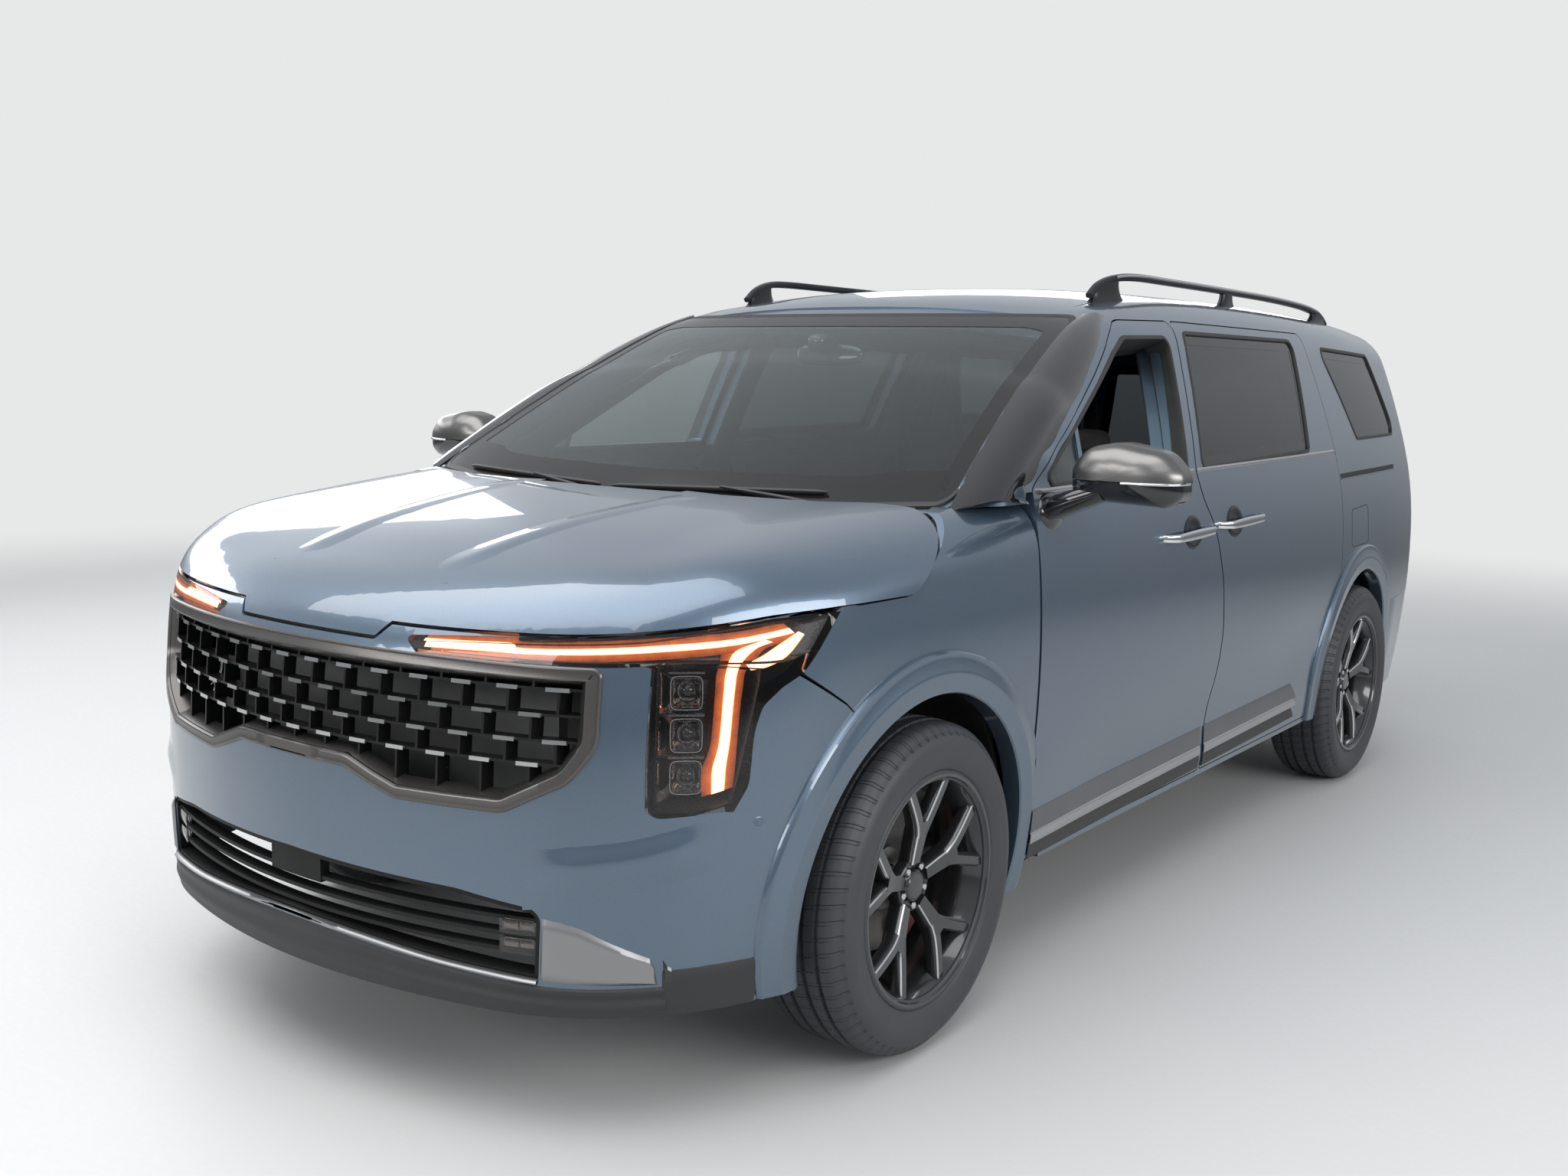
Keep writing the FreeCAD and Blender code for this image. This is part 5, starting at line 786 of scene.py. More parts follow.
reflectors, bezels, lenses = [], [], []
for k, height in enumerate((.880, .800, .720)):
    at = land(front_gap, np.array([[.815, -2.285, height]]), nose_way(np.array([[.815, -2.285, height]])))[0]
    turn = math.radians(42)
    inward = np.array([-math.sin(turn), math.cos(turn), 0]) * .018
    spot = at + inward
    reflectors.append(projector(*spot, .058, .062, .022, turn))
    lenses.append(bulb_lens(*(spot + inward * .9), .016, turn))
    half = np.array([.034 * math.cos(turn), .034 * math.sin(turn), 0])
    edges = [np.array([spot - half, spot + half]) + [0, 0, rise] for rise in (.036, .040)]
    shelf = between(*edges, 3)
    bezels.append(plate(shelf, shelf + inward * 1.2))
piece("headlamp_reflectors", both(reflectors), REFLECTOR, "body")
piece("headlamp_projectors", both(lenses), glass("projector_lens", (.8, .82, .85), (.75, .78, .82)), "body")
piece("headlamp_bezels", both(bezels), LAMP_GREY, "body")

# Radiator grille: moulded black lattice of staggered cells set inside a stepped satin surround.
# The surround is a metal-effect ring clipped to the bumper, and bright dashes snap onto the bars.
GRILLE_EDGE = metres(((-.7107, .5193, .0031), (-.7127, .437, .0175), (-.6701, .3989, .0155), (-.5482, .3619, .0116),
                      (-.3046, .3602, .0116), (-.2386, .372, .0116), (-.1726, .3854, .0116), (.1726, .3854, .0116),
                      (.2386, .372, .0116), (.3046, .3602, .0116), (.5482, .3619, .0116), (.6701, .3989, .0155),
                      (.7127, .437, .0175), (.7107, .5193, .0031)), HALF_WIDTH)
GUNMETAL = finish("satin_gunmetal", (.105, .100, .096), (.135, .128, .122), (.26, .36), patch=5, grain=700,
                  Metallic=.85)
SATIN_SILVER = finish("satin_silver", (.40, .40, .41), (.46, .46, .47), (.24, .33), patch=4, grain=900, Metallic=.9)
BRIGHT_METAL = finish("bright_metal", (.62, .62, .62), (.70, .70, .70), (.10, .18), patch=10, grain=500, Metallic=1.0)
SURROUND_STEPS = ((-.0015, -.002), (-.0015, .0035), (.001, .0065), (.0035, .0070), (.0045, .0045), (.0055, .0042),
                  (.020, .0058), (.0225, .0050), (.0245, .0015), (.029, -.010), (.034, -.026), (.037, -.034))

LATTICE_BLACK = finish("lattice_black", (.005, .005, .005), (.008, .008, .008), (.26, .36), patch=12, grain=700,
                       Specular_IOR_Level=.35)

INTAKE_BLACK = finish("intake_black", (.006, .006, .006), (.010, .010, .010), (.48, .62), patch=12, grain=900, bump=.2,
                      Specular_IOR_Level=.25)

dress(LATTICE_BLACK, "grille")
dress(INTAKE_BLACK, "lower_intake")
dress(BRIGHT_METAL, "grille_dashes")


BOX_MARGIN = .0002


def held(part):
    """Keeps a trim within the vehicle's foremost and rearmost planes, where the body itself already reaches them."""
    points = part[0].copy()
    points[:, 1] = np.clip(points[:, 1], cad_low[1] + BOX_MARGIN, cad_high[1] - BOX_MARGIN)
    return points, part[1]


grille_loop = loop(GRILLE_EDGE, 420)
surround = band(front_gap, grille_loop, SURROUND_STEPS, front_place, FORWARD, .003)
piece("grille_surround", [held(surround)], GUNMETAL, "body", crease=24)

# Lower bumper: unpainted grained cladding under the body colour, with a thin silver lip below the intake.
# Satin silver wedges fill the corners beside the intake, and two small fog units sit in its outer ends.
LIP_Z = ((0, .3505), (.200, .3455), (.403, .3310), (.520, .3250), (.602, .3190))


def front_curve(points, count):
    """Curve seen from the front through (x, z) points, carried across the middle, as 3D seats ahead of the nose."""
    p = np.array(points, float)
    p = np.concatenate([p[:0:-1] * [-1, 1], p])
    return front_place(along(p, count))


def edge_lift(rows, cols, height, soft=.12):
    """Lift of a plate that rises from its edges: the smooth step of the share of the way in, on both axes."""
    u = np.linspace(0, 1, rows)[:, None]
    v = np.linspace(0, 1, cols)[None]
    return height * np.minimum(ease(np.minimum(u, 1 - u) / (soft / 4)), ease(np.minimum(v, 1 - v) / soft))


lip_low = np.array(LIP_Z) - [0, .0065]
lip_high = np.array(LIP_Z) + [0, .0045]
lip_grid = between(front_curve(lip_high, 121), front_curve(lip_low, 121), 6)
lip_shape = (-.002, .0065, .0085, .0085, .0065, -.001)
LIP_SILVER = finish("lip_silver", (.30, .30, .305), (.36, .36, .365), (.28, .38), patch=4, grain=900, Metallic=.9)
piece("intake_lip_strip", [held(skin(front_gap, lip_grid, FORWARD, lip_shape, .003))], LIP_SILVER, "body")

clad_top = ((0, .3430), (.403, .3235), (.602, .3120), (.690, .3100), (.786, .3110))
clad_low = ((0, .2502), (.403, .2500), (.602, .2500), (.690, .2500), (.786, .2500))
clad_grid = between(front_curve(clad_top, 161), front_curve(clad_low, 161), 14)
clad_shape = (-.001, .0040, .0050, .0040, .0020, .0020, .0035, .0060, .0070, .0060, .0040, .0034, .0030, .0026)
side_top = along(((.787, -2.31, .3455), (.840, -2.23, .3465), (.880, -2.17, .3475), (.902, -2.141, .3480)), 33)
side_low = along(((.787, -2.31, .2500), (.840, -2.23, .2500), (.880, -2.17, .2500), (.896, -2.150, .2500)), 33)
side_grid = between(side_top, side_low, 10)
side_shape = (-.001, .003, .0035, .0035, .003, .003, .0035, .0035, .003, .0026)
side_clad = skin(front_gap, side_grid, nose_way(side_grid), side_shape, .004)
piece("front_cladding", [held(skin(front_gap, clad_grid, FORWARD, clad_shape, .004))] + both([side_clad]),
      TEXTURED_BLACK, "body")

wedge_top = along(((.613, .447), (.645, .441), (.677, .432), (.725, .401), (.773, .370), (.7775, .352)), 41,
                  smooth=False)
wedge_low = along(((.607, .321), (.66, .3175), (.72, .3160), (.780, .3145)), 41)
wedge_grid = between(front_place(wedge_top), front_place(wedge_low), 17)
wedge = skin(front_gap, wedge_grid, FORWARD, edge_lift(41, 17, .006) - .0005, .005)
WEDGE_SILVER = finish("wedge_silver", (.24, .24, .245), (.29, .29, .295), (.30, .40), patch=5, grain=900, Metallic=.85)
piece("bumper_wedges", both([wedge]), WEDGE_SILVER, "body", crease=30)

spur_top = along(((.779, .366), (.790, .352), (.803, .3470)), 13)
spur_low = along(((.783, .3150), (.790, .3140), (.803, .3130)), 13)
spur_grid = between(front_place(spur_top), front_place(spur_low), 7)
spur = skin(front_gap, spur_grid, nose_way(spur_grid), edge_lift(13, 7, .004), .004)
piece("bumper_spurs", both([spur]), GLOSS_BLACK, "body")


def fog_face(x0, x1, low, high, rows, lift, thick):
    """Rectangle in front view, landed on the nose and set at a depth."""
    face = between(front_place(along(((x0, high), (x1, high)), 13)), front_place(along(((x0, low), (x1, low)), 13)),
                   rows)
    return skin(front_gap, face, FORWARD, lift, thick)


fog_lens, fog_light, fog_case = [], [], []
for low, high in ((.368, .396), (.406, .434)):
    for x0, x1, shelf in ((.528, .598, fog_case), (.533, .562, fog_light), (.566, .594, fog_light)):
        inset = 0 if shelf is fog_case else .004
        depth = -.020 if shelf is fog_case else -.0175 + edge_lift(13, 9, .002, .4)
        shelf.append(fog_face(x0, x1, low + inset, high - inset, 9, depth, .008))
    fog_lens.append(fog_face(.527, .599, low - .001, high + .001, 7, -.010 + edge_lift(13, 7, .002, .3), .002))
piece("fog_cases", both(fog_case), GLOSS_BLACK, "body")
piece("fog_reflectors", both(fog_light), REFLECTOR, "body")
piece("fog_lenses", both(fog_lens), LENS_SMOKE, "body")


def button(gap, centre, way, radius, height):
    """Domed disc on the body: rings of the landed circle, each lifted by the square root of its share of the way in."""
    a = circle(32)[:, None]
    way = unit(np.array(way, float))
    side = unit(np.cross(way, [0, 0, 1]))
    r = np.linspace(1, 0, 7)[None] * radius
    seats = np.array(centre) + (r * np.cos(a))[..., None] * side + (r * np.sin(a))[..., None] * np.cross(side, way)
    lift = height * np.sqrt(1 - np.linspace(1, 0, 7) ** 2)
    return skin(gap, seats, way, lift - .0002, .002)


sensors = [button(front_gap, (.90, -2.165, .625), (.75, -.66, 0), .0105, .002)]
piece("parking_sensors_front", both(sensors),
      finish("sensor_paint", (.10, .145, .19), (.12, .16, .21), (.3, .36), Metallic=.6), "body")

# Side trim: satin belt strips under the windows, bright pull handles in shallow cups, and the sliding door's track.
# The strips clip to the doors, the handles are chromed bars on two feet; the fuel flap is in the left quarter.


def belt_z(y):
    """Height of the belt line, climbing gently to the rear."""
    return 1.2140 + (y + 1.118) * .0159


SIDE_START = .85


def belt(y_from, y_to, tall=.0075, count=61):
    """Strip along the belt line: an arched cross-section laid on the side between two places."""
    y = np.linspace(y_from, y_to, count)[:, None]
    s = np.linspace(1, -1, 7)[None]
    seats = np.stack([np.full((count, 7), SIDE_START), y + 0 * s, belt_z(y) + s * tall], -1)
    arch = np.broadcast_to(np.array([-.001, .0034, .0046, .0050, .0046, .0034, -.001]), (count, 7)).copy()
    arch[[0, -1]] = -.001
    return skin(cabin_gap, seats, SIDEWAYS, arch, .003)


door_belt = belt(-1.170, -.176)
slider_belt = belt(-.160, 1.148)
door_pair("belt_strip_door", door_belt, SATIN_SILVER)
piece("belt_strips_slider", both([slider_belt]), SATIN_SILVER, "body")

CHROME = finish("chrome", (.72, .73, .74), (.66, .67, .69), (.05, .10), patch=14, grain=240, Metallic=1.0)


def bar(path, wide, thick, power=3.0, sides=24, up=(0, 0, 1)):
    """Closed bar along a path: a superellipse section, wide along the up direction and thick along the other."""
    path = np.asarray(path, float)
    tangent = unit(np.gradient(path, axis=0))
    lift = unit(np.asarray(up, float) - np.sum(tangent * up, -1, keepdims=True) * tangent)
    other = np.cross(tangent, lift)
    a = circle(sides)
    c, s = np.cos(a), np.sin(a)
    e = 2 / power
    ring = np.stack([shaped(c, e), shaped(s, e)], -1)
    wide, thick = (np.broadcast_to(v, len(path))[:, None, None] for v in (wide, thick))
    tube = path[:, None] + lift[:, None] * ring[None, :, :1] * wide + other[:, None] * ring[None, :, 1:] * thick
    ends = [np.repeat(p[None, None], sides, 1) for p in (path[0], path[-1])]
    return grid(np.concatenate([ends[0], tube, ends[1]]), across=True)


def handle(y0, y1, z0, z1):
    """Pull bar bowed off the door: x is the door surface plus a flat-topped bow, with the ends turned in."""
    t = np.linspace(0, 1, 49)
    y, z = y0 + (y1 - y0) * t, z0 + (z1 - z0) * t
    seat = land(cabin_gap, np.stack([np.full(49, SIDE_START), y, z], -1), SIDEWAYS)
    seat[:, 0] += -.004 + .034 * np.minimum(1, (np.minimum(t, 1 - t) / .11)) ** .6
    return bar(seat, .0105 + .0035 * np.sin(math.pi * t), .0065)


def cup(y, z, wide, tall):
    """Finger cup behind the handle: an oval laid on the door, its rim raised and its floor a hair above the skin."""
    a = circle(48)[:, None]
    r = np.linspace(1, 0, 9)[None]
    seats = np.stack([np.full((48, 9), SIDE_START), y + wide * r * np.cos(a), z + tall * r * np.sin(a)], -1)
    rim = (-.0006, .0022, .0026, .0022, .0012, .0006, .0005, .0005, .0005)
    return skin(cabin_gap, seats, SIDEWAYS, rim, .001)


# The cups are near black, far darker than the door's paint: painted shade standing in for the depth of a recess, as
# each dish is raised off the skin.
CUP_PAINTED_SHADE = finish("cup_shadow", (.010, .012, .015), (.016, .019, .023), (.16, .26), patch=9, grain=300, Metallic=.5)
front_handle, slider_handle = handle(-.452, -.125, 1.052, 1.060), handle(-.045, .285, 1.064, 1.072)
front_cup, slider_cup = cup(-.245, 1.057, .070, .050), cup(.085, 1.068, .070, .050)
door_pair("door_handle", front_handle, CHROME)
piece("slider_handles", both([slider_handle]), CHROME, "body")
door_pair("door_cup", front_cup, CUP_PAINTED_SHADE)
piece("slider_cups", both([slider_cup]), CUP_PAINTED_SHADE, "body")


def side_run(points, tall, shape, count=81):
    """Strip on the side through (y, z) points: its cross-section is a row of lifts from its top edge to its low one."""
    p = along(points, count)
    tangent = unit(np.gradient(p, axis=0))
    normal = np.stack([-tangent[:, 1], tangent[:, 0]], -1)
    s = np.linspace(1, -1, len(shape))[None, :, None] * tall
    seats = p[:, None] + normal[:, None] * s
    seats = np.concatenate([np.full(seats.shape[:2] + (1,), SIDE_START), seats], -1)
    return skin(cabin_gap, seats, SIDEWAYS, shape, .0025)


track = side_run(((1.172, 1.1610), (1.45, 1.1650), (1.75, 1.1680), (1.960, 1.1700)), .0085,
                 (.0004, .0006, .0006, .0006, .0004))
track_lip = side_run(((1.172, 1.1500), (1.45, 1.1540), (1.75, 1.1570), (1.965, 1.1590)), .0030,
                     (-.001, .0018, .0024, .0018, -.001))
piece("slider_tracks", both([track]), finish("track_shadow", (.008, .008, .009), (.013, .013, .014), (.5, .7), patch=20,
                                             grain=500), "body")
piece("slider_track_lips", both([track_lip]), PAINT, "body")

FLAP = ((1.275, .900, .018), (1.275, 1.036, .018), (1.492, 1.044, .018), (1.500, .900, .018))
flap_line = side_band(FLAP, ((-.0018, -.0004), (-.0012, .0005), (.0012, .0005), (.0018, -.0004)), .0008, 160)
piece("fuel_flap_gap", [flap_line], SEAL_RUBBER, "body")

# Door mirrors: an upper cap in dark satin metal over a gloss black lower shell, on a short black arm.
# A thin lit-looking strip runs round the outer end at the joint, and the glass looks to the rear.
MIRROR_EDGE = ((1.003, 1.198, .030), (1.245, 1.189, .038), (1.277, 1.215, .034), (1.277, 1.270, .044),
               (1.234, 1.318, .070), (1.120, 1.339, .120), (1.040, 1.323, .070), (1.003, 1.275, .040))
MIRROR_MID = np.array([1.135, 1.262])


def mirror_shell(low, high, swell=0.0, y_from=-1.164, y_to=-1.046):
    """Shell swept back from a rounded nose: the outline grows as (1 - (1-t)^2.4)^(1/2.4), cut at a seam height."""
    ring = loop(MIRROR_EDGE, 96)
    t = np.linspace(0, 1, 25) ** 1.4
    size = (1 - (1 - np.clip(t / .62, 0, 1)) ** 2.4) ** (1 / 2.4)
    y = y_from + (y_to - y_from) * t
    plan = MIRROR_MID + (ring[:, None] - MIRROR_MID) * (size[None, :, None] * (1 + swell) + 1e-4)
    lean = .016 * (plan[..., 0] - 1.0) / .28
    z = np.clip(plan[..., 1], low, high)
    return np.stack([plan[..., 0], np.broadcast_to(y, z.shape) + lean * (1 - t), z], -1)


def capped(points):
    """Closes the rear of a swept shell with a slightly sunk face."""
    rear = points[:, -1:]
    middle = rear.mean(0, keepdims=True)
    inner = middle + (rear - middle) * np.array([.95, 1, .93])
    floor = inner + [0, -.006, 0]
    centre = np.repeat((middle + [0, -.006, 0]), len(points), 0)
    return grid(np.concatenate([points, inner, floor, centre], 1), around=True)


seam_z = 1.248
upper, lower = capped(mirror_shell(seam_z, 2.0)), capped(mirror_shell(1.0, seam_z - .002, -.012))
mirror_face = loop(((1.012, 1.206, .02), (1.242, 1.200, .03), (1.262, 1.222, .03), (1.264, 1.268, .03),
                    (1.228, 1.306, .05), (1.120, 1.324, .09), (1.045, 1.312, .05), (1.012, 1.27, .03)), 72)
rings = np.stack([MIRROR_MID + (mirror_face - MIRROR_MID) * s for s in (1, .97, .5, .02)], 1)
pane = np.stack([rings[..., 0], np.full(rings.shape[:2], -1.0505), rings[..., 1]], -1)
mirror_glass = plate(pane, pane - [0, .0015, 0], around=True)
strip_path = along(((1.150, -1.1605, 1.2455), (1.215, -1.150, 1.2460), (1.262, -1.122, 1.2465),
                    (1.2755, -1.085, 1.2470), (1.2760, -1.060, 1.2470)), 41)
mirror_strip = bar(strip_path, .0030, .0022, 2.0, 10)
arm_path = along(((.905, -1.104, 1.160), (.955, -1.106, 1.172), (1.015, -1.107, 1.194), (1.090, -1.107, 1.222)), 25)
mirror_arm = bar(arm_path, np.linspace(.033, .024, 25), np.linspace(.050, .040, 25), 2.8, 24)
turn = np.linspace(0, 2 * math.pi, 33)
foot_seat = np.stack([np.full((33, 7), SIDE_START), -1.100 + np.outer(np.cos(turn), np.linspace(.062, 0, 7)),
                      1.165 + np.outer(np.sin(turn), np.linspace(.046, 0, 7))], -1)
mirror_foot = skin(cabin_gap, foot_seat, SIDEWAYS, (-.001, .008, .012, .015, .018, .020, .021), .006)
MIRROR_CAP = finish("dark_satin_chrome", (.17, .165, .16), (.20, .195, .19), (.27, .36), patch=6, grain=800,
                    Metallic=1.0)
MIRROR_SILVER = finish("mirror_silvering", (.82, .84, .86), (.80, .82, .85), (.01, .03), patch=3, grain=40,
                       Metallic=1.0)
for side, flip in (("left", same), ("right", mirrored)):
    body = "door_" + side
    cap = piece("mirror_cap_" + side, [flip(upper)], MIRROR_CAP, body, crease=50)
    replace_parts(cap, "mirror_" + side)
    piece("mirror_base_" + side, [flip(lower), flip(mirror_arm), flip(mirror_foot)], GLOSS_BLACK, body,
          crease=50)
    piece("mirror_glass_" + side, [flip(mirror_glass)], MIRROR_SILVER, body)
    piece("mirror_strip_" + side, [flip(mirror_strip)], CHROME, body)

# Wheels: gloss black cast alloy with five forked spokes whose edges are turned bright, over vented discs and calipers.
# The tyres are plain-walled rubber with ribs and cut blocks on the shoulders, seated against both flanges.
TRACK_HALF = .871
TYRE_R = .370
RIM_BLACK = finish("wheel_lacquer", (.010, .010, .011), (.016, .016, .017), (.16, .26), patch=12, grain=900,
                   Coat_Weight=.7, Coat_Roughness=.05)
RIM_BRIGHT = finish("turned_edge", (.62, .62, .63), (.72, .72, .73), (.12, .22), patch=18, grain=900, Metallic=1.0)
DISC_IRON = finish("disc_iron", (.30, .29, .28), (.22, .21, .20), (.25, .42), patch=30, grain=700, bump=.1,
                   Metallic=1.0)
CALIPER = finish("caliper_paint", (.20, .085, .050), (.15, .065, .040), (.32, .48), patch=18, grain=500, bump=.2)


def tyre_material():
    """Rubber: dull grey-black; grooves at even turns cut the tread and shoulders where the UVs' radius is large."""
    material = finish("tyre_rubber", (.024, .026, .030), (.038, .041, .047), (.44, .60), patch=9, grain=700)
    tree = material.node_tree
    add, wire = kit(tree)
    uv, split, place, across = add("UVMap", "SeparateXYZ", "TexCoord", "SeparateXYZ")
    uv.uv_map = "turned"
    wire(uv.outputs["UV"], split.inputs[0])
    wire(place.outputs["Object"], across.inputs[0])
    side, skew, turns, wave, cut, zone, depth = add(*["Math"] * 7)
    side.operation = "ABSOLUTE"
    wire(across.outputs["X"], side.inputs[0])
    skew.operation, skew.inputs[1].default_value = "MULTIPLY_ADD", .09
    wire(side.outputs[0], skew.inputs[0])
    wire(split.outputs["X"], skew.inputs[2])
    turns.operation, turns.inputs[1].default_value = "MULTIPLY", 2 * math.pi * 68
    wire(skew.outputs[0], turns.inputs[0])
    wave.operation = "SINE"
    wire(turns.outputs[0], wave.inputs[0])
    wire(wave.outputs[0], cut.inputs[0])
    for node, slope, start in ((cut, 3.5, -2.0), (zone, 160.0, -54.4)):
        node.operation, node.use_clamp = "MULTIPLY_ADD", True
        node.inputs[1].default_value, node.inputs[2].default_value = slope, start
    wire(split.outputs["Y"], zone.inputs[0])
    depth.operation = "MULTIPLY"
    wire(cut.outputs[0], depth.inputs[0])
    wire(zone.outputs[0], depth.inputs[1])
    relief = add("Bump")
    relief.invert = True
    put(relief, Distance=.005)
    wire(depth.outputs[0], relief.inputs["Height"])
    wire(relief.outputs["Normal"], tree.nodes["Principled BSDF"].inputs["Normal"])
    return material


TYRE_RUBBER = tyre_material()
TYRE_WALL = ((.1005, .2415), (.1075, .2520), (.1085, .2600), (.1050, .2635), (.1090, .2680), (.1150, .2860),
             (.1178, .3020), (.1190, .3150), (.1170, .3280), (.1120, .3390), (.1075, .3440), (.1062, .3440),
             (.1045, .3468), (.1020, .3500), (.0950, .3590), (.0870, .3640))
TREAD = ((.0780, .3665), (.0640, .3680), (.0620, .3610), (.0550, .3610), (.0530, .3690), (.0290, .3698), (.0270, .3620),
         (.0180, .3620), (.0160, .3700), (0, .3700))
BARREL = ((.1060, .2575), (.1080, .2540), (.1080, .2490), (.1000, .2440), (.0930, .2400), (.0800, .2330),
          (.0500, .2180), (-.0500, .2150), (-.0950, .2250), (-.1050, .2390), (-.1070, .2575), (-.1000, .2575),
          (-.0980, .2450), (-.0900, .2400), (-.0500, .2230), (.0500, .2260), (.0800, .2400), (.0985, .2440),
          (.0990, .2575))
HUB = ((.034, .0001), (.034, .062), (.056, .060), (.062, .056), (.058, .053), (.052, .050), (.052, .038), (.064, .034),
       (.0665, .0315), (.0665, .0300), (.0655, .0292), (.0668, .0280), (.0675, .018), (.0678, .0001))
LIP = ((.1060, .2560), (.1088, .2562), (.1092, .2530), (.1084, .2500), (.1070, .2500))
DISC = ((-.054, .040), (-.054, .166), (-.046, .168), (-.045, .160), (-.035, .160), (-.034, .168), (-.026, .166),
        (-.026, .075), (-.010, .072), (-.006, .066), (-.006, .034), (-.050, .034))
NUT = ((.050, .0001), (.050, .0085), (.0620, .0085), (.0645, .0070), (.0650, .0001))
CALIPER_SECTION = ((-.075, .118), (-.078, .160), (-.070, .184), (-.040, .192), (-.012, .188), (-.004, .172),
                   (-.006, .118), (-.019, .116), (-.020, .175), (-.060, .175), (-.062, .116))


def turned(profile, count, centre):
    """Surface of revolution about the axle: (out, radius) points of a profile carried through a full turn."""
    p = np.asarray(profile, float)
    a = circle(count)[:, None]
    return np.stack([centre[0] + p[None, :, 0] + 0 * a, centre[1] + p[None, :, 1] * np.cos(a),
                     centre[2] + p[None, :, 1] * np.sin(a)], -1)


def ring_part(profile, count, centre):
    """A turned profile as a closed part."""
    return grid(turned(profile, count, centre), around=True, across=True)


def beam(path, foot, face, deep):
    """Spoke: at each point of the path a section with a wide foot, steep flanks, bright chamfers and a flat face."""
    tangent = unit(np.gradient(path, axis=0) * [0, 1, 1])
    side = np.stack([0 * path[:, 0], -tangent[:, 2], tangent[:, 1]], -1)
    foot, face, deep = (np.asarray(v)[:, None] for v in (foot, face, deep))
    steps = ((-foot, -deep), (-foot, -deep * .4), (-face - .0022, -.003 + 0 * deep), (-face, 0 * deep),
             (face, 0 * deep), (face + .0022, -.003 + 0 * deep), (foot, -deep * .4), (foot, -deep))
    ring = np.stack([path + side * w + h * [1, 0, 0] for w, h in steps], 1)
    points, faces = grid(ring, across=True)
    ends = np.array([[0, 1, 6, 7], [1, 2, 5, 6], [2, 3, 4, 5]])
    faces = np.concatenate([faces, ends, ends[:, ::-1] + (len(path) - 1) * 8])
    return points, faces, np.tile([0, 0, 1, 0, 1, 0, 0, 0], len(path) - 1)


def spokes(centre):
    """Five forks about the axle: a stem that widens outward and two branches that reach the flange."""
    t, u = np.linspace(0, 1, 17), np.linspace(0, 1, 21)
    beams = [beam(along(((.066, 0, .050), (.073, 0, .085), (.082, 0, .128), (.0865, 0, .150)), 17), .020 + .006 * t,
                  .013 + .006 * t, .036 + 0 * t)]
    for s in (1, -1):
        arm = along(((.0800, s * .006, .118), (.0860, s * .019, .148), (.0905, s * .041, .184), (.0935, s * .066, .222),
                     (.0940, s * .073, .234)), 21)
        beams.append(beam(arm, .0165 - .001 * u, .0095 - .001 * u, .034 - .008 * u))
    parts = []
    for a in np.arange(5) * 2 * math.pi / 5:
        c, s = math.cos(a), math.sin(a)
        turn = np.array(((1, 0, 0), (0, c, -s), (0, s, c)))
        for points, faces, numbers in beams:
            numbers = np.concatenate([numbers, np.zeros(6, int)])
            moved = points @ turn.T + centre
            parts += [(moved, faces[numbers == k], k) for k in (0, 1)]
    return parts


def wheel(name, centre_y, side, carrier, caliper_turn):
    """Tyre with its UVs (turn and radius), rim, disc and nuts on the wheel's body, the caliper on its carrier."""
    centre = np.array([TRACK_HALF, centre_y, TYRE_R])
    body = "wheel_" + name
    half = np.concatenate([along(TYRE_WALL, 34), np.array(TREAD)])
    tyre = piece("tyre_cover_" + name, [side(ring_part(np.concatenate([half, (half * [-1, 1])[-2::-1]]), 168, centre))],
                 TYRE_RUBBER, body, crease=48)
    at, numbers = np.empty(len(tyre.data.vertices) * 3), np.empty(len(tyre.data.loops), np.int32)
    tyre.data.vertices.foreach_get("co", at)
    tyre.data.loops.foreach_get("vertex_index", numbers)
    at = at.reshape(-1, 3) - centre
    turn = (np.arctan2(at[:, 2], at[:, 1]) / (2 * math.pi) + .5)[numbers].reshape(-1, 4)
    turn += turn.max(1, keepdims=True) - turn > .5
    uv = np.stack([turn.ravel(), np.hypot(at[:, 1], at[:, 2])[numbers]], -1)
    tyre.data.uv_layers.new(name="turned").data.foreach_set("uv", uv.ravel())
    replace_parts(tyre, "tyre_" + name)
    rim = [ring_part(BARREL, 120, centre), ring_part(HUB, 60, centre), ring_part(LIP, 120, centre)] + spokes(centre)
    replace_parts(piece("wheel_rim_" + name, [side(p) for p in rim], [RIM_BLACK, RIM_BRIGHT], body,
                      crease=32), "rim_" + name)
    piece("brake_disc_" + name, [side(ring_part(DISC, 96, centre))], DISC_IRON, body)
    nuts = [ring_part(NUT, 6, centre + [0, .045 * math.sin(a),
                                        .045 * math.cos(a)]) for a in (np.arange(5) + .5) * 2 * math.pi / 5]
    piece("wheel_nuts_" + name, [side(p) for p in nuts], CHROME, body, crease=25)
    a = np.radians(np.linspace(caliper_turn - 24, caliper_turn + 24, 25))[:, None]
    section = np.array(CALIPER_SECTION)
    reach = .15 + (section[None, :, 1] - .15) * (1 - .10 * np.linspace(-1, 1, 25)[:, None] ** 6)
    block = np.stack([centre[0] + section[None, :, 0] + 0 * a, centre[1] + reach * np.cos(a),
                      centre[2] + reach * np.sin(a)], -1)
    ends = [(block[k], np.arange(11)[None]) for k in (0, -1)]
    piece("brake_caliper_" + name, [side(p) for p in [grid(block, across=True)] + ends], CALIPER, carrier,
          bevel=.002)


wheel("front_left", AXLE_F, same, "knuckle_left", -50)
wheel("front_right", AXLE_F, mirrored, "knuckle_right", -50)
wheel("rear_left", AXLE_R, same, "body", 160)
wheel("rear_right", AXLE_R, mirrored, "body", 160)

# Cowl panel and wipers: a slotted, grained black moulding clipped between the hood's rear edge and the glass.
# Two black arms turn on splined pivots in it and press a jointed blade onto the glass.
PLASTIC_GRAIN = finish("grained_plastic", (.016, .016, .017), (.024, .024, .025), (.42, .58), patch=25, grain=900,
                       bump=.35, distance=.0006)


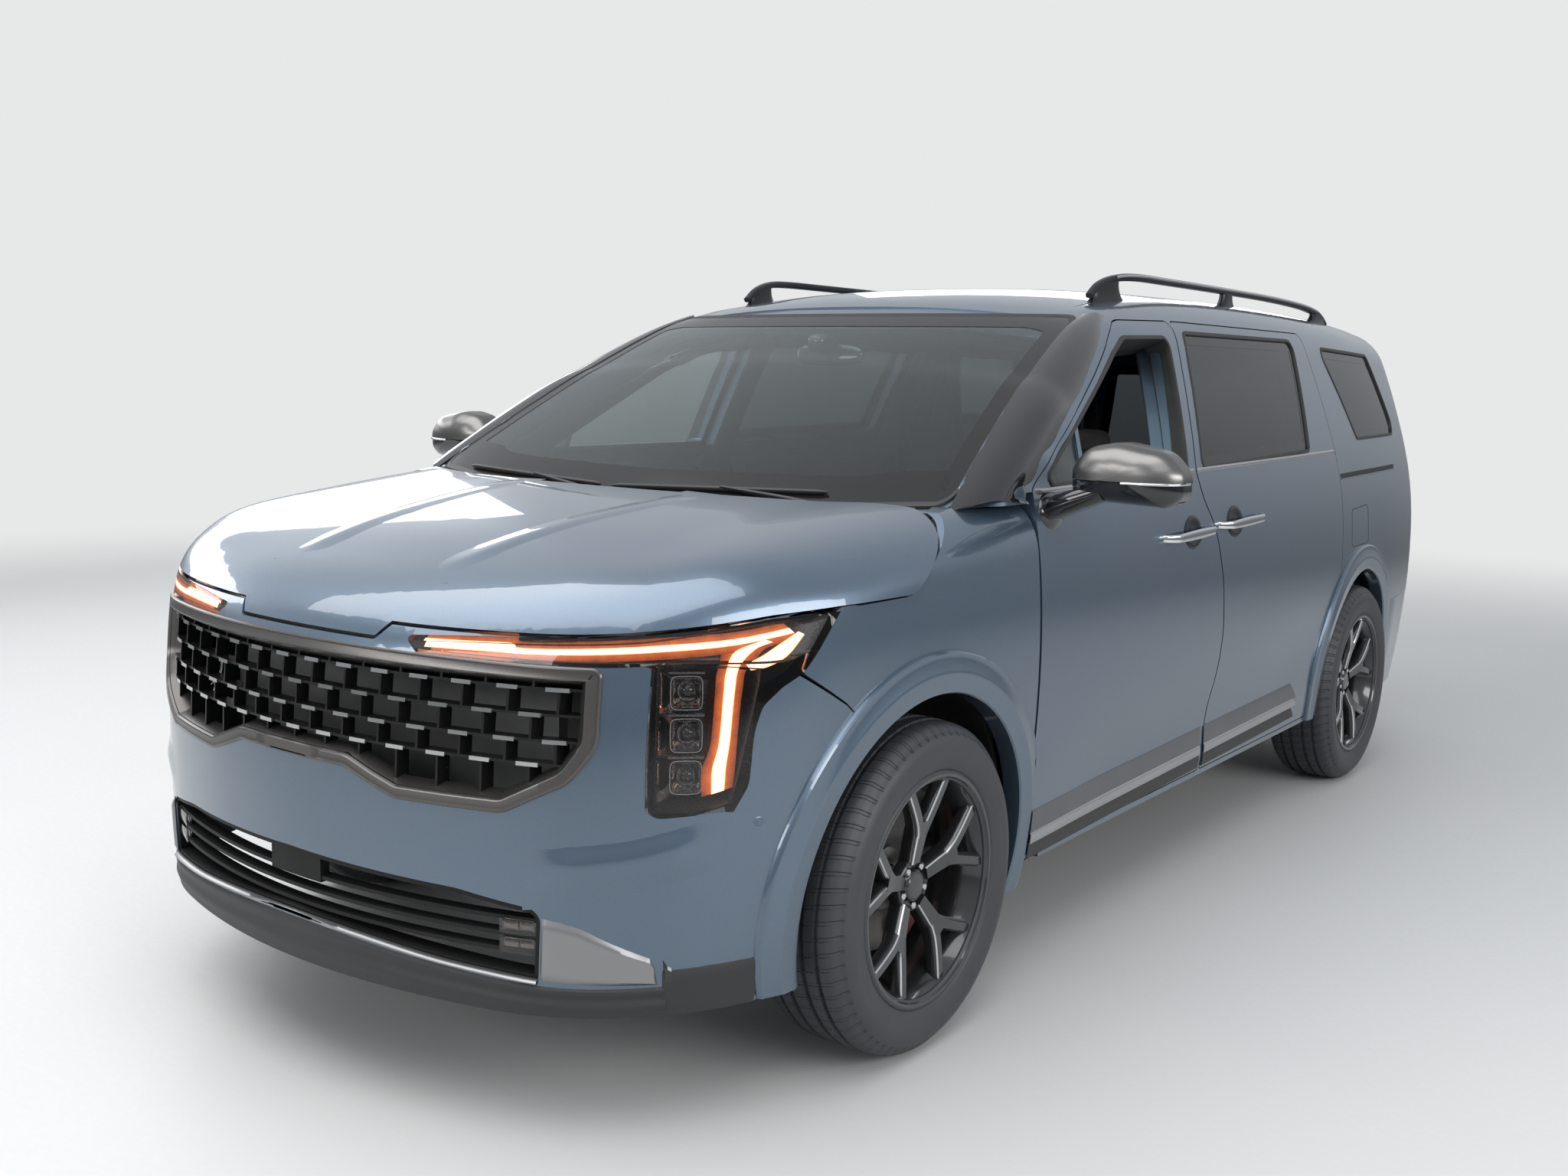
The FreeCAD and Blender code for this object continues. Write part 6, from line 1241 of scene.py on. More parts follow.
def hood_end(x):
    """Where the hood's rear edge lies, bowed forward in the middle."""
    return -1.650 + .152 * np.abs(x / .827) ** 2.2


def cowl_panel():
    """Ruled strip: from just behind the hood, down into a shallow gutter, up to the glass; ribs across its middle."""
    x = np.linspace(-.735, .735, 161)
    front = np.stack([x, hood_end(x) + .012 + .030 * ease((np.abs(x) - .45) / .25), 1.1430 + 0 * x], -1)
    front[:, 2] = land(front_gap, front, UPWARD)[:, 2] - .016
    share = np.minimum(1, np.abs(x) / .858)
    edge = np.stack([x, 0 * x - 1.50, 1.1640 + .030 * share ** 2], -1)
    back = land(cabin_gap, edge, FORWARD)
    t = np.linspace(0, 1, 15)[None]
    sheet = front[:, None] * (1 - t[..., None]) + back[:, None] * t[..., None]
    dip = -.018 * np.sin(math.pi * np.clip(t / .75, 0, 1)) ** 1.2
    ribbed = ((t > .22) & (t < .68)) * (np.abs(x)[:, None] < .62)
    slots = .0035 * np.maximum(0, np.sin(x * 2 * math.pi / .020))[:, None] * ribbed
    sheet[..., 2] += dip - slots
    low = sheet - [0, 0, .004]
    return plate(sheet, low)


piece("cowl_panel", [cowl_panel()], PLASTIC_GRAIN, "body", crease=40)


def on_glass(points, lift):
    """Places on the windscreen in front view, moved back to the glass and lifted off it."""
    p = np.asarray(points, float)
    base = land(cabin_gap, np.stack([p[:, 0], -1.40 + 0 * p[:, 0], p[:, 1]], -1), FORWARD, .6)
    return base + outward(cabin_gap, base) * lift


def wiper_parts(tip, heel, pivot):
    """Blade along the glass with a spoiler ridge, an arm that tapers from its pivot to the blade, and its cap."""
    line = along((heel, ((heel[0] + tip[0]) / 2, (heel[1] + tip[1]) / 2 + .001), tip), 49)
    t = np.linspace(0, 1, 49)
    thin = .35 + .65 * np.minimum(1, np.minimum(t, 1 - t) / .04)
    blade = bar(on_glass(line, .0075), .0060 * thin, .0050 * thin, power=2.4, up=(0, -.5, .86))
    rubber = bar(on_glass(line, .0028), .0020 * thin, .0028 * thin, power=4, sides=12, up=(0, -.5, .86))
    middle = on_glass(line, .0125)[26]
    root = np.array([pivot[0], hood_end(pivot[0]) + .055, pivot[1]])
    bow = (root + middle) / 2 + np.array([0, -.006, .010])
    arm = bar(along((root, root * .75 + middle * .25 + [0, -.004, .010], bow, middle), 41),
              np.linspace(.0110, .0050, 41), np.linspace(.0065, .0030, 41),
              power=3.4, up=(0, -.7, .7))
    turn = circle(32)[:, None]
    profile = np.array(((.0001, .012), (.010, .011), (.015, .007), (.017, 0), (.016, -.020), (.0001, -.020)))
    cap = np.stack([root[0] + profile[:, 0] * np.cos(turn), root[1] + profile[:, 0] * np.sin(turn),
                    root[2] + profile[:, 1] + 0 * turn], -1)
    return [blade, rubber, arm, grid(cap, around=True)]


wipers = wiper_parts((.560, 1.1965), (-.060, 1.1790), (.640, 1.150))
wipers += wiper_parts((-.100, 1.1800), (-.690, 1.1930), (.030, 1.135))
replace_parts(piece("wiper_set", wipers, PLASTIC_GRAIN, "body", crease=40), "wipers")

# Roof rails: extruded aluminium bars on moulded feet, one along each side of the roof, screwed down at both ends.
# The bar is dark anodised with a bright machined strip along its outer side.
RAIL_DARK = finish("rail_anodised", (.030, .031, .033), (.045, .046, .049), (.28, .40), patch=6, grain=500, Metallic=.8)
RAIL_HALF = .660
RAIL_TOP = 1.7895


def roof_z(x, y):
    """Height of the roof at a place seen from above."""
    return land(cabin_gap, np.stack([x, y, 1.70 + 0 * x], -1), UPWARD)[..., 2]


def rail_path(count=121):
    """Rail in side view: up from a foot, level along the roof, and down to the rear foot in long soft bends."""
    p = along(((-.290, 1.722), (-.235, 1.757), (-.150, 1.7800), (-.03, 1.7885), (.20, RAIL_TOP), (.60, RAIL_TOP),
               (1.10, 1.7870), (1.45, 1.7780), (1.62, 1.764),
               (1.70, 1.748), (1.762, 1.722)), count)
    x = RAIL_HALF - .030 * ease((.0 - p[:, 0]) / .30)
    return np.stack([x, p[:, 0], p[:, 1]], -1)


rail = rail_path()
t = np.linspace(0, 1, len(rail))
swell = .75 + .25 * np.minimum(1, np.minimum(t, 1 - t) / .10)
rail_bar = bar(rail, .0115 * swell, .0150 * swell, power=3.2, sides=32)
strip_path = rail[8:-8] + [.0140, 0, .0045]
strip = bar(strip_path, .0040, .0022, power=2.6, sides=16)


def rail_foot(y0, y1, lean):
    """Foot under a rail: a tapered block from the roof to the bar, flared where it meets the roof."""
    s = np.linspace(0, 1, 9)[:, None]
    a = circle(40)[None]
    flare_out = 1 + .45 * (1 - s) ** 3
    e = 2 / 3.2
    c, q = shaped(np.cos(a), e), shaped(np.sin(a), e)
    middle, half = (y0 + y1) / 2, (y1 - y0) / 2
    y = middle + half * flare_out * c + lean * s
    height = np.interp(y, rail[:, 1], rail[:, 2])
    x = np.interp(y, rail[:, 1], rail[:, 0]) + .013 * flare_out * q
    low = roof_z(x, y) - .004
    z = low + (np.maximum(height, low + .002) - low) * s
    return grid(np.stack([x, y, z], -1).transpose(1, 0, 2), around=True)


feet = [rail_foot(-.27, -.14, 0), rail_foot(.66, .74, 0), rail_foot(1.60, 1.74, 0)]
rail_parts = [rail_bar] + feet
bars = piece("roof_rail_bars", both(rail_parts), RAIL_DARK, "body", crease=40)
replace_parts(bars, "roof_rails")
piece("roof_rail_strips", both([strip]), BRIGHT_METAL, "body")

# Seats: foam pads in sewn leather on moulded plinths; two in front, two in the second row and a bench for three behind.
# Each pad is a rounded closed form that the cloth simulation swells, then its seams and sewn channels are pressed in.
LEATHER = finish("seat_leather", (.150, .145, .138), (.185, .178, .170), (.42, .58), patch=6, grain=420, bump=.35,
                 distance=.0006)
SEAT_REACH = .022
SEAT_VOXEL = .011
SEAT_FRAMES = 20


def rounded(centre, half, power=4.0, count=14, lean=0.0):
    """Rounded block: a cube's grid scaled so that the sum of |x/a|^n over the axes is one, leant in side view."""
    s = np.tan(np.linspace(-1, 1, count) * math.pi / 4)
    u, v = np.meshgrid(s, s, indexing="ij")
    parts = []
    for axis in range(3):
        for sign in (1, -1):
            d = np.empty(u.shape + (3,))
            d[..., axis], d[..., (axis + 1) % 3], d[..., (axis + 2) % 3] = sign, u * sign, v
            d = unit(d)
            d = d / np.sum(np.abs(d) ** power, -1, keepdims=True) ** (1 / power) * half
            y, z = d[..., 1].copy(), d[..., 2].copy()
            d[..., 1], d[..., 2] = y * math.cos(lean) + z * math.sin(lean), z * math.cos(lean) - y * math.sin(lean)
            parts.append(grid(d + centre))
    return parts


def blocks(*shapes):
    """Several rounded blocks in one list of parts."""
    return [part for shape in shapes for part in rounded(*shape)]


def swollen(parts):
    """The pad after a voxel remesh and 20 frames of cloth under pressure, no point moved further than the cap."""
    pad = piece("pad_form", parts, LEATHER, "body")
    remesh = pad.modifiers.new("even", "REMESH")
    remesh.mode, remesh.voxel_size = "VOXEL", SEAT_VOXEL
    view = bpy.context.view_layer
    view.update()
    even = bpy.data.meshes.new_from_object(pad.evaluated_get(bpy.context.evaluated_depsgraph_get()))
    bpy.data.objects.remove(pad)
    start = np.empty(len(even.vertices) * 3)
    even.vertices.foreach_get("co", start)
    start = start.reshape(-1, 3)
    faces = np.array([list(p.vertices) for p in even.polygons])
    soft = bpy.data.objects.new("pad_soft", even)
    scene.collection.objects.link(soft)
    cloth = soft.modifiers.new("cloth", "CLOTH")
    cloth.settings.quality = 4
    cloth.settings.use_pressure = True
    cloth.settings.uniform_pressure_force = 4.0
    cloth.settings.effector_weights.gravity = 0
    for number in range(1, SEAT_FRAMES + 1):
        scene.frame_set(number)
    end = np.empty(len(even.vertices) * 3)
    soft.evaluated_get(bpy.context.evaluated_depsgraph_get()).data.vertices.foreach_get("co", end)
    moved = end.reshape(-1, 3) - start
    size = np.maximum(np.linalg.norm(moved, axis=1, keepdims=True), 1e-9)
    start = start + moved / size * np.minimum(size, SEAT_REACH)
    scene.frame_set(1)
    bpy.data.objects.remove(soft)
    return start, faces


cushion = swollen(rounded((0, 0, 0), (.218, .200, .048), 4.5))
backrest = swollen(rounded((0, 0, 0), (.205, .038, .185), 4.5))
headrest = swollen(rounded((0, 0, 0), (.118, .036, .060), 3.2))


def groove(d, wide=.007):
    """Depth share of a sewn channel at a distance from its seam: a bell curve."""
    return np.exp(-(d / wide) ** 2)


def stitched(part, kind):
    """Presses seams in: two long channels beside the bolsters and cross channels, deeper where they cross."""
    points = part[0].copy()
    x, y, z = points.T
    if kind == "cushion":
        top = ease((z - .01) / .03)
        points[:, 2] += top * (.016 * ease((np.abs(x) - .13) / .07) - .010 * groove(np.abs(x) - .135)
                               - .006 * groove(y - .10) * (np.abs(x) < .135)
                               - .006 * groove(y + .02) * (np.abs(x) < .135))
    if kind == "back":
        face = ease((-y - .008) / .02)
        points[:, 1] -= face * (.022 * ease((np.abs(x) - .12) / .07) - .010 * groove(np.abs(x) - .128)
                                - .006 * (groove(z - .11) + groove(z - .02) + groove(z + .07)) * (np.abs(x) < .128))
        points[:, 0] *= 1 - .16 * ease((z - .02) / .20)
    return points, part[1]


def placed(part, centre, lean, scale):
    """A pad scaled, leant in side view and carried to its place."""
    points = part[0] * scale
    y, z = points[:, 1].copy(), points[:, 2].copy()
    c, s = math.cos(lean), math.sin(lean)
    return np.stack([points[:, 0], y * c + z * s, z * c - y * s], -1) + centre, part[1]


seat_cushion, seat_back = stitched(cushion, "cushion"), stitched(backrest, "back")


def seat(name, x, front, size, base, wide, node):
    """One seat in the solid's space: cushion, back and headrest as padded pieces, set out along its side view."""
    k = size / .640
    across = wide / .25
    up = .92 * size
    for label, part, at, lean, scale in (
            ("cushion", seat_cushion, (.385, .345), -.04, (across, k * 1.02, k)),
            ("back", seat_back, (.765, .800), .32, (across, k, k)),
            ("headrest", headrest, (.955, 1.125), .20, (min(across, 1), k, k))):
        centre = np.array([x, front + at[0] * size, base + at[1] * up])
        pad = piece("seat_" + name + "_" + label, [placed(part, centre, lean, np.array(scale))], LEATHER, "body",
                    subdivide=1, crease=180)
        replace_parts(pad, node)
    plinth = []
    for side in (-1, 1):
        plinth += rounded((x + side * .205 * across, front + .40 * size, base + .125 * up),
                          (.022, .36 * size, .105 * up), 5, 9)
    plinth += rounded((x, front + .42 * size, base + .19 * up), (.19 * across, .30 * size, .022), 5, 9)
    return plinth


plinths = []
for number, x in (("left", .380), ("right", -.380)):
    plinths += seat("front_" + number, x, -.560, .640, .360, .25, "front_seats")
    plinths += seat("middle_" + number, x, .330, .620, .360, .25, "second_row_seats")
for number, x in (("left", .383), ("centre", 0), ("right", -.383)):
    plinths += seat("rear_" + number, x, 1.330, .600, .590, .19, "third_row_seat")
piece("seat_plinths", plinths, PLASTIC_GRAIN, "body")
posts = [bar(along(((x + s, y, z), (x + s, y + .012, z + .075)), 7), .006, .006, power=2, up=(1, 0, 0))
         for x, y, z in ((.380, .035, .905), (-.380, .035, .905), (.380, .907, .885), (-.380, .907, .885),
                         (.383, 1.888, 1.098), (0, 1.888, 1.098), (-.383, 1.888, 1.098))
         for s in (-.045, .045)]
piece("headrest_posts", posts, CHROME, "body")

# Cabin trim: a soft-skinned dash with a screen, vents and hooded dials, a leather steering wheel and a centre console.
# The roof lining, door cards and interior mirror are moulded boards clipped to the shell.
SOFT_TRIM = finish("soft_trim", (.022, .022, .023), (.032, .032, .033), (.50, .66), patch=10, grain=600, bump=.3,
                   distance=.0005)
LINING = finish("roof_lining", (.20, .195, .19), (.24, .235, .23), (.8, .9), patch=8, grain=900, bump=.3)
SCREEN_GLASS = finish("screen_glass", (.006, .007, .009), (.010, .011, .013), (.05, .10), patch=6, grain=300,
                      Coat_Weight=1.0)
WHEEL_AT = np.array([.380, -.800, 1.000])
WHEEL_AXIS = unit(np.array([0, 1.0, .45]))
dress(SOFT_TRIM, "dashboard")


def wheel_ring():
    """Torus about the column: the tube thickens at the thumb rests near a quarter to three."""
    a = circle(96)[:, None]
    b = circle(20)[None]
    rise = np.cross([1.0, 0, 0], WHEEL_AXIS)
    radial = np.cos(a)[..., None] * [1.0, 0, 0] + np.sin(a)[..., None] * rise
    tube = .0140 + .0022 * np.exp(-(np.abs(np.sin(a)) - .30) ** 2 / .02)
    centre = WHEEL_AT + .1800 * radial
    return grid(centre + tube[..., None] * (np.cos(b)[..., None] * radial + np.sin(b)[..., None] * WHEEL_AXIS),
                around=True, across=True)


def turned_pad(half, power, shift=(0, 0, 0)):
    """Rounded block square to the steering column, shifted across it."""
    return [(p @ np.stack([np.array([1.0, 0, 0]), WHEEL_AXIS, np.cross([1.0, 0, 0], WHEEL_AXIS)]) + WHEEL_AT, f)
            for p, f in ((q + np.array(shift), f) for q, f in rounded((0, 0, 0), half, power, 10))]


steering = [wheel_ring()]
for pad in (((.062, .022, .050), 3.4, (0, -.022, 0)), ((.095, .009, .017), 4, (.088, -.010, .004)),
            ((.095, .009, .017), 4, (-.088, -.010, .004)), ((.020, .009, .080), 4, (0, -.012, -.090))):
    steering += turned_pad(*pad)
column = along((WHEEL_AT - WHEEL_AXIS * .030, WHEEL_AT - WHEEL_AXIS * .088), 9)
steering.append(bar(column, .030, .038))
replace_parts(piece("steering_wheel_trimmed", steering, LEATHER, "body"), "steering_wheel")

dash_top = blocks(((.380, -1.020, 1.112), (.170, .085, .022), 3.2, 14),
                  ((0, -.925, 1.052), (.155, .008, .062), 7, 12, .18))
piece("dash_hoods", dash_top, SOFT_TRIM, "body")
piece("dash_screen", rounded((0, -.9165, 1.0535), (.148, .004, .055), 9, 12, .18), SCREEN_GLASS, "body")
piece("dash_dials", rounded((.380, -.945, 1.085), (.135, .006, .030), 6, 12, .25), SCREEN_GLASS, "body")
vent_frames, vent_slats = [], []
for x in (-.640, -.215, .215, .640):
    for step in range(5):
        vent_slats += rounded((x, -.888, .958 + step * .010), (.052, .010, .0016), 4, 6, .25)
    ring = circle(60)
    path = np.stack([x + .060 * shaped(np.cos(ring), .5), -.886 + 0 * ring, .978 + .030 * shaped(np.sin(ring), .5)], -1)
    b = circle(8)
    away = unit(path - [x, -.886, .978])
    section = np.cos(b)[None, :, None] * away[:, None] + np.sin(b)[None, :, None] * np.array([0, 1.0, 0])
    vent_frames.append(grid(path[:, None] + .004 * section, around=True, across=True))
piece("dash_vent_slats", vent_slats, PLASTIC_GRAIN, "body")
piece("dash_vent_frames", vent_frames, SATIN_SILVER, "body")
console = blocks(((0, -.62, .600), (.110, .265, .050), 4, 16), ((0, -.62, .475), (.095, .250, .120), 5, 12),
                 ((0, -.470, .665), (.085, .110, .022), 3.4, 12))
piece("centre_console", console, SOFT_TRIM, "body")


def lining():
    """Board under the roof, following it at a depth."""
    x = np.linspace(-.675, .675, 61)[:, None]
    y = np.linspace(-.42, 2.02, 97)[None]
    seats = np.stack([x + 0 * y, y + 0 * x, 1.70 + 0 * x + 0 * y], -1)
    return skin(cabin_gap, seats, UPWARD, -.042, .004)


piece("roof_lining_board", [lining()], LINING, "body")


def door_card(y0, y1, z0, z1, depth):
    """Board inside a door: it follows the side at a depth, with an arm rest swelling inward and a pocket below."""
    y = np.linspace(y0, y1, 61)[:, None]
    z = np.linspace(z1, z0, 41)[None]
    rest = .034 * ease((z - .800) / .05) * ease((.900 - z) / .04) * ease((y - y0) / .10) * ease((y1 - y) / .10)
    pocket = .022 * ease((z - z0 - .02) / .04) * ease((.600 - z) / .05)
    pocket = pocket * ease((y - y0 - .1) / .08) * ease((y1 - y - .1) / .08)
    seats = np.stack([SIDE_START + 0 * y + 0 * z, y + 0 * z, z + 0 * y], -1)
    return skin(cabin_gap, seats, SIDEWAYS, -depth - rest - pocket, .004)


door_pair("door_card", door_card(-1.02, -.22, .470, 1.150, .062), SOFT_TRIM)
slider_card = door_card(.06, 1.06, .470, 1.150, .066)
piece("slider_cards", both([slider_card]), SOFT_TRIM, "body")
DOOR_EDGE = ((-1.180, .322, .020), (-1.180, 1.218, .010), (-.520, 1.592, .090), (-.410, 1.646, .140),
             (-.072, 1.656, .025), (-.172, 1.225, .010), (-.150, 1.150, .2), (-.075, 1.060, .3), (-.020, .900, .4),
             (0, .750, .4), (-.010, .600, .4), (-.030, .437, .3), (-.048, .322, .015))
SLIDER_EDGE = ((-.041, .322, .015), (-.023, .437, .3), (-.003, .600, .4), (.007, .750, .4), (-.013, .900, .4),
               (-.068, 1.060, .3), (-.143, 1.150, .2), (-.165, 1.225, .010), (-.065, 1.656, .025), (1.086, 1.660, .030),
               (1.148, 1.262, .020), (1.160, 1.100, .060), (1.156, .900, .060), (1.150, .322, .010))
APERTURE = ((.036, -.0685), (.0430, -.0680), (.0450, -.0710), (.0455, -.090), (.0450, -.1120), (.0, -.1135),
            (-.040, -.1135), (-.046, -.1120), (-.048, -.104))
LEAF_LINER = ((-.0020, -.0632), (-.0040, -.0648), (-.020, -.0652), (-.042, -.0648), (-.044, -.0618))
QUARTER_LINER = ((.0020, -.0160), (.0024, -.060), (.0020, -.1110), (-.002, -.1135), (-.040, -.1140), (-.075, -.1135),
                 (-.080, -.104))
LINER_THICK = .0012
SLIDER_RETURN = ((.0020, -.0160), (.0024, -.036), (.0026, -.058), (.0024, -.0632), (-.004, -.0640))


HINGED_TOP, HINGED_REACH, HINGED_CLEAR = 1.29, -1.12, -1.190


def tucked(part):
    """Draws the seal's front upright ahead of what the door's hinged edge sweeps, easing back at the pillar's foot."""
    points = part[0].copy()
    share = ease((HINGED_TOP - points[:, 2]) / .07) * (points[:, 1] < HINGED_REACH)
    points[:, 1] += share * (np.minimum(points[:, 1], HINGED_CLEAR) - points[:, 1])
    return points, part[1]


apertures = [side_band(edge, APERTURE, LINER_THICK, 300) for edge in (DOOR_EDGE, SLIDER_EDGE)]
apertures[0] = tucked(apertures[0])
piece("door_aperture_trims", both(apertures), SEAL_RUBBER, "body")
door_liner = side_band(DOOR_WINDOW, LEAF_LINER, LINER_THICK)
door_pair("door_frame_liner", door_liner, SOFT_TRIM)
liners = [side_band(edge, steps, LINER_THICK)
          for edge, steps in ((SLIDER_WINDOW, LEAF_LINER), (SLIDER_WINDOW, SLIDER_RETURN),
                              (QUARTER_WINDOW, QUARTER_LINER))]
piece("side_window_liners", both(liners), SOFT_TRIM, "body")
mirror_case = blocks(((.0, -.690, 1.535), (.118, .018, .032), 3.4, 12, .20),
                     ((0, -.735, 1.565), (.030, .040, .028), 3.4, 9))
piece("interior_mirror_case", mirror_case, GLOSS_BLACK, "body")
piece("interior_mirror_glass", rounded((0, -.6735, 1.532), (.108, .0025, .026), 5, 10, .20), CHROME, "body")

# Pressed creases: folds in the hood and at the bumper's corners where the sheet changes slope.
# Each is a strip of the same painted metal: one side rises gently and the other drops back to the skin.
FOLD_SHAPE = (-.0006, .0004, .0014, .0026, .0036, .0040, .0032, .0016, .0002, -.0006)


def fold(gap, points, way, wide, tall, flip=1, count=81, fade=.16):
    """Crease along a path on the body: a skewed ridge whose height fades out at both ends."""
    p = land(gap, along(points, count), way)
    normal = outward(gap, p)
    side = np.cross(unit(np.gradient(p, axis=0)), normal)
    s = np.linspace(-.72, .28, len(FOLD_SHAPE))[None, :, None] * wide * flip
    seats = p[:, None] + side[:, None] * s
    t = np.linspace(0, 1, count)[:, None]
    height = np.array(FOLD_SHAPE)[None] / .0040 * tall * ease(np.minimum(t, 1 - t) / fade) - .0006
    return skin(gap, seats, way, height, .0012)


HOOD_FOLD = ((.250, -2.400, 1.035), (.262, -2.25, 1.07), (.285, -2.00, 1.13), (.310, -1.80, 1.17), (.325, -1.62, 1.18))
BUMPER_FOLD = ((.560, -2.47, .552), (.648, -2.443, .566), (.700, -2.405, .574), (.765, -2.353, .586),
               (.820, -2.290, .606), (.868, -2.220, .627))
hood_fold = fold(front_gap, HOOD_FOLD, UPWARD, .120, .0040)
corner_fold = fold(front_gap, BUMPER_FOLD, (.45, -.9, 0), .130, .0085, -1, fade=.30)
piece("hood_folds", both([hood_fold]), PAINT, "hood", crease=70)
piece("bumper_folds", both([corner_fold]), PAINT, "body", crease=70)

# Sills: a satin moulding pressed over the foot of each door, with a bright lip, above a dark grained skirt.
# It stops short of the rear wheel, and it is split where the front door ends.
SILL_RISE = .0175
SILL_SATIN = finish("sill_satin", (.135, .140, .150), (.165, .170, .180), (.30, .42), patch=5, grain=700, Metallic=.75)
SATIN_ROWS = ((.438, -.0012), (.436, .0022), (.430, .0034), (.410, .0040), (.386, .0044), (.380, .0040))
LIP_ROWS = ((.381, .0036), (.378, .0062), (.372, .0072), (.358, .0074), (.352, .0062), (.350, .0030))
SKIRT_ROWS = ((.351, .0028), (.347, .0046), (.330, .0050), (.318, .0044), (.312, .0030), (.309, -.0012))


def side_panel(y0, y1, rows, slant=0.0, count=121):
    """Moulding on the lower side: (height, lift) rows from top to bottom, climbing gently to the rear."""
    z, lift = np.array(rows).T
    t = np.linspace(0, 1, count)[:, None]
    end = y1 + slant * (z[None] - z[-1])
    y = y0 + (end - y0) * t
    seats = np.stack([SIDE_START + 0 * y, y, z[None] + SILL_RISE * (y + 1.09)], -1)
    return skin(cabin_gap, seats, SIDEWAYS, lift, .0022)


for label, y0, y1, slant, where in (("door", -1.150, -.062, .05, ("door_left", "door_right")),
                                    ("slider", -.030, .800, -1.1, ("body", "body"))):
    for kind, rows, material, slot in (("satin", SATIN_ROWS, SILL_SATIN, "satin_metal"),
                                       ("lip", LIP_ROWS, SATIN_SILVER, "satin_metal"),
                                       ("skirt", SKIRT_ROWS, PLASTIC_GRAIN, "black_plastic")):
        panel = side_panel(y0, y1, rows, slant)
        piece("sill_" + kind + "_" + label + "_left", [panel], material, where[0])
        piece("sill_" + kind + "_" + label + "_right", [mirrored(panel)], material, where[1])

# Windscreen pillars: gloss black covers clipped over the steel between the glass and the front doors.
# Each is one moulding, crowned across and tucked under the edges of the glass and the door frame.


def pillar_cover():
    """Ruled sheet between the glass edge and the door's frame, landed on the body and crowned across."""
    glass_edge = land(cabin_gap, screen_place(along(((.868, 1.172), (.7065, 1.658)), 81, smooth=False)), FORWARD,
                      SCREEN_REACH)
    door_edge = land(cabin_gap, side_place(along(((-1.200, 1.186), (-1.194, 1.222), (-.868, 1.412), (-.535, 1.603),
                                                  (-.425, 1.656)), 81)), SIDEWAYS)
    s = np.linspace(0, 1, 9)[None, :, None]
    seats = glass_edge[:, None] * (1 - s) + door_edge[:, None] * s
    lift = (.0030, .0060, .0078, .0088, .0092, .0088, .0074, .0050, -.001)
    return skin(cabin_gap, seats, (.75, -.5, .45), lift, .005)


cover = pillar_cover()
piece("pillar_covers", both([cover]), GLOSS_BLACK, "body")

# Tail lamps: clear red lenses over black housings, with glowing guides inside.
# A lit bar runs across the liftgate between the two corner lamps.
RED_LENS = glass("red_lens", (.55, .012, .012), (.45, .010, .010), .02, .8)
RED_GLOW = finish("red_guide", (.50, .02, .02), (.42, .015, .015), (.25, .35), patch=6, grain=300,
                  Emission_Color=(1, .05, .03, 1), Emission_Strength=1.2)
dress(RED_LENS, "tail_lamps", "liftgate_lamp")


def tail_strip(x0, x1, z0, z1, lift, thick, count=81):
    """Strip on the tail between two places in rear view, following it at a height."""
    x = np.linspace(x0, x1, count)[:, None]
    z = np.linspace(z1, z0, 7)[None]
    return skin(cabin_gap, np.stack([x + 0 * z, 2.35 + 0 * x + 0 * z, z + 0 * x], -1), REARWARD, lift, thick)


def corner_strip(z0, z1, y0, y1, lift, thick):
    """Strip round the rear corner between two heights, following the side at a height."""
    y = np.linspace(y0, y1, 41)[:, None]
    z = np.linspace(z1, z0, 9)[None]
    return skin(cabin_gap, np.stack([.80 + 0 * y + 0 * z, y + 0 * z, z + 0 * y], -1), SIDEWAYS, lift, thick)


bar_guide = tail_strip(-.690, .690, 1.026, 1.044, -.006, .004)
piece("tail_bar_guide", [bar_guide], RED_GLOW, "liftgate")
bar_case = tail_strip(-.700, .700, 1.004, 1.066, -.016, .003)
piece("tail_bar_case", [bar_case], LAMP_BLACK, "liftgate")
side_guides = [corner_strip(1.020 + k * .044, 1.034 + k * .044, 2.345, 2.385, -.006, .004) for k in range(4)]
piece("tail_corner_guides", both(side_guides), RED_GLOW, "body")

# Liftgate and rear bumper: a black border printed round the glass, a spoiler lip, a wiper, a garnish bar with a grip,
# a recess for a plate that is left blank, reflectors and a grained lower skirt with a satin strip.


def rear_place(points):
    """(x, z) points as seats inside the tail, to be landed rearward."""
    return np.stack([points[:, 0], np.full(len(points), 2.2), points[:, 1]], -1)


gate_loop = loop(GATE_WINDOW, 300)
gate_pane = sheet(cabin_gap, grown(gate_loop, INSET), rear_place, REARWARD, -.0002)
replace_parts(piece("liftgate_pane", [gate_pane], PRIVACY_GLASS, "liftgate"), "liftgate_glass")
gate_border = band(cabin_gap, gate_loop, ((-.004, .0008), (.012, .0008), (.028, .0008), (.044, .0007), (.0445, .0002)),
                   rear_place, REARWARD, .0012)
piece("liftgate_glass_border", [gate_border], PRINT_BLACK, "liftgate")
gate_seal = band(cabin_gap, gate_loop, ((-.0090, -.003), (-.0075, .0014), (-.0035, .0022), (.0005, .0014),
                                        (.001, -.002)), rear_place, REARWARD, .002)
piece("liftgate_glass_seal", [gate_seal], SEAL_RUBBER, "liftgate")


def on_tail(points, lift):
    """Places on the tail in rear view, landed on it and lifted off."""
    p = np.asarray(points, float)
    base = land(cabin_gap, np.stack([p[:, 0], 2.25 + 0 * p[:, 0], p[:, 1]], -1), REARWARD)
    return base + outward(cabin_gap, base) * lift


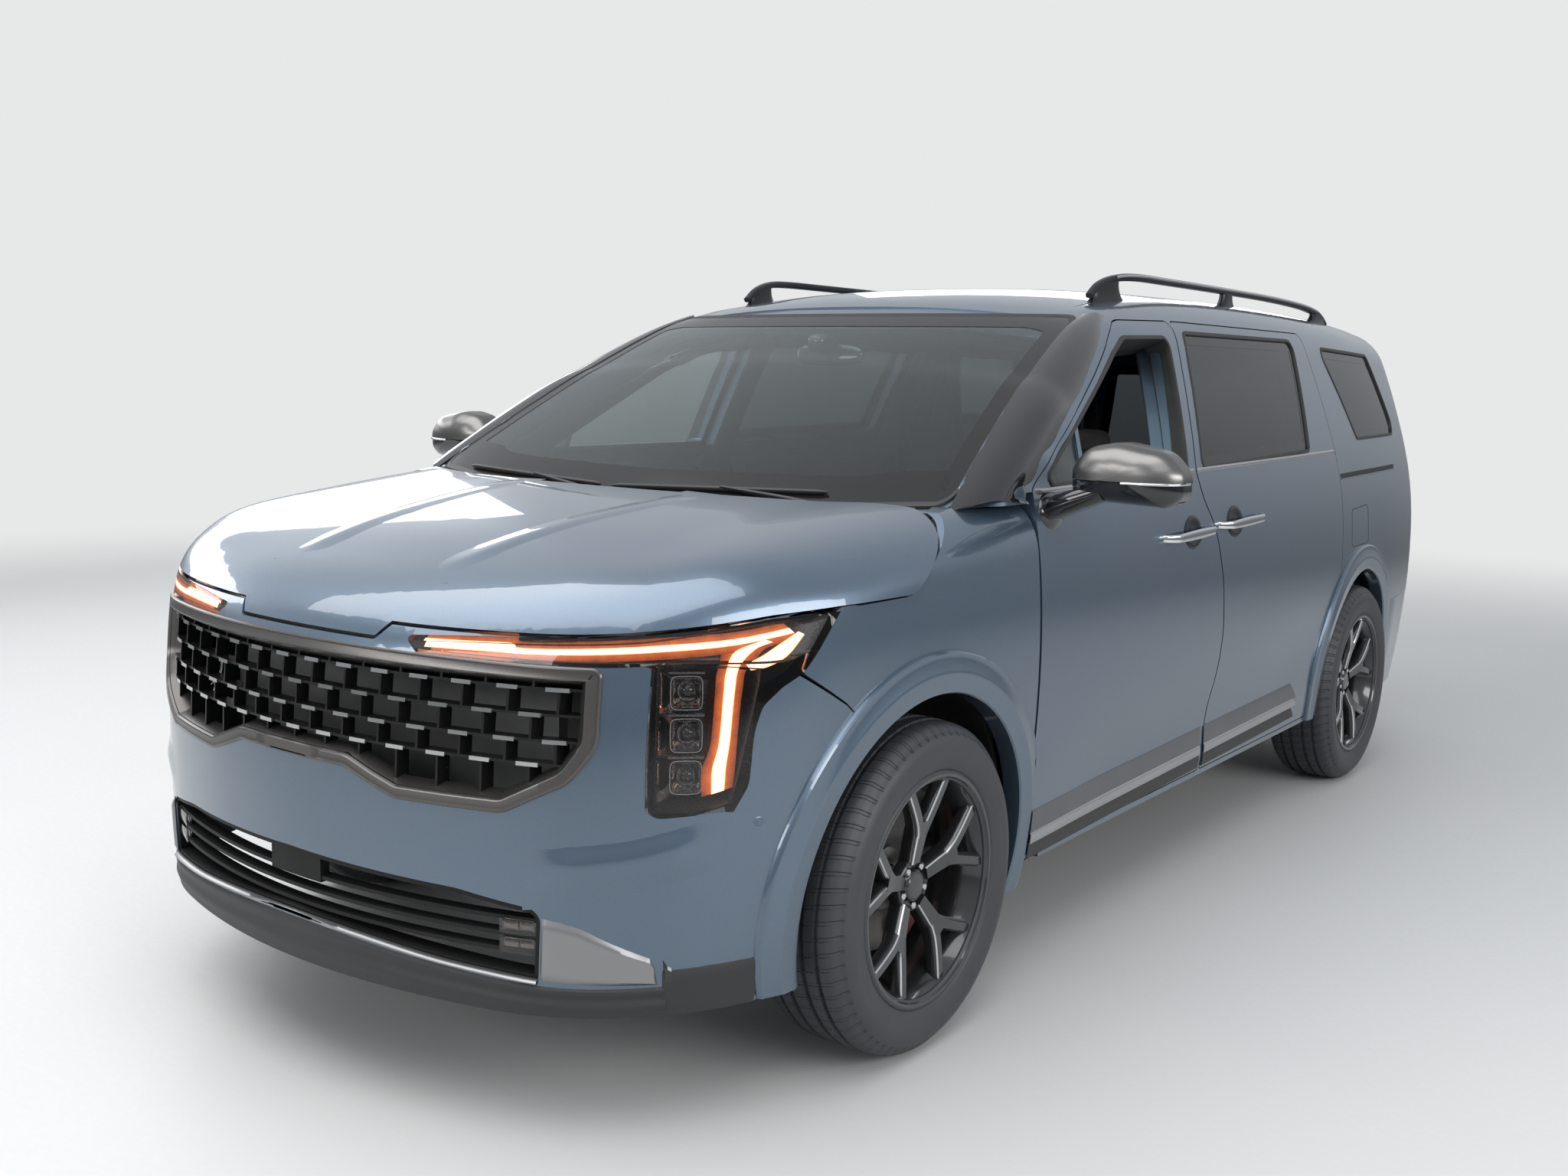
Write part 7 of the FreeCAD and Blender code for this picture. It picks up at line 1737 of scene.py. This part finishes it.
spoiler = bar(on_tail(along(((-.60, 1.610), (-.45, 1.622), (0, 1.627), (.45, 1.622), (.60, 1.610)), 61), .008), .016,
              .015, power=2.6, up=(0, .3, 1))
piece("spoiler_lip", [spoiler], GLOSS_BLACK, "liftgate")
stop_lamp = bar(on_tail(along(((-.150, 1.602), (0, 1.604), (.150, 1.602)), 31), .012), .006, .007, power=3,
                up=(0, .3, 1))
piece("high_stop_lamp", [stop_lamp], RED_GLOW, "liftgate")
rear_blade = bar(on_tail(along(((-.02, 1.168), (.16, 1.180), (.34, 1.186)), 41), .011), .006, .005, power=2.4)
rear_arm = bar(on_tail(along(((.0, 1.150), (.06, 1.166), (.17, 1.182)), 31), .016), np.linspace(.013, .005, 31),
               np.linspace(.009, .004, 31), power=3)
piece("rear_wiper", [rear_blade, rear_arm], PLASTIC_GRAIN, "liftgate")
garnish = bar(on_tail(along(((-.520, .962), (0, .968), (.520, .962)), 61), .006), .012, .010, power=3.4)
piece("liftgate_garnish", [held(garnish)], SATIN_SILVER, "liftgate")
PLATE_RECESS = ((-.300, .760, .03), (.300, .760, .03), (.275, .925, .03), (-.275, .925, .03))
recess = band(cabin_gap, loop(PLATE_RECESS, 200),
              ((-.006, -.001), (-.003, .0035), (.001, .0045), (.006, .0025), (.007, -.001)), rear_place, REARWARD, .002)
piece("plate_recess_rim", [held(recess)], GLOSS_BLACK, "liftgate")
plate_bed = tail_strip(-.265, .265, .780, .905, .0015, .002, 41)
piece("plate_bed", [plate_bed], TEXTURED_BLACK, "liftgate")
plate_lights = rounded((.090, float(on_tail(((.09, .915),), .004)[0, 1]), .915), (.028, .006, .006), 4, 8)
plate_lights = [held(p) for p in plate_lights]
piece("plate_lights", both(plate_lights), LAMP_GREY, "liftgate")
skirt = [tail_strip(-.78, .78, .262, .420, .0035, .004, 121)]
piece("rear_skirt", skirt, PLASTIC_GRAIN, "body")
piece("rear_skirt_strip", [tail_strip(-.60, .60, .352, .372, .0066, .004, 121)], SATIN_SILVER, "body")
# The reflectors take the glowing red of the lamp guides: painted light, as they hold no lamp.
reflector = tail_strip(.560, .740, .486, .506, .0035, .004, 31)
piece("rear_reflectors", both([reflector]), RED_GLOW, "body")
sensors = [button(cabin_gap, (x, 2.3, .560), REARWARD, .0085, .0012) for x in (-.42, -.14, .14, .42)]
piece("parking_sensors_rear", sensors, PAINT, "body")
gate_trim = []
for s in (1, -1):
    gate_trim.append(bar(along(((s * .585, 2.235, 1.58), (s * .60, 2.36, 1.30), (s * .62, 2.42, 1.05)), 31), .030, .014,
                         power=3, up=(1, 0, 0)))
piece("liftgate_inner_trim", gate_trim, SOFT_TRIM, "liftgate")

# Running gear and engine bay: cast, pressed and moulded parts in their own raw finishes under the floor and the hood.
IRON_CAST = finish("cast_iron", (.060, .058, .056), (.090, .085, .080), (.55, .75), patch=14, grain=260, bump=.5,
                   distance=.001, Metallic=.5)
STEEL_BLACK = finish("dipped_steel", (.022, .022, .023), (.034, .033, .032), (.38, .52), patch=8, grain=300, bump=.2,
                     Metallic=.3)
ALLOY_CAST = finish("cast_alloy", (.38, .38, .38), (.30, .30, .30), (.38, .52), patch=12, grain=260, bump=.5,
                    distance=.001, Metallic=.9)
PIPE_STEEL = finish("exhaust_steel", (.34, .32, .29), (.24, .22, .20), (.30, .48), patch=7, grain=200, bump=.2,
                    Metallic=1.0)
CARPET = finish("floor_carpet", (.030, .030, .031), (.046, .045, .045), (.85, .95), patch=16, grain=700, bump=.6,
                distance=.0015)
LINER_FELT = finish("liner_felt", (.010, .010, .010), (.017, .017, .017), (.75, .9), patch=12, grain=400, bump=.5)
FIN_ALLOY = finish("radiator_fins", (.12, .12, .12), (.17, .17, .17), (.40, .55), patch=18, grain=900, bump=.6,
                   Metallic=.8)
dress(ALLOY_CAST, "engine_block", "knuckle_left", "knuckle_right")
dress(IRON_CAST, "rear_axle")
dress(STEEL_BLACK, "front_frame")
dress(PIPE_STEEL, "exhaust")
dress(CARPET, "floor_pan")
dress(LINER_FELT, "wheel_liners")
dress(FIN_ALLOY, "radiator")
dress(STEEL_BLACK, "fuel_tank")
cover_parts = rounded((.02, -1.86, .992), (.330, .225, .020), 5, 16)
ribs = [p for k in range(-3, 4) for p in rounded((.02 + k * .085, -1.86, 1.010), (.010, .190, .006), 4, 8)]
piece("engine_cover", cover_parts + ribs, PLASTIC_GRAIN, "body")
battery = blocks(((-.600, -2.02, .90), (.095, .120, .085), 7, 12), ((-.600, -2.02, .992), (.098, .123, .010), 6, 8))
piece("battery_box", battery, PLASTIC_GRAIN, "body")
intake_pipe = bar(along(((-.30, -1.80, .975), (-.44, -1.76, .985), (-.56, -1.80, .965), (-.60, -1.88, .94)), 41), .034,
                  .034, power=2, sides=24)
piece("intake_duct", [intake_pipe], SEAL_RUBBER, "body")
